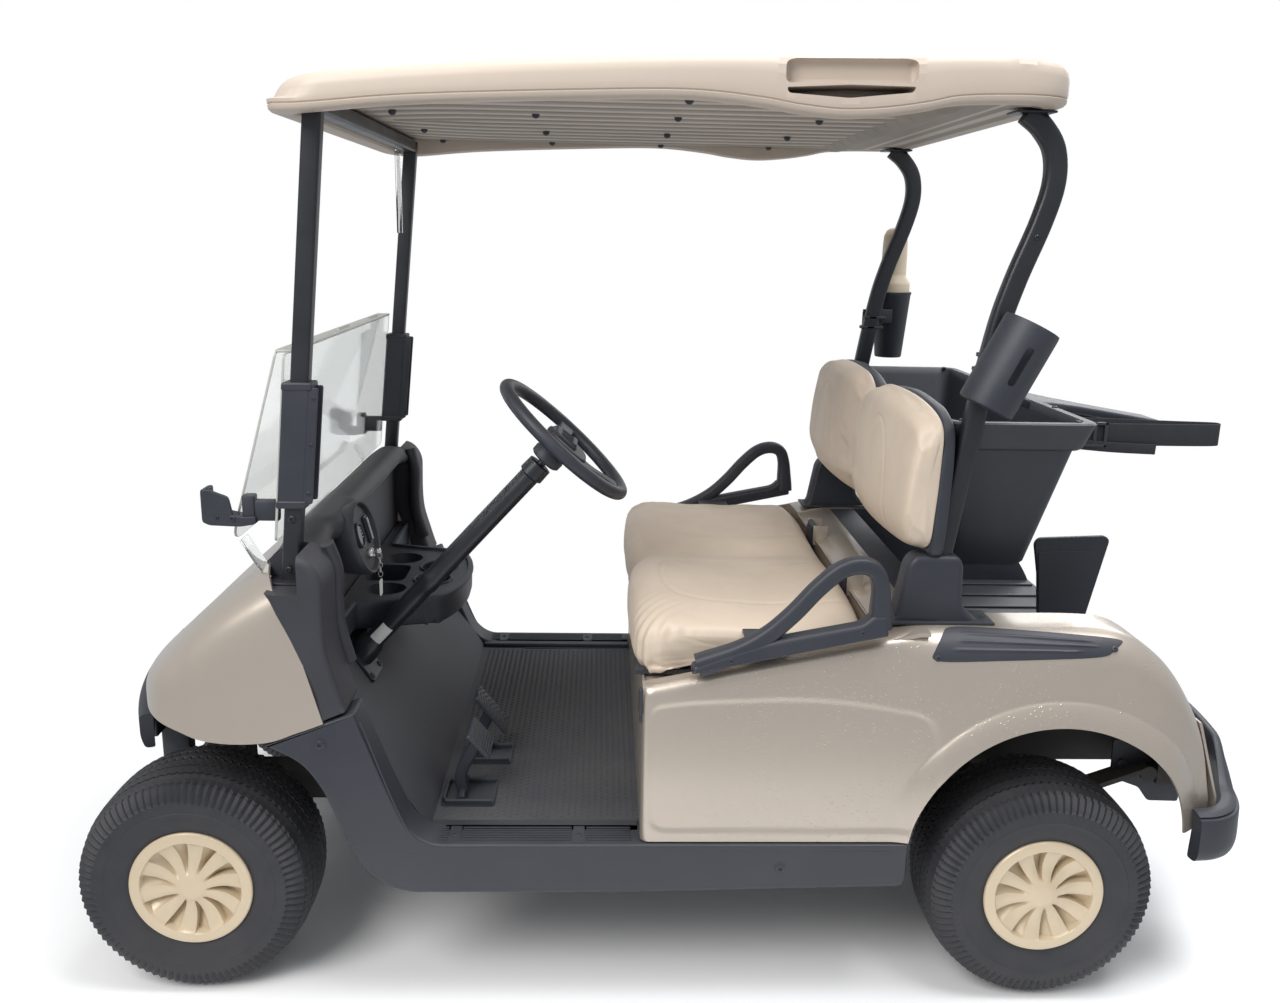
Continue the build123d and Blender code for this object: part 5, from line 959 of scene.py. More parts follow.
def swell(obj, pressure, frames, cap, hold):
    """Cloth with inner pressure and no gravity, its movement cut off at cap metres. hold
    gives each vertex a share from 0, free, to 1, pinned."""
    before = np.array([v.co for v in obj.data.vertices])
    pins = obj.vertex_groups.new(name="held")
    weights = hold(before)
    for index in np.nonzero(weights > 0)[0]:
        pins.add([int(index)], float(weights[index]), "REPLACE")
    cloth = obj.modifiers.new("swell", "CLOTH")
    settings = cloth.settings
    settings.quality = 6
    settings.mass = 0.3
    settings.tension_stiffness = settings.compression_stiffness = 30
    settings.shear_stiffness = 20
    settings.bending_stiffness = 4
    settings.use_pressure = True
    settings.uniform_pressure_force = pressure
    settings.vertex_group_mass = "held"
    settings.effector_weights.gravity = 0
    cloth.point_cache.frame_end = frames
    for number in range(1, frames + 1):
        scene.frame_set(number)
    done = obj.evaluated_get(bpy.context.evaluated_depsgraph_get())
    after = np.array([v.co for v in done.data.vertices])
    obj.modifiers.remove(cloth)
    obj.vertex_groups.clear()
    scene.frame_set(1)
    move = after - before
    length = np.linalg.norm(move, axis=1)
    move *= (np.minimum(length, cap) / np.maximum(length, 1e-9))[:, None]
    obj.data.vertices.foreach_set("co", (before + move).astype(np.float32).ravel())
    obj.data.update()
    print(obj.name, "swelled by at most", round(float(min(length.max(), cap)), 4))


def press(obj, shift):
    """Moves every vertex by shift(points, normals), for seams and folds."""
    obj.data.update()
    count = len(obj.data.vertices)
    points, normals = np.empty(3 * count, np.float32), np.empty(3 * count, np.float32)
    obj.data.vertices.foreach_get("co", points)
    obj.data.vertices.foreach_get("normal", normals)
    points, normals = points.reshape(-1, 3), normals.reshape(-1, 3)
    obj.data.vertices.foreach_set(
        "co", (points + normals * shift(points)[:, None]).astype(np.float32).ravel(),
    )
    obj.data.update()


def along_seam(points, seam, width, depth):
    """A groove -depth x exp(-(d / width)^2) at distance d from a seam line, given as points."""
    start, run = seam[:-1], seam[1:] - seam[:-1]
    nearest = np.full(len(points), 1.0)
    for a, b in zip(start, run):
        t = unit(((points - a) @ b) / (b @ b))
        nearest = np.minimum(nearest, np.linalg.norm(points - (a + t[:, None] * b), axis=1))
    return -depth * np.exp(-((nearest / width) ** 2))


def subdivided(obj):
    """One Catmull-Clark subdivision, applied at once."""
    modifier = obj.modifiers.new("fine", "SUBSURF")
    modifier.levels = modifier.render_levels = 1
    mesh = bpy.data.meshes.new_from_object(obj.evaluated_get(bpy.context.evaluated_depsgraph_get()))
    obj.modifiers.remove(modifier)
    old, obj.data = obj.data, mesh
    bpy.data.meshes.remove(old)
    obj.data.shade_smooth()


# %% Bench cushion
low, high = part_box("seat_cushion")
SEAT_HALF = high.y + 0.010
SEAT_MIDDLE = 0.250
bench_loop = evenly(
    rounded(
        [
            (-0.336, 0.668), (-0.340, 0.776), (-0.10, 0.772), (0.075, 0.782), (0.124, 0.752),
            (0.128, 0.690), (0.112, 0.640), (0.084, 0.648), (0.070, 0.668),
        ],
        [0.010, 0.060, 0.12, 0.06, 0.05, 0.05, 0.016, 0.012, 0.02], 10,
    ),
    120,
)


def two_seats(rings):
    """Lifts the top by 14 mm x cos^2 about each seat's middle and sinks it in the valley,
    and draws the front in by up to 26 mm at the valley."""
    x, y, z = rings[..., 0], rings[..., 1], rings[..., 2]
    over = unit((z - 0.70) / 0.08)
    seat = np.cos(np.clip((np.abs(y) - SEAT_MIDDLE) / 0.23, -1, 1) * pi / 2) ** 2
    valley = np.exp(-((y / 0.055) ** 2))
    front = unit((x - 0.02) / 0.10)
    dip = 1 - unit((-x - 0.20) / 0.14)
    lift = 0.014 * seat - 0.016 * valley * dip
    scoop = -0.010 * seat * np.exp(-(((x + 0.15) / 0.12) ** 2))
    return xyz(x - front * (0.026 * valley + 0.006 * (1 - seat)), y, z + over * (lift + scoop))


bench = piece(
    "bench_cushion", cushion_skin(bench_loop, SEAT_HALF, (-0.1, 0.705), (14, 8), two_seats),
    "vinyl", ["seat_cushion"], body="seat", sharp=180,
)
swell(bench, 2.5, 14, 0.007, lambda p: unit((0.69 - p[:, 2]) / 0.02) * (p[:, 0] < 0.09))
subdivided(bench)
panel = smooth_path(
    [
        (-0.33, 0.385, 0.77), (-0.15, 0.388, 0.77), (0.0, 0.375, 0.77), (0.045, 0.325, 0.77),
        (0.055, 0.25, 0.77), (0.045, 0.165, 0.77), (0.0, 0.122, 0.77), (-0.15, 0.112, 0.77),
        (-0.33, 0.115, 0.77),
    ],
    40,
)


def bench_seams(p):
    """A sewn panel on top of each seat, soft creases, and gathers at the front corners where
    the vinyl is pulled round: ripples that run out from the corner and fade."""
    flat = p * (1, 1, 0)
    flat[:, 1] = np.abs(flat[:, 1])
    on_top = unit((p[:, 2] - 0.72) / 0.03)
    sewn = along_seam(flat, panel * (1, 1, 0), 0.0032, 0.0030) * on_top
    corner = np.array([0.10, SEAT_HALF - 0.03])
    away = np.hypot(p[:, 0] - corner[0], (np.abs(p[:, 1]) - corner[1]) * 0.8)
    turn = np.arctan2(np.abs(p[:, 1]) - corner[1] + 0.20, p[:, 0] - corner[0] + 0.25)
    gathers = 0.0022 * np.sin(turn * 70 + away * 25) * np.exp(
        -((away / 0.075) ** 2)
    ) * (p[:, 2] < 0.79)
    creases = 0.0012 * np.sin(p[:, 0] * 60 + np.sin(p[:, 1] * 23) * 1.7) * np.exp(
        -(((np.abs(p[:, 1]) - 0.45) / 0.07) ** 2)
    )
    return sewn + gathers + creases * on_top


press(bench, bench_seams)
print("bench cushion points:", len(bench.data.vertices))

# %% Backrest cushion
low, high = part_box("seat_back_cushion")
BACK_HALF = high.y + 0.004
back_loop = evenly(
    rounded(
        [
            (-0.440, 0.897), (-0.400, 0.900), (-0.374, 0.950), (-0.380, 1.06), (-0.398, 1.168),
            (-0.450, 1.176), (-0.447, 1.03),
        ],
        [0.006, 0.04, 0.06, 0.08, 0.035, 0.006, 0.0], 10,
    ),
    110,
)


def two_backs(rings):
    """The top edge dips 34 mm between the seats and falls away at the sides, and each seat
    swells forward by up to 12 mm."""
    x, y, z = rings[..., 0], rings[..., 1], rings[..., 2]
    up = unit((z - 0.93) / 0.24)
    valley = np.exp(-((y / 0.060) ** 2))
    outer = unit((np.abs(y) - 0.30) / 0.21) ** 2
    forward = unit((x + 0.440) / 0.05)
    seat = np.cos(np.clip((np.abs(y) - SEAT_MIDDLE) / 0.25, -1, 1) * pi / 2) ** 2
    rise = up**2 * (0.006 * seat - 0.034 * valley - 0.010 * outer)
    return xyz(x + forward * (0.012 * seat - 0.014 * valley), y, z + rise)


backrest = piece(
    "backrest_cushion", cushion_skin(back_loop, BACK_HALF, (-0.443, 1.03), (15, 10), two_backs),
    "vinyl", ["seat_back_cushion"], sharp=180,
)
swell(backrest, 1.2, 14, 0.004, lambda p: unit((-0.432 - p[:, 0]) / 0.006))
subdivided(backrest)
arch = smooth_path(
    [
        (-0.38, 0.385, 0.90), (-0.38, 0.375, 0.98), (-0.38, 0.350, 1.07), (-0.38, 0.300, 1.125),
        (-0.38, 0.235, 1.125), (-0.38, 0.185, 1.07), (-0.38, 0.160, 0.98), (-0.38, 0.150, 0.90),
    ],
    36,
)


def back_seams(p):
    """One sewn arch on each seat's back."""
    flat = p * (0, 1, 1)
    flat[:, 1] = np.abs(flat[:, 1])
    facing = unit((p[:, 0] + 0.425) / 0.02)
    return along_seam(flat, arch * (0, 1, 1), 0.0030, 0.0028) * facing


press(backrest, back_seams)
print("backrest points:", len(backrest.data.vertices))
# %% [markdown]
# ## Painted panels
# The cowl is one shell. Its sections across the cart are superellipses, whose flat top
# and upright sides meet in a round shoulder; they lean with the rear seam and shrink into
# the nose. A crest is added over each wheel and the wheel opening gets a flared lip.

# %% Cowl
NOSE_X = 1.162
SKIN = 0.004
COWL_HALF = 0.580
seam_line = [(0.585, 0.691), (0.658, 0.707), (0.748, 0.742), (0.838, 0.779), (0.872, 0.812)]
hood_line = [
    (0.780, 0.885), (0.812, 0.872), (0.885, 0.833), (0.967, 0.770), (1.020, 0.722), (1.090, 0.650),
    (1.145, 0.582), (NOSE_X, 0.560),
]
lower_line = [
    (0.670, 0.596), (0.691, 0.590), (0.740, 0.572), (0.805, 0.551), (0.908, 0.553), (1.025, 0.588),
    (1.080, 0.575), (NOSE_X, 0.548),
]
plan_line = [
    (0.60, COWL_HALF), (0.88, COWL_HALF), (0.955, 0.571), (1.012, 0.546), (1.062, 0.462),
    (1.118, 0.290), (1.150, 0.135), (NOSE_X, 0.004),
]


def cowl():
    """For each row s from the seam to the nose and each angle a over the section:
    v = sin(a)^(2/n), z = low + v (top - low), x = seam(z) (1-s) + nose s and
    y = half(x) cos(a)^(2/n), with n falling from 9 to 4."""
    s = 1 - (1 - np.linspace(0, 1, 90)[:-1, None]) ** 1.6
    a = np.linspace(0, pi, 141)[None]
    n = 9 - 5 * step(s, 0.25, 0.95)
    low = along(0.691 * (1 - s) + NOSE_X * s, lower_line)
    top = along(0.812 * (1 - s) + NOSE_X * s, hood_line)
    z = low + np.abs(np.sin(a)) ** (2 / n) * (top - low)
    x = along(z, seam_line) * (1 - s) + NOSE_X * s
    across = np.sign(np.cos(a)) * np.abs(np.cos(a)) ** (2 / n)
    half = along(x, plan_line)
    crest = bump(
        np.abs(across), 0.82, 0.13,
    ) * step(x, 0.82, 0.93) * (1 - step(x, 1.02, 1.12)) * step(z, 0.66, 0.78)
    lip = bump(z - low, 0.0, 0.022) * (np.abs(across) > 0.9) * (1 - step(x, 1.02, 1.06))
    y = half * across + np.sign(across) * 0.006 * lip
    hollow = bump(across, 0, 0.5) * step(x, 0.84, 0.95)
    return thick(xyz(x, y, z + 0.010 * crest - 0.006 * hollow), SKIN, (0.9, 0, 0.5))


piece("painted_cowl", cowl(), "champagne", ["front_cowl"], sharp=50)

# %% [markdown]
# The rear body's side is a height field over the side view. Its rows follow the length of
# the cart and crowd where the wheel opening is steep, and its columns run from the lower
# edge up the side, over a round shoulder and inwards over the deck. A panel is pressed
# in, 2 mm deep, and the skin flares towards the wheel opening.

# %% Rear body
BODY_HALF = 0.578
BODY_FRONT_X = 0.101
BODY_LOW_Z = 0.345
DECK_Z = 0.764
OPENING_X, OPENING_Z, OPENING_RADIUS = -0.7005, 0.303, 0.285
FLARE_WIDTH = 0.048
TAIL_X = -1.047
TAIL_TURN_X = -0.846
WELL_Y = 0.430
SEAT_WELL_Y = 0.535
SEAT_WELL_REAR_X = -0.352
top_line = [
    (0.15, 0.648), (0.101, 0.658), (-0.10, 0.700), (-0.33, 0.746), (-0.42, DECK_Z), (-0.60, DECK_Z),
    (-0.76, DECK_Z), (-0.83, 0.753), (-0.90, 0.706), (-0.960, 0.640), (-1.012, 0.555),
    (TAIL_X, 0.432), (-1.075, 0.33),
]
tail_plan = [
    (TAIL_TURN_X, BODY_HALF), (-0.900, 0.571), (-0.950, 0.549), (-1.008, 0.516), (-1.030, 0.508),
    (TAIL_X, 0.501),
]
FENDER_ROUND = 0.060
pressed_panel = rounded(
    [
        (0.084, 0.368), (0.084, 0.618), (0.02, 0.628), (-0.24, 0.640), (-0.46, 0.602),
        (-0.478, 0.368),
    ],
    [0.035, 0.02, 0.05, 0.2, 0.05, 0.03], 8,
)


def body_rows():
    """Stations (x, y) of the skin in plan: a round front corner, even steps to the wheel
    opening, equal angles over it, and even steps to the tail."""
    r = 0.018
    a = np.linspace(pi / 2, 0, 7)[:-1]
    front = np.stack([BODY_FRONT_X - r + r * np.sin(a), BODY_HALF - r + r * np.cos(a)], 1)
    edge = np.arcsin((BODY_LOW_Z - OPENING_Z) / OPENING_RADIUS)
    over = OPENING_X + OPENING_RADIUS * np.cos(np.linspace(edge, pi - edge, 72))
    plain = np.linspace(BODY_FRONT_X - r, over[0], 100)[:-1]
    tail = np.linspace(over[-1], TAIL_X, 26)[1:]
    x = np.concatenate([plain, over, tail])
    y = np.where(x > TAIL_TURN_X, BODY_HALF, along(x, tail_plan))
    return np.vstack([front, np.stack([x, y], 1)])


def body_side():
    """Columns: 60 up the side, 9 round the shoulder, 4 over the deck and 3 down the wall of
    the seat's well."""
    rows = body_rows()
    x, y = rows[:, :1], rows[:, 1:]
    reach = np.sqrt(np.clip(OPENING_RADIUS**2 - (x - OPENING_X) ** 2, 0, None))
    low = np.maximum(BODY_LOW_Z, np.where(reach > 0, OPENING_Z + reach, 0))
    top = along(x, top_line)
    inner = np.where(x > SEAT_WELL_REAR_X, SEAT_WELL_Y, WELL_Y)
    shoulder = np.minimum(
        0.026 + (FENDER_ROUND - 0.026) * step(-x, 0.353, 0.45),
        0.6 * np.minimum(top - low, y - inner + 0.001),
    )
    share = np.linspace(0, 1, 60)[None]
    side_z = low + share * (top - shoulder - low)
    away = np.hypot(x - OPENING_X, side_z - OPENING_Z) - OPENING_RADIUS
    flare = 0.0135 * unit(1 - (np.clip(away, 0, None) / FLARE_WIDTH) ** 2) ** 0.75
    plain_x = x + 0 * side_z
    pressed = 0.0022 * step(inside(plain_x, side_z, pressed_panel), -0.004, 0.004)
    lean = 0.016 * step(side_z, 0.46, 0.80)
    side_y = y - lean + flare * step(-x, 0.38, 0.46) - pressed
    a = np.linspace(0, pi / 2, 11)[None, 1:-1]
    round_y = side_y[:, -1:] - shoulder * (1 - np.cos(a))
    round_z = top - shoulder + shoulder * np.sin(a)
    start_y = side_y[:, -1:] - shoulder
    deck_y = start_y + np.linspace(0, 1, 4)[None] * (inner - start_y)
    wall = np.where(x > SEAT_WELL_REAR_X, top - 0.652, 0.010)
    wall_z = top - np.linspace(0, 1, 4)[None, 1:] * wall
    ys = np.concatenate([side_y, round_y, deck_y, inner + 0 * wall_z], axis=1)
    zs = np.concatenate([side_z, round_z, top + 0 * deck_y, wall_z], axis=1)
    return thick(xyz(x, ys, zs), SKIN, (-0.45, 0.46, 0.45))


def seat_box():
    """Walls under the seat, the frame round the hatch, the wall and the strip behind the
    seat, the pressed lower rear panel and the ears of the seat's hinges."""
    walls = [
        block(
            (0.095, -SEAT_WELL_Y - 0.026, BODY_LOW_Z), (BODY_FRONT_X, SEAT_WELL_Y + 0.026, 0.655),
        ),
        block(
            (SEAT_WELL_REAR_X - 0.006, -SEAT_WELL_Y, 0.650), (SEAT_WELL_REAR_X, SEAT_WELL_Y, 0.748),
        ),
        block((0.036, -SEAT_WELL_Y, 0.643), (0.100, SEAT_WELL_Y, 0.650)),
        block((SEAT_WELL_REAR_X, -SEAT_WELL_Y, 0.643), (-0.296, SEAT_WELL_Y, 0.650)),
        plate(
            rounded(
                [
                    (SEAT_WELL_REAR_X, 0.740), (SEAT_WELL_REAR_X, 0.746), (-0.420, DECK_Z),
                    (-0.440, DECK_Z), (-0.440, 0.756), (-0.420, 0.756),
                ],
                0.002, 3,
            ),
            -0.552, 0.552, 0.001, place=on_side(0),
        ),
        plate(
            rounded(
                [
                    (-1.008, 0.562), (-1.014, 0.562), (-1.066, 0.400), (-1.066, 0.352),
                    (-1.061, 0.352), (-1.061, 0.400),
                ],
                0.004, 3,
            ),
            -0.498, 0.498, 0.001, place=on_side(0),
        ),
    ]
    for y in (-1, 1):
        walls.append(
            block(
                (-0.30, min(y * 0.440, y * SEAT_WELL_Y), 0.643),
                (0.04, max(y * 0.440, y * SEAT_WELL_Y), 0.650),
            )
        )
        for end in (-0.039, 0.039):
            centre = y * 0.200 + end
            walls.append(
                block((-0.382, centre - 0.004, 0.734), (-0.346, centre + 0.004, 0.784), 0.001)
            )
        walls.append(
            turned([(-0.04, 0.004), (0.04, 0.004)], (-0.352, y * 0.200, 0.776), Y_AXIS, 16)
        )
    return walls


piece(
    "rear_body_skin", merged(both_sides(body_side()), *seat_box()), "champagne", ["rear_body"],
    sharp=40,
)
print("painted panels done")
# %% [markdown]
# ## Roof
# The roof is a shell of rings. Each ring follows the roof's plan, a rectangle with round
# corners, and steps along the rim's section: up the inside of the rim, round its lower
# lip, over the bead line, up the side and in over the crown. The lower lip follows a
# curve that dips below each handhold.

# %% Roof shell
ROOF_FRONT_X, ROOF_REAR_X, ROOF_HALF = 0.757, -0.613, 0.582
ROOF_CORNER = 0.105
CEILING_Z = 1.705
lip_line = [
    (0.80, 1.660), (0.752, 1.669), (0.680, 1.668), (0.506, 1.684), (0.236, 1.697), (0.049, 1.702),
    (-0.071, 1.693), (-0.138, 1.683), (-0.213, 1.677), (-0.288, 1.682), (-0.354, 1.692),
    (-0.403, 1.702), (-0.486, 1.706), (-0.600, 1.706), (-0.64, 1.708),
]
crown_line = [
    (0.80, 1.721), (0.757, 1.724), (0.676, 1.730), (0.354, 1.756), (0.030, 1.773), (-0.297, 1.782),
    (-0.475, 1.785), (-0.560, 1.779), (-0.613, 1.771), (-0.66, 1.762),
]


def roof_ring(inset, count=320):
    """The plan outline, inset all round: straight sides and quarter-circle corners."""
    x0, x1, y1 = ROOF_REAR_X + inset, ROOF_FRONT_X - inset, ROOF_HALF - inset
    return evenly(oblong(x0, x1, -y1, y1, max(0.006, ROOF_CORNER - inset), 16), count)


def roof_shell():
    """Rings as (inset, blend, lift): z = lip(x) + blend (crown(x) - lip(x)) + lift. The
    front face leans back towards the crown."""
    section = [
        (0.052, 0, 0.034), (0.050, 0, 0.012), (0.046, 0, 0.003), (0.038, 0, 0.0), (0.014, 0, 0.0),
        (0.006, 0, 0.002), (0.002, 0, 0.006), (0.001, 0, 0.011), (0.0035, 0, 0.013),
        (0.001, 0, 0.015), (0.0, 0, 0.020), (0.0, 0.40, 0.0), (0.0, 0.62, 0.0), (0.002, 0.78, 0.0),
        (0.007, 0.90, 0.0), (0.015, 0.965, 0.0), (0.028, 0.995, 0.0), (0.045, 1.0, 0.0015),
        (0.090, 1.0, 0.003), (0.160, 1.0, 0.004), (0.260, 1.0, 0.004), (0.380, 1.0, 0.002),
        (0.480, 1.0, 0.0), (0.560, 1.0, 0.0),
    ]
    rings = []
    for inset, blend, lift in section:
        flat = roof_ring(inset)
        low, high = along(flat[:, 0], lip_line), along(flat[:, 0], crown_line)
        front = step(flat[:, 0], 0.60, 0.75) * blend
        z = low + blend * (high - low) + lift
        rings.append(xyz(flat[:, 0] - 0.030 * front, flat[:, 1], z))
    under = rings[0] * (1, 1, 0) + (0, 0, CEILING_Z + 0.004)
    return tube(np.stack([under, *rings]))


def cut(obj, tools):
    """Takes closed skins out of a finished piece, exactly, and drops the tools."""
    for tool in tools:
        knife = new_object("tool", tool)
        modifier = obj.modifiers.new("cut", "BOOLEAN")
        modifier.operation, modifier.object, modifier.solver = "DIFFERENCE", knife, "EXACT"
        done = bpy.data.meshes.new_from_object(
            obj.evaluated_get(bpy.context.evaluated_depsgraph_get())
        )
        obj.modifiers.remove(modifier)
        old, obj.data = obj.data, done
        bpy.data.meshes.remove(old)
        bpy.data.objects.remove(knife)
    crisp(obj.data, 35)


def roof_tools():
    """The handhold's pocket, the gap behind its grip, and the drain notch, on one side."""
    pocket = rounded(
        [
            (-0.112, 1.729), (-0.331, 1.733), (-0.331, 1.767), (-0.315, 1.771), (-0.128, 1.768),
            (-0.112, 1.763),
        ],
        0.010, 5,
    )
    gap = rounded(
        [
            (-0.118, 1.713), (-0.219, 1.707), (-0.325, 1.718), (-0.329, 1.727), (-0.219, 1.728),
            (-0.114, 1.722),
        ],
        0.006, 5,
    )
    notch = rounded(
        [
            (-0.470, 1.810), (-0.492, 1.783), (-0.506, 1.773), (-0.522, 1.773), (-0.540, 1.783),
            (-0.556, 1.810),
        ],
        0.012, 5,
    )
    return [
        plate(pocket, 0.0, 0.060, 0.010, 4, on_side(0.560)),
        plate(gap, -0.080, 0.040, 0.002, 2, on_side(ROOF_HALF)),
        plate(notch, -0.090, 0.040, 0.002, 2, on_side(ROOF_HALF)),
    ]


roof = piece("roof_shell", roof_shell(), "roof_sand", ["roof"], sharp=40)
tools = roof_tools()
cut(roof, [*tools, *(mirrored(outward(tool)) for tool in tools)])
print("roof faces:", len(roof.data.polygons))

# %% [markdown]
# The underside is a second moulding. Its grooves run the length of the roof and turn
# outwards at the front, where their depth fades. A ridge crosses it over the rear struts
# and small pegs hold it. Its finish is the roof's sand darkened, as painted shade.

# %% Roof lining
def lining():
    """Height = ceiling + 7 mm x a squared wave of (y + bend), with the bend growing as
    0.10 ((x - 0.42) / 0.28)^2 towards the front corner."""
    x = np.linspace(0.700, -0.585, 76)[:, None]
    y = np.linspace(-0.530, 0.530, 241)[None]
    bend = np.sign(y) * 0.10 * unit((x - 0.42) / 0.28) ** 2
    wave = step(np.cos((np.abs(y) + np.abs(bend)) * 2 * pi / 0.088), -0.45, 0.45)
    run = step(x, -0.40, -0.33) * (1 - step(x, 0.64, 0.69)) * step(0.50 - np.abs(y), 0, 0.03)
    behind = step(
        np.cos((x + 0.0 * y) * 2 * pi / 0.045), -0.3, 0.3,
    ) * (1 - step(x, -0.46, -0.44)) * step(x, -0.57, -0.55)
    ridge = 0.011 * (
        step(x, -0.440, -0.425) - step(x, -0.395, -0.380)
    ) * step(0.49 - np.abs(y), 0, 0.02)
    z = CEILING_Z + 0.002 + 0.007 * run * wave + 0.003 * behind - ridge
    return shell(xyz(x, y, z), xyz(x, y, CEILING_Z + 0.014))


# The lining's darker sand colour is painted shade, not a different plastic.
piece("roof_lining", lining(), "roof_sand", material="roof_lining", sharp=60)
pegs = [
    turned(
        [(0.0, 0.004), (0.001, 0.008), (0.006, 0.007), (0.009, 0.003)], (x, y, CEILING_Z + 0.003),
        (0, 0, -1), 12,
    )
    for x in (0.60, 0.32, 0.04, -0.24)
    for y in (-0.505, -0.2, 0.2, 0.505)
]
piece("lining_pegs", merged(*pegs), "black_plastic")
# %% [markdown]
# ## Struts and windshield
# The front struts are square tubes that lean back; the rear ones are flattened tubes with
# an S bend, swept along one smooth curve. A sleeve clasps each front strut and carries
# the folded windshield between two clips.

# %% Front struts and sleeves
STRUT_Y = 0.490
REAR_STRUT_Y = 0.470


def strut_x(z):
    """The front face of a front strut, a straight line from (0.779, 0.832) to (0.698, 1.674)."""
    return 0.779 + (z - 0.832) * (0.698 - 0.779) / (1.674 - 0.832)


def slanted(low_z, high_z, front, rear, radius=0.004):
    """An outline in the side view that leans with the strut, from front to rear of its face."""
    return rounded(
        [
            (strut_x(low_z) + front, low_z), (strut_x(high_z) + front, high_z),
            (strut_x(high_z) + rear, high_z), (strut_x(low_z) + rear, low_z),
        ],
        radius, 3,
    )


def strut_tube():
    """The left strut, a square tube with a bevel along its edges."""
    lean = np.array([[strut_x(z) - 0.0165, STRUT_Y, z] for z in (0.770, 1.0, 1.3, 1.6, 1.700)])
    return sweep(lean, soft_box(0.031, 0.033, 0.006), up=X_AXIS)


rail = [(strut_x(1.688) - 0.0165, y, 1.688) for y in np.linspace(-0.475, 0.475, 9)]
piece(
    "front_hoop_tube", merged(both_sides(strut_tube()), sweep(rail, soft_box(0.030, 0.030, 0.006))),
    "black_steel", ["front_hoop"],
)
feet = [block((0.732, 0.464, 0.836), (0.804, 0.526, 0.843), 0.003),
        bolt((strut_x(0.865) - 0.016, STRUT_Y + 0.022, 0.865), Y_AXIS, 0.006),
        bolt((strut_x(0.960) - 0.016, STRUT_Y + 0.016, 0.960), Y_AXIS, 0.007)]
piece("strut_feet", both_sides(*feet), "black_steel")
sleeves = [
    plate(slanted(0.982, 1.212, 0.012, -0.040, 0.012), -0.022, 0.022, 0.006, 4, on_side(STRUT_Y)),
    plate(
        slanted(0.990, 1.204, -0.036, -0.053, 0.004), -0.0215, -0.0165, 0.0015,
        place=on_side(STRUT_Y),
    ),
    plate(
        slanted(0.990, 1.204, -0.036, -0.053, 0.004), 0.0165, 0.0215, 0.0015,
        place=on_side(STRUT_Y),
    ),
    plate(
        slanted(0.981, 0.996, 0.013, -0.042, 0.004), -0.024, 0.024, 0.003, place=on_side(STRUT_Y),
    ),
    plate(
        slanted(1.199, 1.213, 0.013, -0.042, 0.004), -0.024, 0.024, 0.003, place=on_side(STRUT_Y),
    ),
    *(
        bolt((strut_x(z) - 0.045, STRUT_Y + 0.0215, z), Y_AXIS, 0.004, 0.002)
        for z in (1.01, 1.10, 1.185)
    ),
]
piece("sleeve_pair", both_sides(*sleeves), "black_plastic", ["strut_sleeves"])

# %% Rear struts
rear_line = smooth_path(
    [
        (-0.451, REAR_STRUT_Y, 0.766), (-0.471, REAR_STRUT_Y, 0.90), (-0.502, REAR_STRUT_Y, 1.10),
        (-0.537, REAR_STRUT_Y, 1.310), (-0.563, REAR_STRUT_Y, 1.410), (-0.600, REAR_STRUT_Y, 1.515),
        (-0.6165, REAR_STRUT_Y, 1.585), (-0.611, REAR_STRUT_Y, 1.640),
        (-0.586, REAR_STRUT_Y, 1.678), (-0.556, REAR_STRUT_Y, 1.702),
    ],
    70,
)
rear_tube = sweep(rear_line, soft_box(0.031, 0.039, 0.011, 5), up=X_AXIS)
plates = [
    block((-0.600, REAR_STRUT_Y - 0.030, 1.7005), (-0.530, REAR_STRUT_Y + 0.030, 1.7045), 0.001),
    bolt((-0.539, REAR_STRUT_Y + 0.015, 1.325), (0.2, 1, 0), 0.006),
    bolt((-0.590, REAR_STRUT_Y + 0.0155, 1.49), Y_AXIS, 0.005),
]
piece("rear_strut_tubes", both_sides(rear_tube, *plates), "black_steel", ["rear_struts"])
print("rear strut points:", len(rear_line))

# %% Windshield
PANE_HALF, PANE_THICK, PANE_TOP_Z = 0.468, 0.005, 1.262
PANE_AHEAD = 0.012
HINGE_Z = 1.265
upper_foot = (0.874, 0.903)
hinge_x = strut_x(HINGE_Z) + PANE_AHEAD
upper_x = hinge_x + 0.022
lower_pane = plate(
    oblong(-0.498, 0.498, 0.914, PANE_TOP_Z, 0.012, 5), 0, PANE_THICK, 0.001,
    place=lambda p: xyz(strut_x(p[..., 1]) + PANE_AHEAD + p[..., 2], p[..., 0], p[..., 1]),
)


def frost_rim(pane):
    """Gives the narrow faces round a pane's rim the frosted finish."""
    pane.data.materials.append(finishes["frosted_strip"])
    for face in pane.data.polygons:
        face.material_index = int(len(face.vertices) == 4)


frost_rim(piece("lower_pane", lower_pane, "clear_pane", ["windshield_lower"], sharp=20))


def upper_place(p):
    """The folded pane leans forward from the hinge down to its free edge."""
    x = upper_x + (HINGE_Z - p[..., 1]) * (upper_foot[0] - upper_x) / (HINGE_Z - upper_foot[1])
    return xyz(x + p[..., 2], p[..., 0], p[..., 1])


upper_pane = plate(
    oblong(-PANE_HALF, PANE_HALF, 0.904, PANE_TOP_Z, [0.05, 0.05, 0.01, 0.01], 6), 0, PANE_THICK,
    0.001, place=upper_place,
)
frost_rim(piece("upper_pane", upper_pane, "clear_pane", ["windshield_upper"], sharp=20))
hinge = block((hinge_x - 0.006, -PANE_HALF, 1.2615), (hinge_x + 0.027, PANE_HALF, 1.2670), 0.002)
knuckles = [
    turned([(-0.05, 0.0045), (0.05, 0.0045)], (hinge_x + 0.010, y, 1.2665), Y_AXIS, 14)
    for y in (-0.32, 0, 0.32)
]
piece("hinge_strip", merged(hinge, *knuckles), "clear_pane", material="frosted_strip")


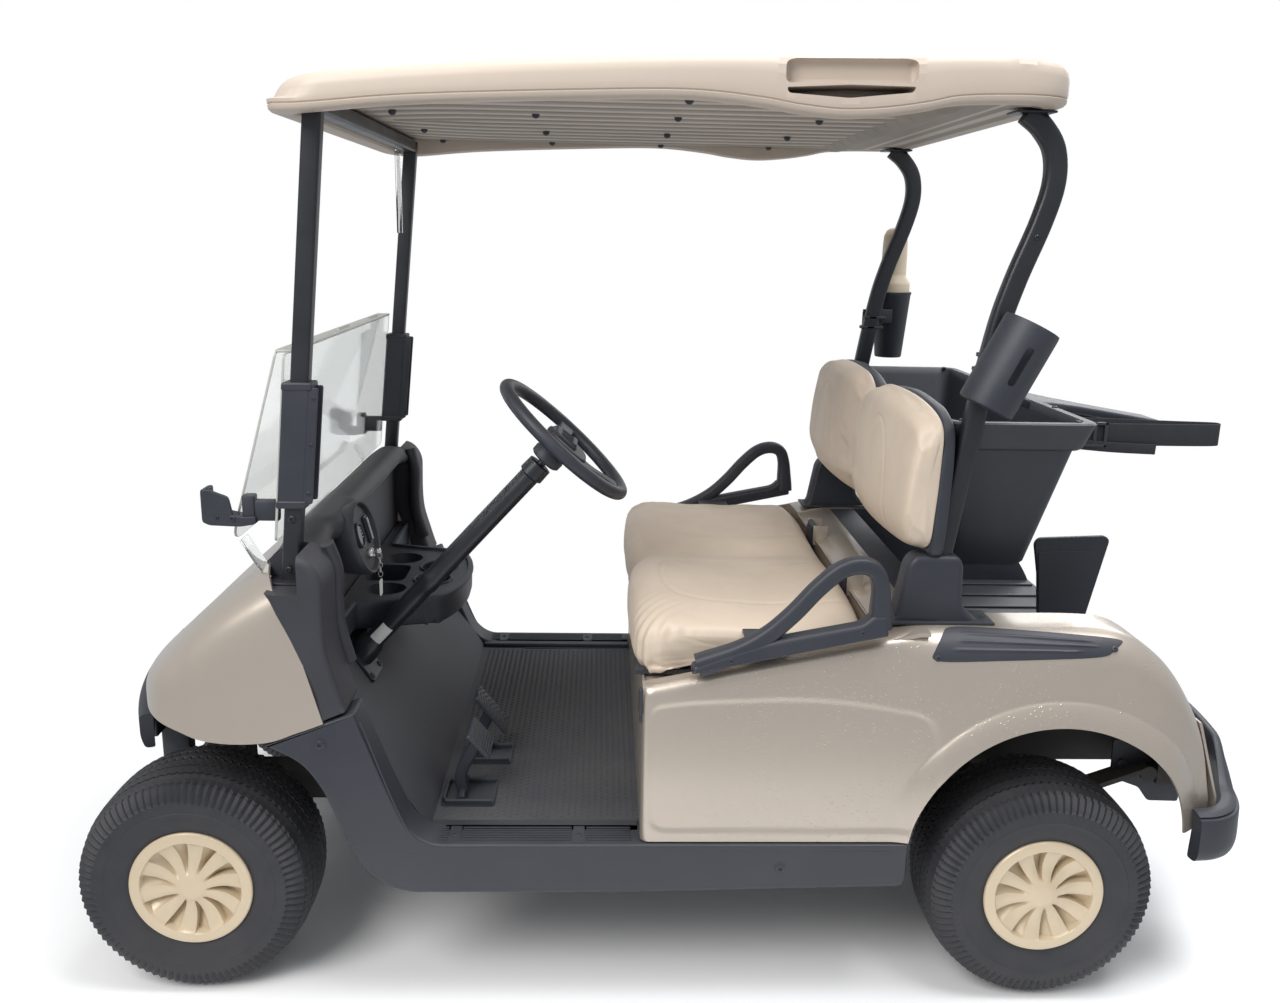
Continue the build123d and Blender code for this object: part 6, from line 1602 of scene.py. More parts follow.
def clip():
    """A C-shaped clip: its jaws hold the folded pane's edge, and a stem runs back to the
    sleeve."""
    jaw = rounded(
        [
            (0.918, 0.950), (0.918, 1.012), (0.905, 1.014), (0.905, 0.972), (0.845, 0.960),
            (0.820, 0.962), (0.820, 0.947), (0.850, 0.942), (0.905, 0.944),
        ],
        0.005, 4,
    )
    cheek = rounded(
        [(0.858, 0.944), (0.918, 0.950), (0.918, 1.010), (0.905, 1.012), (0.868, 0.998)], 0.006, 4,
    )
    return merged(
        plate(jaw, 0.462, 0.497, 0.0012, 3, on_side(0)),
        plate(cheek, 0.490, 0.4975, 0.0012, 3, on_side(0)),
        block((0.778, 0.474, 0.952), (0.826, 0.492, 0.992), 0.004),
        bolt((0.862, 0.4965, 0.958), Y_AXIS, 0.006), bolt((0.890, 0.4965, 0.960), Y_AXIS, 0.004),
        block((0.822, 0.466, 0.9475), (0.846, 0.494, 1.000), 0.003),
    )


piece("pane_clips", both_sides(clip()), "black_plastic", ["windshield_clips"])
bracket = [
    (0.806, 0.470, 0.836), (0.812, 0.470, 0.846), (0.845, 0.470, 0.902), (0.852, 0.470, 0.915),
]
piece(
    "clear_brackets", both_sides(sweep(bracket, soft_box(0.045, 0.004, 0.001), up=X_AXIS)),
    "clear_pane", sharp=20,
)
# %% [markdown]
# ## Floor, sills and pedals
# A rubber mat covers the floor and runs up the toe board. Its nubs are low domes set in
# rows, copies of one small ring pattern. Each sill carries groups of ribs with a
# screw between them, and the rocker below has a rounded lower edge.

# %% Mat and nubs
FLOOR_Z = 0.330
mat_line = [(0.072, 0.0), (0.500, 0.0), (0.525, 0.010), (0.560, 0.058), (0.704, 0.278)]
mat_run = np.array([(x, 0.0, FLOOR_Z + z + 0.0015) for x, z in mat_line])
mat = sweep(smooth_path(mat_run, 40), soft_box(0.966, 0.003, 0.001), up=Z_AXIS)


def nubs():
    """Domes of three rings, 13 by 15 mm apart, every other row shifted by half a step; none under
    the pedals."""
    x, y = np.meshgrid(
        np.arange(0.088, 0.500, 0.0130), np.arange(-0.462, 0.463, 0.0150), indexing="ij",
    )
    y = y + 0.0075 * (np.arange(len(x)) % 2)[:, None]
    free = (np.abs(y - 0.372) > 0.055) | (x < 0.395)
    free &= (np.abs(y - 0.195) > 0.045) | (x < 0.375)
    x, y = x[free], y[free]
    a = np.arange(6) * pi / 3
    rings = [(0.0042, 0.0), (0.0034, 0.0011), (0.0014, 0.0017)]
    parts = [
        xyz(x[:, None] + r * np.cos(a), y[:, None] + r * np.sin(a), FLOOR_Z + 0.0028 + h)
        for r, h in rings
    ]
    points = np.stack(parts, axis=1).reshape(-1, 3)
    k = np.arange(6)
    around = np.stack([k, (k + 1) % 6], 1)
    side = [(i, j, j + 6, i + 6) for i, j in around] + [
        (i + 6, j + 6, j + 12, i + 12) for i, j in around
    ]
    faces = [tuple(int(v) + 18 * n for v in quad) for n in range(len(x)) for quad in side]
    caps = [tuple(range(18 * n + 12, 18 * n + 18)) for n in range(len(x))]
    feet = [tuple(range(18 * n + 5, 18 * n - 1, -1)) for n in range(len(x))]
    return points, faces + caps + feet


ribs = [
    block((0.10, y - 0.003, FLOOR_Z + 0.002), (0.395, y + 0.003, FLOOR_Z + 0.0045), 0.001)
    for y in (-0.478, 0.478)
]
piece("floor_mat", merged(mat, *ribs), "floor_mat", sharp=45)
piece("mat_nubs", nubs(), "floor_mat", sharp=60)

# %% Rockers and sills
ROCKER_Y = 0.505
CREASE_Y = 0.5838
rocker_shape = rounded(
    [
        (-0.419, 0.252), (-0.419, 0.342), (0.505, 0.342), (0.545, 0.375), (0.581, 0.459),
        (0.637, 0.611), (0.805, 0.545), (0.737, 0.510), (0.702, 0.459), (0.660, 0.355),
        (0.626, 0.280), (0.560, 0.238), (0.170, 0.238),
    ],
    [0.02, 0.004, 0.03, 0.03, 0.06, 0.006, 0.008, 0.03, 0.05, 0.05, 0.04, 0.05, 0.10], 7,
)


def rocker():
    """The outer panel, rounded towards its outer face, the sill behind it with its ribs,
    and the screws."""
    parts = [plate(rocker_shape, 0.0, 0.080, 0.006, 6, on_side(ROCKER_Y)),
             block((0.101, 0.489, 0.329), (0.512, 0.532, 0.342), 0.003)]
    for x0, x1 in ((0.118, 0.205), (0.233, 0.446), (0.472, 0.500)):
        for y in np.arange(0.520, 0.5721, 0.0087):
            parts.append(block((x0, y, 0.341), (x1, y + 0.0048, 0.3440), 0.001))
    for x in (0.459, 0.219):
        parts.append(bolt((x, 0.548, 0.342), Z_AXIS, 0.007, 0.0025))
        parts.append(block((x - 0.011, 0.516, 0.3415), (x + 0.011, 0.578, 0.3428), 0.0005))
    crease = [
        (-0.40, CREASE_Y, 0.328), (0.48, CREASE_Y, 0.328), (0.528, CREASE_Y, 0.352),
        (0.566, CREASE_Y, 0.425), (0.624, CREASE_Y, 0.592),
    ]
    parts.append(sweep(smooth_path(crease, 40), soft_box(0.003, 0.003, 0.001), up=Y_AXIS))
    for x, z in ((0.700, 0.548), (-0.172, 0.292)):
        parts.append(bolt((x, 0.585, z), Y_AXIS, 0.009, 0.003))
        parts.append(
            turned([(-0.002, 0.013), (0.0006, 0.013), (0.0006, 0.009)], (x, 0.585, z), Y_AXIS, 20)
        )
    return merged(*parts)


piece(
    "rocker_skins", both_sides(rocker()), "black_plastic", ["rocker_left", "rocker_right"],
    sharp=35,
)

# %% Pedals
def pedal(base_x, y, width, low, high, chevrons):
    """A base with a raised rim, an arm, and a pad from low to high in the side view, leaning
    forward, with ribs straight across it or in chevrons."""
    half = width / 2
    rim_path = [
        (base_x - 0.100, y + half, 0), (base_x - 0.006, y + half, 0), (base_x, y + half - 0.012, 0),
        (base_x, y - half + 0.012, 0), (base_x - 0.006, y - half, 0), (base_x - 0.100, y - half, 0),
    ]
    parts = [
        block(
            (base_x - 0.104, y - half - 0.004, FLOOR_Z + 0.001),
            (base_x + 0.004, y + half + 0.004, FLOOR_Z + 0.008), 0.003,
        ),
        sweep(np.array(rim_path) + (0, 0, FLOOR_Z + 0.012), soft_box(0.008, 0.012, 0.003)),
        turned(
            [(-half - 0.002, 0.008), (half + 0.002, 0.008)], (base_x - 0.036, y, FLOOR_Z + 0.018),
            Y_AXIS, 16,
        ),
    ]
    low, high = np.array(low), np.array(high)
    run = (high - low) / np.linalg.norm(high - low)
    face = np.array([-run[1], run[0]])
    middle = (low + high) / 2 - 0.006 * face
    arm = np.array([
        (base_x - 0.036, y, FLOOR_Z + 0.018), (base_x - 0.034, y, FLOOR_Z + 0.060),
        (middle[0], y, middle[1]),
    ])
    parts.append(sweep(smooth_path(arm, 14), soft_box(0.030, 0.024, 0.005), up=X_AXIS))
    slab = [
        low - 0.004 * face, high - 0.004 * face, high + 0.006 * face - 0.002 * run,
        low + 0.006 * face + 0.002 * run,
    ]
    parts.append(plate(rounded(slab, 0.003, 3), -half, half, 0.003, place=on_side(y)))
    for share in np.linspace(0.08, 0.92, 9):
        x, z = low + share * (high - low) + 0.006 * face
        ahead_x, ahead_z = 0.012 * run
        bends = [
            (x, y - half + 0.004, z), (x + chevrons * ahead_x, y, z + chevrons * ahead_z),
            (x, y + half - 0.004, z),
        ]
        parts.append(sweep(bends, soft_box(0.0035, 0.003, 0.001), up=(face[0], 0, face[1])))
    return merged(*parts)


piece(
    "pedal_pair",
    merged(
        pedal(0.500, 0.372, 0.092, (0.406, 0.436), (0.449, 0.487), 0),
        pedal(0.480, 0.195, 0.070, (0.388, 0.404), (0.455, 0.487), 1),
    ),
    "black_plastic", ["pedals"],
)

# %% [markdown]
# ## Dash
# Two padded arms rise beside the front struts and a bridge joins them under the
# windshield. An oval pod with the switch and the charge meter faces the driver, and a
# bow-fronted tray with two cup holders and two ball pockets hangs below.

# %% Dash arms and bridge
PILLAR_Y = 0.465
arm_shape = rounded(
    [
        (0.698, 0.590), (0.714, 0.656), (0.749, 0.745), (0.786, 0.834), (0.816, 0.866),
        (0.796, 0.892), (0.750, 0.914), (0.708, 0.905), (0.684, 0.868), (0.686, 0.770),
        (0.683, 0.720), (0.658, 0.634), (0.650, 0.609),
    ],
    [0.004, 0.03, 0.03, 0.02, 0.008, 0.02, 0.03, 0.03, 0.04, 0.05, 0.05, 0.05, 0.006], 7,
)
bridge_shape = rounded(
    [
        (0.812, 0.873), (0.792, 0.905), (0.752, 0.934), (0.716, 0.929), (0.702, 0.902),
        (0.713, 0.886), (0.748, 0.882), (0.772, 0.850), (0.780, 0.842),
    ],
    [0.004, 0.012, 0.02, 0.016, 0.012, 0.008, 0.012, 0.01, 0.004], 5,
)


def bridge():
    """The bridge's section at stations across the cart; it drops 22 mm to meet the arms and
    thickens into an eyebrow over the pod."""
    y = np.linspace(-0.480, 0.480, 97)
    drop = 0.022 * step(np.abs(y), 0.36, 0.48)
    brow = step(0.105 - np.abs(y - 0.285), 0, 0.035)
    rear = bridge_shape[None, :, 0] - 0.020 * brow[:, None] * (bridge_shape[None, :, 0] < 0.74)
    return tube(xyz(rear, y[:, None], bridge_shape[None, :, 1] - drop[:, None]))


arm = plate(arm_shape, 0.0, 0.1175, 0.014, 7, on_side(PILLAR_Y))
roll = smooth_path(
    [
        (0.700, 0.470, 0.905), (0.688, 0.455, 0.850), (0.690, 0.452, 0.790), (0.686, 0.455, 0.730),
        (0.668, 0.462, 0.665),
    ],
    30,
)
firewall = block((0.740, -0.470, 0.606), (0.746, 0.470, 0.888), 0.001)
dash_arms = piece("dash_arms", both_sides(arm), "dash_plastic", ["dash"], sharp=42)
ledge = block((0.728, 0.470, 0.838), (0.860, 0.620, 0.960), 0.004)
cut(dash_arms, [ledge, mirrored(outward(ledge))])
piece(
    "dash_bridge",
    merged(both_sides(sweep(roll, circle(0.015, 14), up=Y_AXIS)), bridge(), firewall),
    "dash_plastic", sharp=42,
)

# %% Pod, switch, meter and key
POD_Y = 0.290
pod_centre = np.array([0.666, POD_Y, 0.868])
pod_out = np.array([-0.968, 0.0, 0.25])
pod_up = np.array([0.25, 0.0, 0.968])
across = np.array([0, 1.0, 0])
on_pod = in_frame(pod_centre, across, pod_up, pod_out)


def pod_body():
    """Rings from the dash's wall out to a rolled rim and back to a sunk face."""
    rings = []
    for scale, height in (
        (0.80, -0.060), (0.92, -0.030), (1.0, -0.008), (1.0, 0.002), (0.975, 0.006), (0.93, 0.005),
        (0.90, 0.0), (0.88, -0.004),
    ):
        flat = oval(0.092 * scale, 0.076 * scale)
        rings.append(on_pod(at_height(flat, height)))
    return tube(np.stack(rings))


piece("dash_pod", pod_body(), "dash_plastic")
METER = (0.030, 0.012)
meter_rings = [(0.026, -0.004), (0.026, 0.003), (0.0245, 0.004), (0.0225, 0.003), (0.0220, -0.002)]
meter = tube(np.stack([on_pod(at_height(oval(r, r) + METER, h)) for r, h in meter_rings]))
face = plate(oval(0.0222, 0.0222) + METER, -0.003, 0.0005, 0.0005, place=on_pod)
piece("meter_bezel", merged(meter, plate(oblong(-0.052, -0.028, -0.022, 0.036, 0.004, 4),
                                         -0.003, 0.0015, 0.001, place=on_pod)), "black_plastic")
rocker_switch = plate(oblong(-0.048, -0.032, -0.018, 0.032, 0.003, 4), 0.0, 0.005, 0.002,
                      place=on_pod)
piece("meter_face", merged(face, rocker_switch), "black_plastic", material="meter_glass")
marks = []
for angle in np.linspace(radians(205), radians(-25), 11):
    c, s = cos(angle), sin(angle)
    bar = np.array([(0.015, -0.0007), (0.0195, -0.0007), (0.0195, 0.0007), (0.015, 0.0007)])
    turned_bar = np.stack([bar[:, 0] * c - bar[:, 1] * s, bar[:, 0] * s + bar[:, 1] * c], 1) + METER
    marks.append(plate(turned_bar, 0.0004, 0.0010, 0.0001, 2, on_pod))
marks.append(
    plate(
        np.array([(-0.041, 0.020), (-0.039, 0.020), (-0.039, 0.027), (-0.041, 0.027)]), 0.0045,
        0.0055, 0.0002, 2, on_pod,
    )
)
piece("meter_marks", merged(*marks), "black_plastic", material="white_print")
barrel = [
    turned(
        [(-0.004, 0.011), (0.004, 0.011), (0.007, 0.009), (0.007, 0.003)],
        on_pod(np.array([-0.004, -0.036, 0.0])), pod_out, 20,
    ),
    plate(oblong(-0.009, 0.001, -0.041, -0.031, 0.003, 4), 0.007, 0.022, 0.001, place=on_pod),
]
link_top = on_pod(np.array([-0.004, -0.040, 0.019]))
for k in range(5):
    ring = oval(0.0045, 0.0065, 14)
    spin = k % 2 * pi / 2
    loop = np.stack(
        [ring[:, 0] * cos(spin), ring[:, 0] * sin(spin), ring[:, 1]], 1,
    ) + link_top - (0, 0, 0.008 + 0.0095 * k)
    barrel.append(sweep(loop, circle(0.0009, 6), closed=True, up=(sin(spin) + 0.01, -cos(spin), 0)))
tag = link_top - (0, 0, 0.058)
piece("key_and_chain", merged(*barrel), "black_plastic", material="bright_metal")
piece(
    "key_tag",
    plate(
        rounded([(-0.010, -0.034), (0.010, -0.034), (0.012, 0.0), (-0.012, 0.0)], 0.005, 4),
        -0.0015, 0.0015, 0.001, place=lambda p: tag + xyz(p[..., 2], p[..., 0], p[..., 1]),
    ),
    "black_plastic", material="white_print",
)
print("dash done")

# %% Tray
TRAY_LOW_Z, TRAY_TOP_Z = 0.642, 0.708
CUP_X, CUP_Y, CUP_RADIUS = 0.568, 0.048, 0.0425


def tray_outline(inset=0.0):
    """The tray in plan: a bow to the rear, shoulders, and straight sides to the firewall."""
    bow = [
        (0.560, 0.195), (0.520, 0.170), (0.492, 0.090), (0.483, 0.0), (0.492, -0.090),
        (0.520, -0.170), (0.560, -0.195),
    ]
    curve = smooth_path(bow, 40)
    rest = and_back([(0.640, -0.215), (0.702, -0.235), (0.706, -0.462), (0.738, -0.462)])
    outline = rounded(np.vstack([curve, rest]), 0.006, 3)
    return outline - outline_normals(outline) * np.minimum(inset, tightest(outline))[:, None]


def tray():
    """The side rises from a narrow foot to a rolled rim."""
    rings = []
    for inset, z in (
        (0.014, TRAY_LOW_Z), (0.008, TRAY_LOW_Z + 0.004), (0.004, TRAY_LOW_Z + 0.018),
        (0.003, TRAY_TOP_Z - 0.016), (0.0, TRAY_TOP_Z - 0.008), (0.001, TRAY_TOP_Z - 0.002),
        (0.005, TRAY_TOP_Z), (0.012, TRAY_TOP_Z), (0.015, TRAY_TOP_Z - 0.006),
    ):
        flat = tray_outline(inset)
        rings.append(at_height(flat, z))
    return tube(np.stack(rings))


dash_tray = piece("tray_tub", tray(), "black_plastic", ["dash_tray"], sharp=40)
tray_tools = [
    turned([(-0.056, 0.034), (-0.004, 0.040), (0.050, 0.043)], (CUP_X, y, TRAY_TOP_Z), Z_AXIS, 40)
    for y in (-CUP_Y, CUP_Y)
]
tray_tools += [
    turned(
        [(-0.052, 0.018), (-0.044, 0.030), (-0.010, 0.043), (0.050, 0.046)], (0.660, y, TRAY_TOP_Z),
        Z_AXIS, 40,
    )
    for y in (-0.120, 0.120)
]
tray_tools.append(block((0.632, -0.062, 0.650), (0.724, 0.062, 0.75), 0.010))
cut(dash_tray, tray_tools)
rims = [
    sweep(
        at_height(circle(CUP_RADIUS, 36) + (CUP_X, y), TRAY_TOP_Z - 0.005), circle(0.003, 8),
        closed=True,
    )
    for y in (-CUP_Y, CUP_Y)
]
piece("cup_rims", merged(*rims), "black_plastic")
print("tray faces:", len(dash_tray.data.polygons))
# %% [markdown]
# ## Steering
# The column runs from a plate on the toe board up to the wheel. The wheel is a swept ring
# with three spokes that taper towards it, a deep boss, and a card clip on its centre pad.

# %% Column and wheel
WHEEL_RADIUS = 0.1575
wheel_centre = np.array([0.260, 0.250, 1.070])
steer_out = np.array([-cos(radians(47.5)), 0.0, sin(radians(47.5))])
steer_up = np.array([steer_out[2], 0.0, -steer_out[0]])
on_wheel = in_frame(wheel_centre, across, steer_up, steer_out)
toe_out = np.array([-0.821, 0, 0.572])
on_toe = in_frame(np.array([0.6949, 0.250, 0.5954]), across, np.array([0.572, 0, 0.821]), toe_out)
column = turned(
    [
        (0.071, 0.019), (0.073, 0.026), (0.102, 0.027),
        *((t, 0.0215) for t in np.linspace(0.106, 0.40, 12)), (0.405, 0.0225), (0.43, 0.0225),
        *((t, 0.0205) for t in np.linspace(0.435, 0.59, 6)), (0.600, 0.026), (0.625, 0.030),
        (0.640, 0.030),
    ],
    wheel_centre, -steer_out, 32,
)
shaft = turned([(0.0145, 0.009), (0.072, 0.009)], wheel_centre, -steer_out, 16)
foot_plate = plate(oblong(-0.045, 0.045, -0.058, 0.012, 0.010, 5), 0.0, 0.008, 0.002,
                   place=on_toe)
foot_bolts = [bolt(on_toe(np.array([u, -0.046, 0.008])), toe_out, 0.007) for u in (-0.034, 0.034)]
piece(
    "column_tube", merged(column, shaft, foot_plate, *foot_bolts), "black_steel",
    ["steering_column"],
)
tag_a = np.linspace(radians(-38), radians(38), 9)[None]
tag_run = np.array([-0.548, -0.590])[:, None]
tag_out = xyz(0.0212 * np.cos(tag_a), 0.0212 * np.sin(tag_a), tag_run)
tag_in = tag_out * (0.95, 0.95, 1)
piece(
    "column_tag", shell(on_wheel(tag_out), on_wheel(tag_in)), "black_steel", material="white_print",
    sharp=60,
)
ring = on_wheel(at_height(circle(WHEEL_RADIUS, 96), 0))
grip = circle(0.0148, 20) * (1.0, 0.94)
wheel_parts = [sweep(ring, grip, closed=True, up=steer_out)]
for angle in (0.0, pi, -pi / 2):
    direction = np.array([cos(angle), sin(angle)])
    reach = np.linspace(0.022, 0.150, 12)
    drop = -0.016 + 0.012 * step(reach, 0.05, 0.14)
    path = on_wheel(np.column_stack([reach * direction[0], reach * direction[1], drop]))
    wheel_parts.append(
        sweep(
            path, soft_box(0.040, 0.015, 0.006, 5), up=steer_out,
            scale=1.45 - 0.55 * step(reach, 0.03, 0.10) + 0.25 * step(reach, 0.12, 0.15),
        )
    )
    wheel_parts.append(
        turned(
            [(0.0, 0.003), (0.001, 0.006), (0.003, 0.005)], path[3] + 0.005 * steer_out, steer_out,
            12,
        )
    )
wheel_parts.append(
    turned(
        [
            (-0.062, 0.029), (-0.058, 0.034), (-0.044, 0.0345), (-0.036, 0.030), (-0.026, 0.034),
            (-0.006, 0.040), (0.000, 0.039), (0.004, 0.032),
        ],
        wheel_centre, steer_out, 36,
    )
)
wheel_parts.append(
    plate(
        rounded([(-0.050, -0.062), (0.050, -0.062), (0.078, 0.030), (-0.078, 0.030)], 0.034, 8),
        -0.016, 0.002, 0.006, 4, on_wheel,
    )
)
wheel_parts.append(
    plate(
        rounded([(-0.040, -0.030), (0.040, -0.030), (0.044, 0.026), (-0.044, 0.026)], 0.014, 6),
        -0.002, 0.008, 0.004, 4, on_wheel,
    )
)
for side in (-1, 1):
    loop = at_height(oval(0.011, 0.016, 24) + (side * 0.019, -0.004), 0.0095)
    wheel_parts.append(sweep(on_wheel(loop), circle(0.0016, 8), closed=True, up=steer_out))
wheel_parts.append(plate(oblong(-0.034, 0.034, -0.026, -0.014, 0.004, 4), 0.006, 0.013,
                         0.002, place=on_wheel))
piece(
    "steering_wheel_rim", merged(*wheel_parts), "black_plastic", ["steering_wheel"],
    body="steering", sharp=40,
)
print("steering done")
# %% [markdown]
# ## Seat frame
# Behind the backrest a black shell follows the cushion's two humps. The hip restraints
# are one bar each: it rises from a broad base beside the seat, arches back and comes down
# again behind.

# %% Shell, restraints and pedestals
RESTRAINT_Y = 0.574
hump = [
    (0.500, 0.894), (0.506, 0.960), (0.504, 1.080), (0.488, 1.146), (0.420, 1.172), (0.250, 1.183),
    (0.100, 1.172),
]
hump_radii = [0.02, 0.03, 0.03, 0.03, 0.03, 0.06, 0.04]
other_hump = [(-y, z) for y, z in hump]
hump_line = [other_hump[0], *hump, (0.0, 1.150), *other_hump[:0:-1]]
hump_corners = [hump_radii[0], *hump_radii, 0.04, *hump_radii[:0:-1]]
back_shell = plate(
    rounded(hump_line, hump_corners, 5), 0.0, 0.027, 0.008, 5,
    lambda p: xyz(-0.4395 - 0.035 * (p[..., 1] - 0.90) - p[..., 2], p[..., 0], p[..., 1]),
)
piece("backrest_shell", back_shell, "black_plastic", ["seat_back_shell"])
bar_line = smooth_path(
    [
        (0.000, 0.704), (-0.070, 0.731), (-0.125, 0.765), (-0.172, 0.808), (-0.216, 0.858),
        (-0.256, 0.893), (-0.293, 0.903), (-0.320, 0.892), (-0.331, 0.862), (-0.334, 0.820),
        (-0.336, 0.782),
    ],
    70,
)
bar_scale = 0.92 + 0.30 * step(np.abs(np.linspace(-1, 1, 70)), 0.5, 1.0)
bar_path = np.column_stack([
    bar_line[:, 0], RESTRAINT_Y - 0.018 * np.clip(bar_scale - 1, 0, None), bar_line[:, 1],
])
base_shape = rounded(
    [
        (0.012, 0.693), (0.012, 0.708), (-0.050, 0.733), (-0.110, 0.753), (-0.165, 0.766),
        (-0.300, 0.793), (-0.318, 0.812), (-0.346, 0.812), (-0.350, 0.770),
    ],
    [0.006, 0.008, 0.03, 0.03, 0.04, 0.02, 0.02, 0.008, 0.006], 6,
)
restraint = [
    sweep(bar_path, soft_box(0.034, 0.034, 0.012, 6), up=Y_AXIS, scale=bar_scale),
    plate(base_shape, -0.018, 0.018, 0.009, 5, on_side(RESTRAINT_Y)),
    block((-0.170, 0.4995, 0.657), (-0.090, 0.505, 0.752), 0.001),
    block((-0.170, 0.4995, 0.746), (-0.090, 0.562, 0.752), 0.001),
    bolt((-0.060, 0.5915, 0.722), Y_AXIS, 0.005, 0.002),
    bolt((-0.300, 0.5915, 0.778), Y_AXIS, 0.005, 0.002),
]
piece("restraint_bars", both_sides(*restraint), "black_plastic", ["hip_restraints"], body="seat")
pedestal = rounded(
    [
        (-0.372, 0.765), (-0.384, 0.778), (-0.402, 0.880), (-0.416, 0.898), (-0.500, 0.898),
        (-0.510, 0.880), (-0.512, 0.800), (-0.540, 0.772), (-0.560, 0.765),
    ],
    [0.004, 0.01, 0.03, 0.01, 0.01, 0.01, 0.03, 0.01, 0.003], 5,
)
covers = [
    plate(pedestal, -0.027, 0.027, 0.010, 5, on_side(REAR_STRUT_Y)),
    plate(
        rounded([(-0.366, 0.765), (-0.366, 0.770), (-0.575, 0.770), (-0.575, 0.765)], 0.002, 3),
        -0.038, 0.038, 0.001, place=on_side(REAR_STRUT_Y),
    ),
    bolt((-0.562, REAR_STRUT_Y, 0.770), Z_AXIS, 0.005),
]
piece("strut_pedestals", both_sides(*covers), "black_plastic", ["strut_covers"])

# %% [markdown]
# ## Basket, straps and bag well
# The basket is one skin of rings: up the outside, round the rim and down the inside. A
# tongue reaches back from the rim to carry the bag straps.

# %% Basket
BASKET_TOP_Z = 1.150
TONGUE_ROOT_X = -0.736
def tub_at(share, inset, lift=0.0):
    """The tub's ring at a share of its height, moved in by inset and up by lift."""
    front, rear, half, z = [
        low + share * (high - low)
        for low, high in ((-0.524, -0.482), (-0.693, -0.744), (0.330, 0.446), (0.831, BASKET_TOP_Z))
    ]
    half -= inset
    return at_height(oblong(rear + inset, front - inset, -half, half, 0.035, 10), z + lift)


levels = [
    tub_at(*ring)
    for ring in (
        (0.0, 0.012), (0.006, 0.004), (0.03, 0.0), (0.25, 0.0), (0.5, 0.0), (0.75, 0.0),
        (0.815, 0.0), (0.822, -0.008), (0.83, -0.0105), (0.84, -0.012), (0.92, -0.014),
        (1, -0.016, -0.003), (1, -0.013), (1, 0.002), (1, 0.005, -0.003), (0.94, 0.004),
        (0.5, 0.004), (0.03, 0.004), (0.012, 0.008, 0.004),
    )
]
tongue_half = [
    (TONGUE_ROOT_X, 0.150), (-0.775, 0.120), (-0.830, 0.080), (-0.900, 0.056), (-1.000, 0.048),
    (-1.074, 0.048), (-1.083, 0.040),
]
TONGUE_FALL = 0.056 / 0.347


def on_tongue(p):
    """The tongue falls towards its tip."""
    fall = TONGUE_FALL * (p[..., 0] - TONGUE_ROOT_X)
    return xyz(p[..., 0], p[..., 1], BASKET_TOP_Z + fall + p[..., 2])


tongue = plate(and_back(smooth_path(tongue_half, 40)), -0.019, -0.001, 0.005, 4, on_tongue)
keel = sweep(
    [(-0.742, 0, 1.118), (-0.90, 0, 1.104), (-1.05, 0, 1.085)], soft_box(0.010, 0.022, 0.002),
)
rim_screws = [
    bolt((x, y, BASKET_TOP_Z), Z_AXIS, 0.006) for x in (-0.500, -0.725) for y in (-0.435, 0.435)
]
rim_screws += [bolt((-0.752, y, BASKET_TOP_Z), Z_AXIS, 0.006) for y in (-0.25, 0.25)]
tabs = both_sides(block((-0.530, 0.440, 1.121), (-0.494, 0.4525, 1.1495), 0.003))
piece(
    "basket_tub", merged(tube(np.stack(levels)), tongue, keel, *rim_screws, tabs), "black_plastic",
    ["basket"], sharp=40,
)

# %% Straps
ribbon = soft_box(0.0028, 0.048, 0.0012)
near_curve = smooth_path(
    [
        (-0.757, 0.172), (-0.95, 0.167), (-1.10, 0.165), (-1.150, 0.159), (-1.163, 0.145),
        (-1.150, 0.131), (-1.06, 0.118), (-0.90, 0.090), (-0.757, 0.066),
    ],
    60,
)
near_strap = sweep(at_height(near_curve, 1.081), ribbon)
far_fall = radians(12)
far_curve = smooth_path(
    [
        (0.0, -0.190), (-0.100, -0.206), (-0.200, -0.214), (-0.275, -0.203), (-0.300, -0.163),
        (-0.262, -0.125), (-0.160, -0.098), (0.0, -0.070),
    ],
    60,
)
far_path = np.column_stack([
    -0.7475 + far_curve[:, 0] * cos(far_fall), far_curve[:, 1],
    1.113 + far_curve[:, 0] * sin(far_fall),
])
far_strap = sweep(far_path, ribbon, up=(-sin(far_fall), 0, cos(far_fall)))
tail = sweep(
    smooth_path([(-0.84, 0.173, 1.060), (-0.92, 0.175, 1.054), (-1.014, 0.1735, 1.050)], 16),
    soft_box(0.0024, 0.022, 0.001),
)
piece("strap_ribbons", merged(near_strap, far_strap, tail), "webbing", ["bag_straps"])
buckle = [
    block((x0, 0.1695, z0), (x1, 0.1765, z1), 0.001)
    for x0, x1, z0, z1 in (
        (-0.905, -0.850, 1.054, 1.060), (-0.905, -0.850, 1.102, 1.108),
        (-0.905, -0.897, 1.054, 1.108), (-0.858, -0.850, 1.054, 1.108),
    )
]
buckle.append(block((-0.882, 0.1700, 1.054), (-0.874, 0.1755, 1.108), 0.001))
piece("strap_buckle", merged(*buckle), "webbing", material="black_plastic")

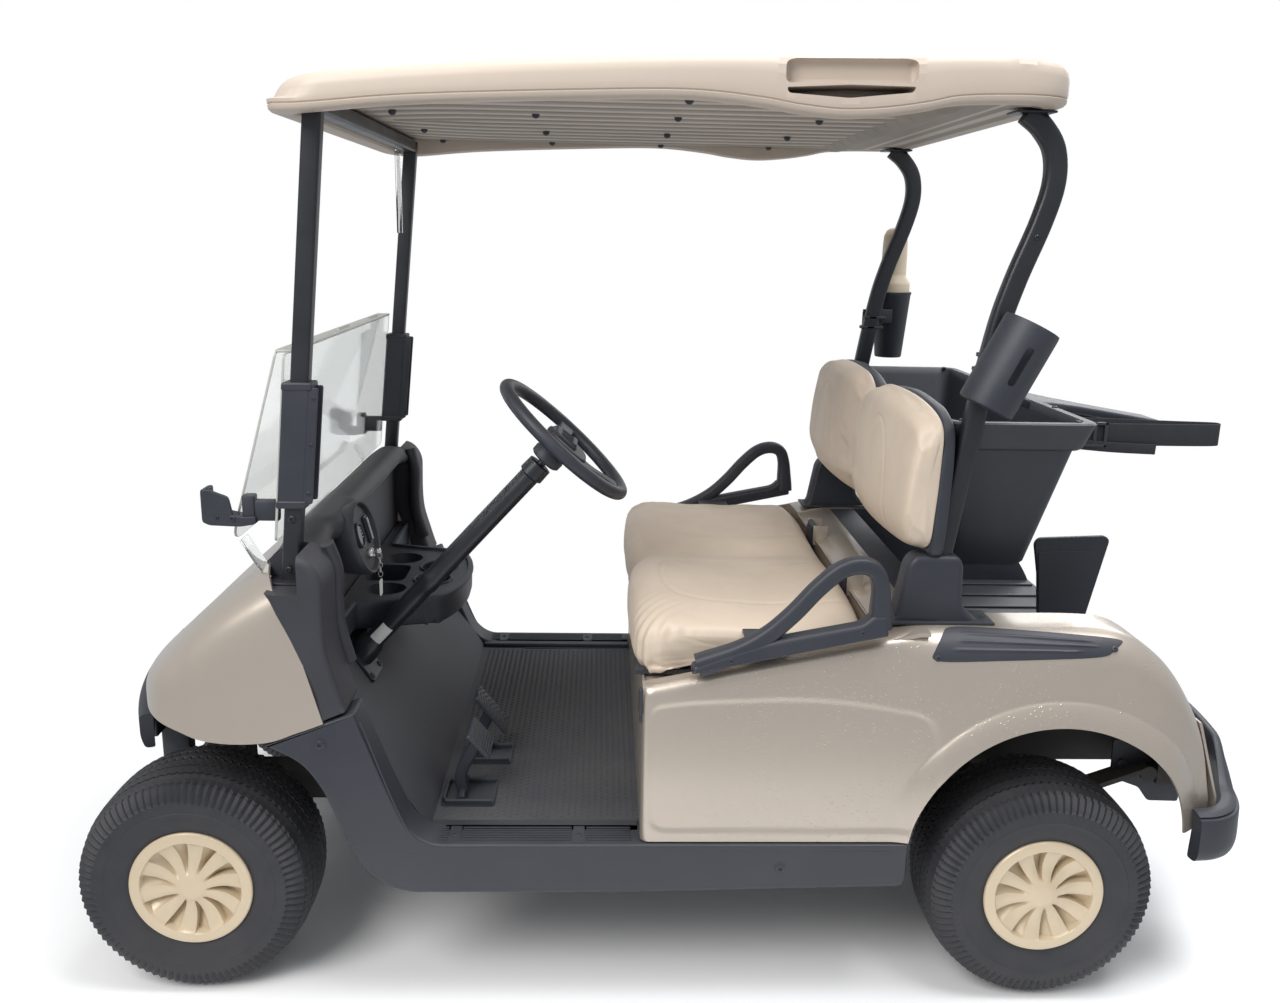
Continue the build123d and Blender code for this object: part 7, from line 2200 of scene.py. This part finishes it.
# %% Bottle holders
HOLDER_Y = 0.540
BOTTLE_X = -0.598
lean_axis = np.array([-sin(radians(26)), 0, cos(radians(26))])
holder_foot = np.array([-0.505, HOLDER_Y, 1.190])
holder = piece(
    "near_holder",
    turned(
        [
            (0.001, 0.030), (0.0, 0.046), (0.003, 0.0515), (0.010, 0.052), (0.160, 0.052),
            (0.1655, 0.0512), (0.166, 0.0495), (0.1645, 0.048), (0.008, 0.048), (0.005, 0.046),
            (0.005, 0.030),
        ],
        holder_foot, lean_axis, 56,
    ),
    "black_plastic", ["sand_holder_left"],
)
slot_centre = holder_foot + (0, 0.030, 0) + 0.089 * lean_axis
on_slot = in_frame(slot_centre, np.array([lean_axis[2], 0, -lean_axis[0]]), lean_axis, across)
cut(holder, [plate(oblong(-0.0072, 0.0072, -0.037, 0.037, 0.0068, 6), 0.0, 0.04, 0.001,
                   place=on_slot)])
clasp = [
    block((-0.546, 0.4865, 1.232), (-0.510, 0.496, 1.292), 0.003),
    block((-0.560, 0.4545, 1.248), (-0.502, 0.4885, 1.256), 0.002),
    block((-0.566, 0.4545, 1.274), (-0.508, 0.4885, 1.282), 0.002),
]
piece("holder_clasps", both_sides(*clasp), "black_plastic")
cup = turned(
    [
        (1.168, 0.012), (1.168, 0.034), (1.171, 0.036), (1.334, 0.0495), (1.3385, 0.0515),
        (1.343, 0.0508), (1.343, 0.0475), (1.335, 0.0455), (1.180, 0.0325), (1.173, 0.030),
        (1.173, 0.012),
    ],
    (BOTTLE_X, -HOLDER_Y, 0), Z_AXIS, 48,
)
piece(
    "far_cup", merged(cup, block((-0.590, -0.492, 1.262), (-0.510, -0.4863, 1.298), 0.002)),
    "black_plastic", ["sand_holder_right"],
)
bottle_line = [
    (1.1735, 0.010), (1.1735, 0.029), (1.180, 0.031), (1.333, 0.0445), (1.345, 0.0455),
    (1.362, 0.0455), (1.370, 0.044), (1.384, 0.0345), (1.392, 0.0335), (1.470, 0.0325),
    (1.490, 0.0310), (1.503, 0.0250), (1.5095, 0.0150), (1.511, 0.004),
]
piece(
    "sand_bottle_body", turned(bottle_line, (BOTTLE_X, -HOLDER_Y, 0), Z_AXIS, 48), "bottle",
    ["sand_bottle"],
)
print("basket, straps and holders done")

# %% [markdown]
# ## Tail
# The bag well holds a folded divider; ribbed pads protect the fenders where bags are
# lifted in, and a broad bumper closes the back. The front has a lip below the cowl, and
# coil springs stand in the front wheel openings.

# %% Divider, pads and bumpers
well_x = np.linspace(-0.502, -1.006, 24)
well_side = np.column_stack([well_x, along(well_x, top_line) - 0.001])
well_side = np.vstack([well_side, [(-1.006, 0.5605), (-0.645, 0.5605), (-0.502, 0.724)]])
well_floor = rounded(
    [
        (-0.431, 0.763), (-0.431, 0.760), (-0.501, 0.760), (-0.501, 0.725), (-0.641, 0.5605),
        (-1.010, 0.5605), (-1.010, 0.5645), (-0.644, 0.5645), (-0.505, 0.727), (-0.505, 0.763),
    ],
    0.0015, 3,
)
well = [
    plate(well_floor, -0.427, 0.427, 0.001, place=on_side(0)),
    *(
        block((-1.002, y - 0.006, 0.564), (-0.668, y + 0.006, 0.5695), 0.002)
        for y in np.linspace(-0.38, 0.38, 9)
    ),
]
well += [both_sides(plate(well_side, 0.4262, 0.4295, 0.001, place=on_side(0)))]
piece("bag_well_panels", merged(*well), "black_plastic", ["bag_well"])
wedge = rounded(
    [
        (-0.882, 0.575), (-0.840, 0.790), (-0.850, 0.803), (-1.008, 0.810), (-1.019, 0.800),
        (-0.974, 0.575),
    ],
    [0.004, 0.01, 0.01, 0.012, 0.01, 0.004], 5,
)
divider = [
    plate(wedge, -0.006, 0.006, 0.002, place=on_side(0)),
    block((-1.015, -0.045, 0.565), (-0.845, 0.045, 0.573), 0.003),
    plate(
        rounded([(-0.868, 0.600), (-0.850, 0.770), (-0.990, 0.775), (-0.958, 0.600)], 0.01, 4),
        -0.008, 0.008, 0.001, place=on_side(0),
    ),
    bolt((-0.905, 0.028, 0.573), Z_AXIS, 0.006), bolt((-0.960, 0.028, 0.573), Z_AXIS, 0.006),
]
piece("divider_panel", merged(*divider), "black_plastic", ["bag_divider"])

PAD_Y = BODY_HALF - 0.0145 - FENDER_ROUND
PAD_Z = DECK_Z - FENDER_ROUND
PAD_RISE = 0.0035


def fender_pad():
    """A patch laid over the fender's round shoulder: u runs back along it and v up round
    it, through angles that close in towards the rear. Three ribs stand on it."""
    u = 0.5 - 0.5 * np.cos(np.linspace(0, pi, 56))[:, None]
    v = np.linspace(0, 1, 45)[None]
    corner = (1 - 0.9995 * np.abs(2 * u - 1) ** 7) ** (1 / 7)
    v_in = 0.5 + (v - 0.5) * corner
    angle = radians(4) + radians(12) * u + v_in * (radians(82) - radians(46) * u)
    x = -0.432 - 0.342 * u - v_in * (0.049 - 0.005 * u)
    edge = step(np.minimum(np.minimum(u, 1 - u) * 5, np.minimum(v, 1 - v)) + 0 * u * v, 0, 0.035)
    ribs = sum(bump(v, middle, 0.035) * step(u, 0.10, 0.13) * (1 - step(u, last, last + 0.03))
               for middle, last in ((0.30, 0.80), (0.52, 0.86), (0.72, 0.80)))
    reach = [FENDER_ROUND + h for h in (PAD_RISE * edge + 0.0018 * ribs, -0.0015 + 0 * edge)]
    return shell(*(xyz(x, PAD_Y + r * np.cos(angle), PAD_Z + r * np.sin(angle)) for r in reach))


def pad_bolt(x, angle):
    """A bolt head on the pad at x and that angle round the shoulder."""
    reach = FENDER_ROUND + PAD_RISE
    place = (x, PAD_Y + reach * cos(angle), PAD_Z + reach * sin(angle))
    return bolt(place, (0, cos(angle), sin(angle)), 0.006, 0.002)


piece(
    "fender_pads",
    both_sides(fender_pad(), pad_bolt(-0.452, radians(14)), pad_bolt(-0.790, radians(32))),
    "black_plastic", ["scuff_pads"], sharp=50,
)


def arc_path(end_x, middle_x, half, z, count=61):
    """A circle through (end, half), (middle, 0) and (end, -half): radius = (h^2 + d^2) / 2d."""
    depth = middle_x - end_x
    radius = (half**2 + depth**2) / (2 * abs(depth))
    y = np.linspace(-half, half, count)
    x = middle_x - np.sign(depth) * (radius - np.sqrt(radius**2 - y**2))
    return at_height(np.column_stack([x, y]), z)


bumper_section = rounded(
    [
        (0.016, -0.092), (-0.010, -0.092), (-0.017, -0.070), (-0.014, 0.000), (-0.004, 0.012),
        (-0.002, 0.030), (-0.008, 0.040), (0.006, 0.088), (0.022, 0.088), (0.012, 0.0),
    ],
    [0.006, 0.012, 0.02, 0.008, 0.006, 0.006, 0.008, 0.012, 0.006, 0.02], 4,
)
bumper_half = smooth_path(
    [
        (-1.003, 0.549), (-1.045, 0.543), (-1.085, 0.517), (-1.118, 0.462), (-1.146, 0.360),
        (-1.168, 0.220), (-1.182, 0.0),
    ],
    44,
)
bumper_plan = np.vstack([bumper_half * (1, -1), bumper_half[-2::-1]])
bumper_path = at_height(bumper_plan, 0.3805)
bumper_side, bumper_up = path_frames(bumper_path)
bumper_rise = 0.12 + 0.88 * (1 - step(np.abs(bumper_path[:, 1]), 0.34, 0.47))[:, None, None]
across_u, up_v = bumper_section.T
lifted = up_v[None, :, None] * np.where(up_v[None, :, None] > 0, bumper_rise, 1)
rear_bumper = tube(
    bumper_path[:, None] + bumper_side[:, None] * across_u[
        None, :, None
    ] + bumper_up[:, None] * lifted
)
stubs = [block((-1.176, 0.170, 0.350), (-1.081, 0.220, 0.410), 0.004)]
frame_plate = rounded(
    [
        (-0.938, 0.431), (-0.942, 0.342), (-1.007, 0.318), (-1.031, 0.286), (-1.100, 0.284),
        (-1.100, 0.431),
    ],
    0.006, 3,
)
stubs += [plate(frame_plate, 0.0, 0.005, 0.001, place=on_side(0.298)),
          *(bolt((x, 0.303, 0.374), Y_AXIS, 0.012, 0.006) for x in (-0.963, -1.022))]
piece("rear_bumper_skin", merged(rear_bumper, both_sides(*stubs)), "black_plastic", ["rear_bumper"])
lip_section = rounded(
    [
        (-0.013, -0.036), (0.006, -0.036), (0.013, -0.010), (0.013, 0.030), (0.006, 0.036),
        (-0.013, 0.036),
    ],
    [0.004, 0.01, 0.01, 0.008, 0.006, 0.004], 4,
)
front_lip = sweep(arc_path(1.077, 1.172, 0.440, 0.506), lip_section)
fascia = plate(
    rounded(
        [(1.147, -0.255), (1.159, 0.0), (1.147, 0.255), (1.135, 0.255), (1.135, -0.255)], 0.004, 4,
    ),
    0.405, 0.490, 0.003,
)
arms = both_sides(block((1.085, 0.175, 0.318), (1.145, 0.215, 0.490), 0.003))
piece("front_lip", merged(front_lip, fascia, arms), "black_plastic", ["front_bumper"])

# %% Coil springs and the seat latch
SHOCK_X, SHOCK_Y = 0.9715, 0.262
SPRING_LOW_Z, SPRING_TOP_Z = 0.226, 0.478
SPRING_RADIUS = 0.026
turns = 7.5
a = np.linspace(0, turns * 2 * pi, 150)
helix = np.column_stack([
    SHOCK_X + SPRING_RADIUS * np.cos(a), SHOCK_Y + SPRING_RADIUS * np.sin(a),
    SPRING_LOW_Z + (SPRING_TOP_Z - SPRING_LOW_Z) * a / a[-1],
])
coil = sweep(helix, circle(0.0048, 8))
damper = turned(
    [
        (0.210, 0.012), (0.214, 0.029), (0.220, 0.029), (0.223, 0.015), (0.360, 0.015),
        (0.362, 0.008), (0.480, 0.008), (0.482, 0.029), (0.490, 0.029), (0.494, 0.012),
        (0.519, 0.012),
    ],
    (SHOCK_X, SHOCK_Y, 0), Z_AXIS, 24,
)
piece(
    "coil_springs", both_sides(coil, damper), "chassis_steel", ["front_shocks"],
    material="black_steel",
)
latch = [
    block((0.100, 0.548, 0.602), (0.108, 0.566, 0.652), 0.003),
    block((0.100, 0.552, 0.585), (0.106, 0.562, 0.606), 0.002),
]
piece("seat_latch", merged(*latch), "black_plastic")
print("tail done")
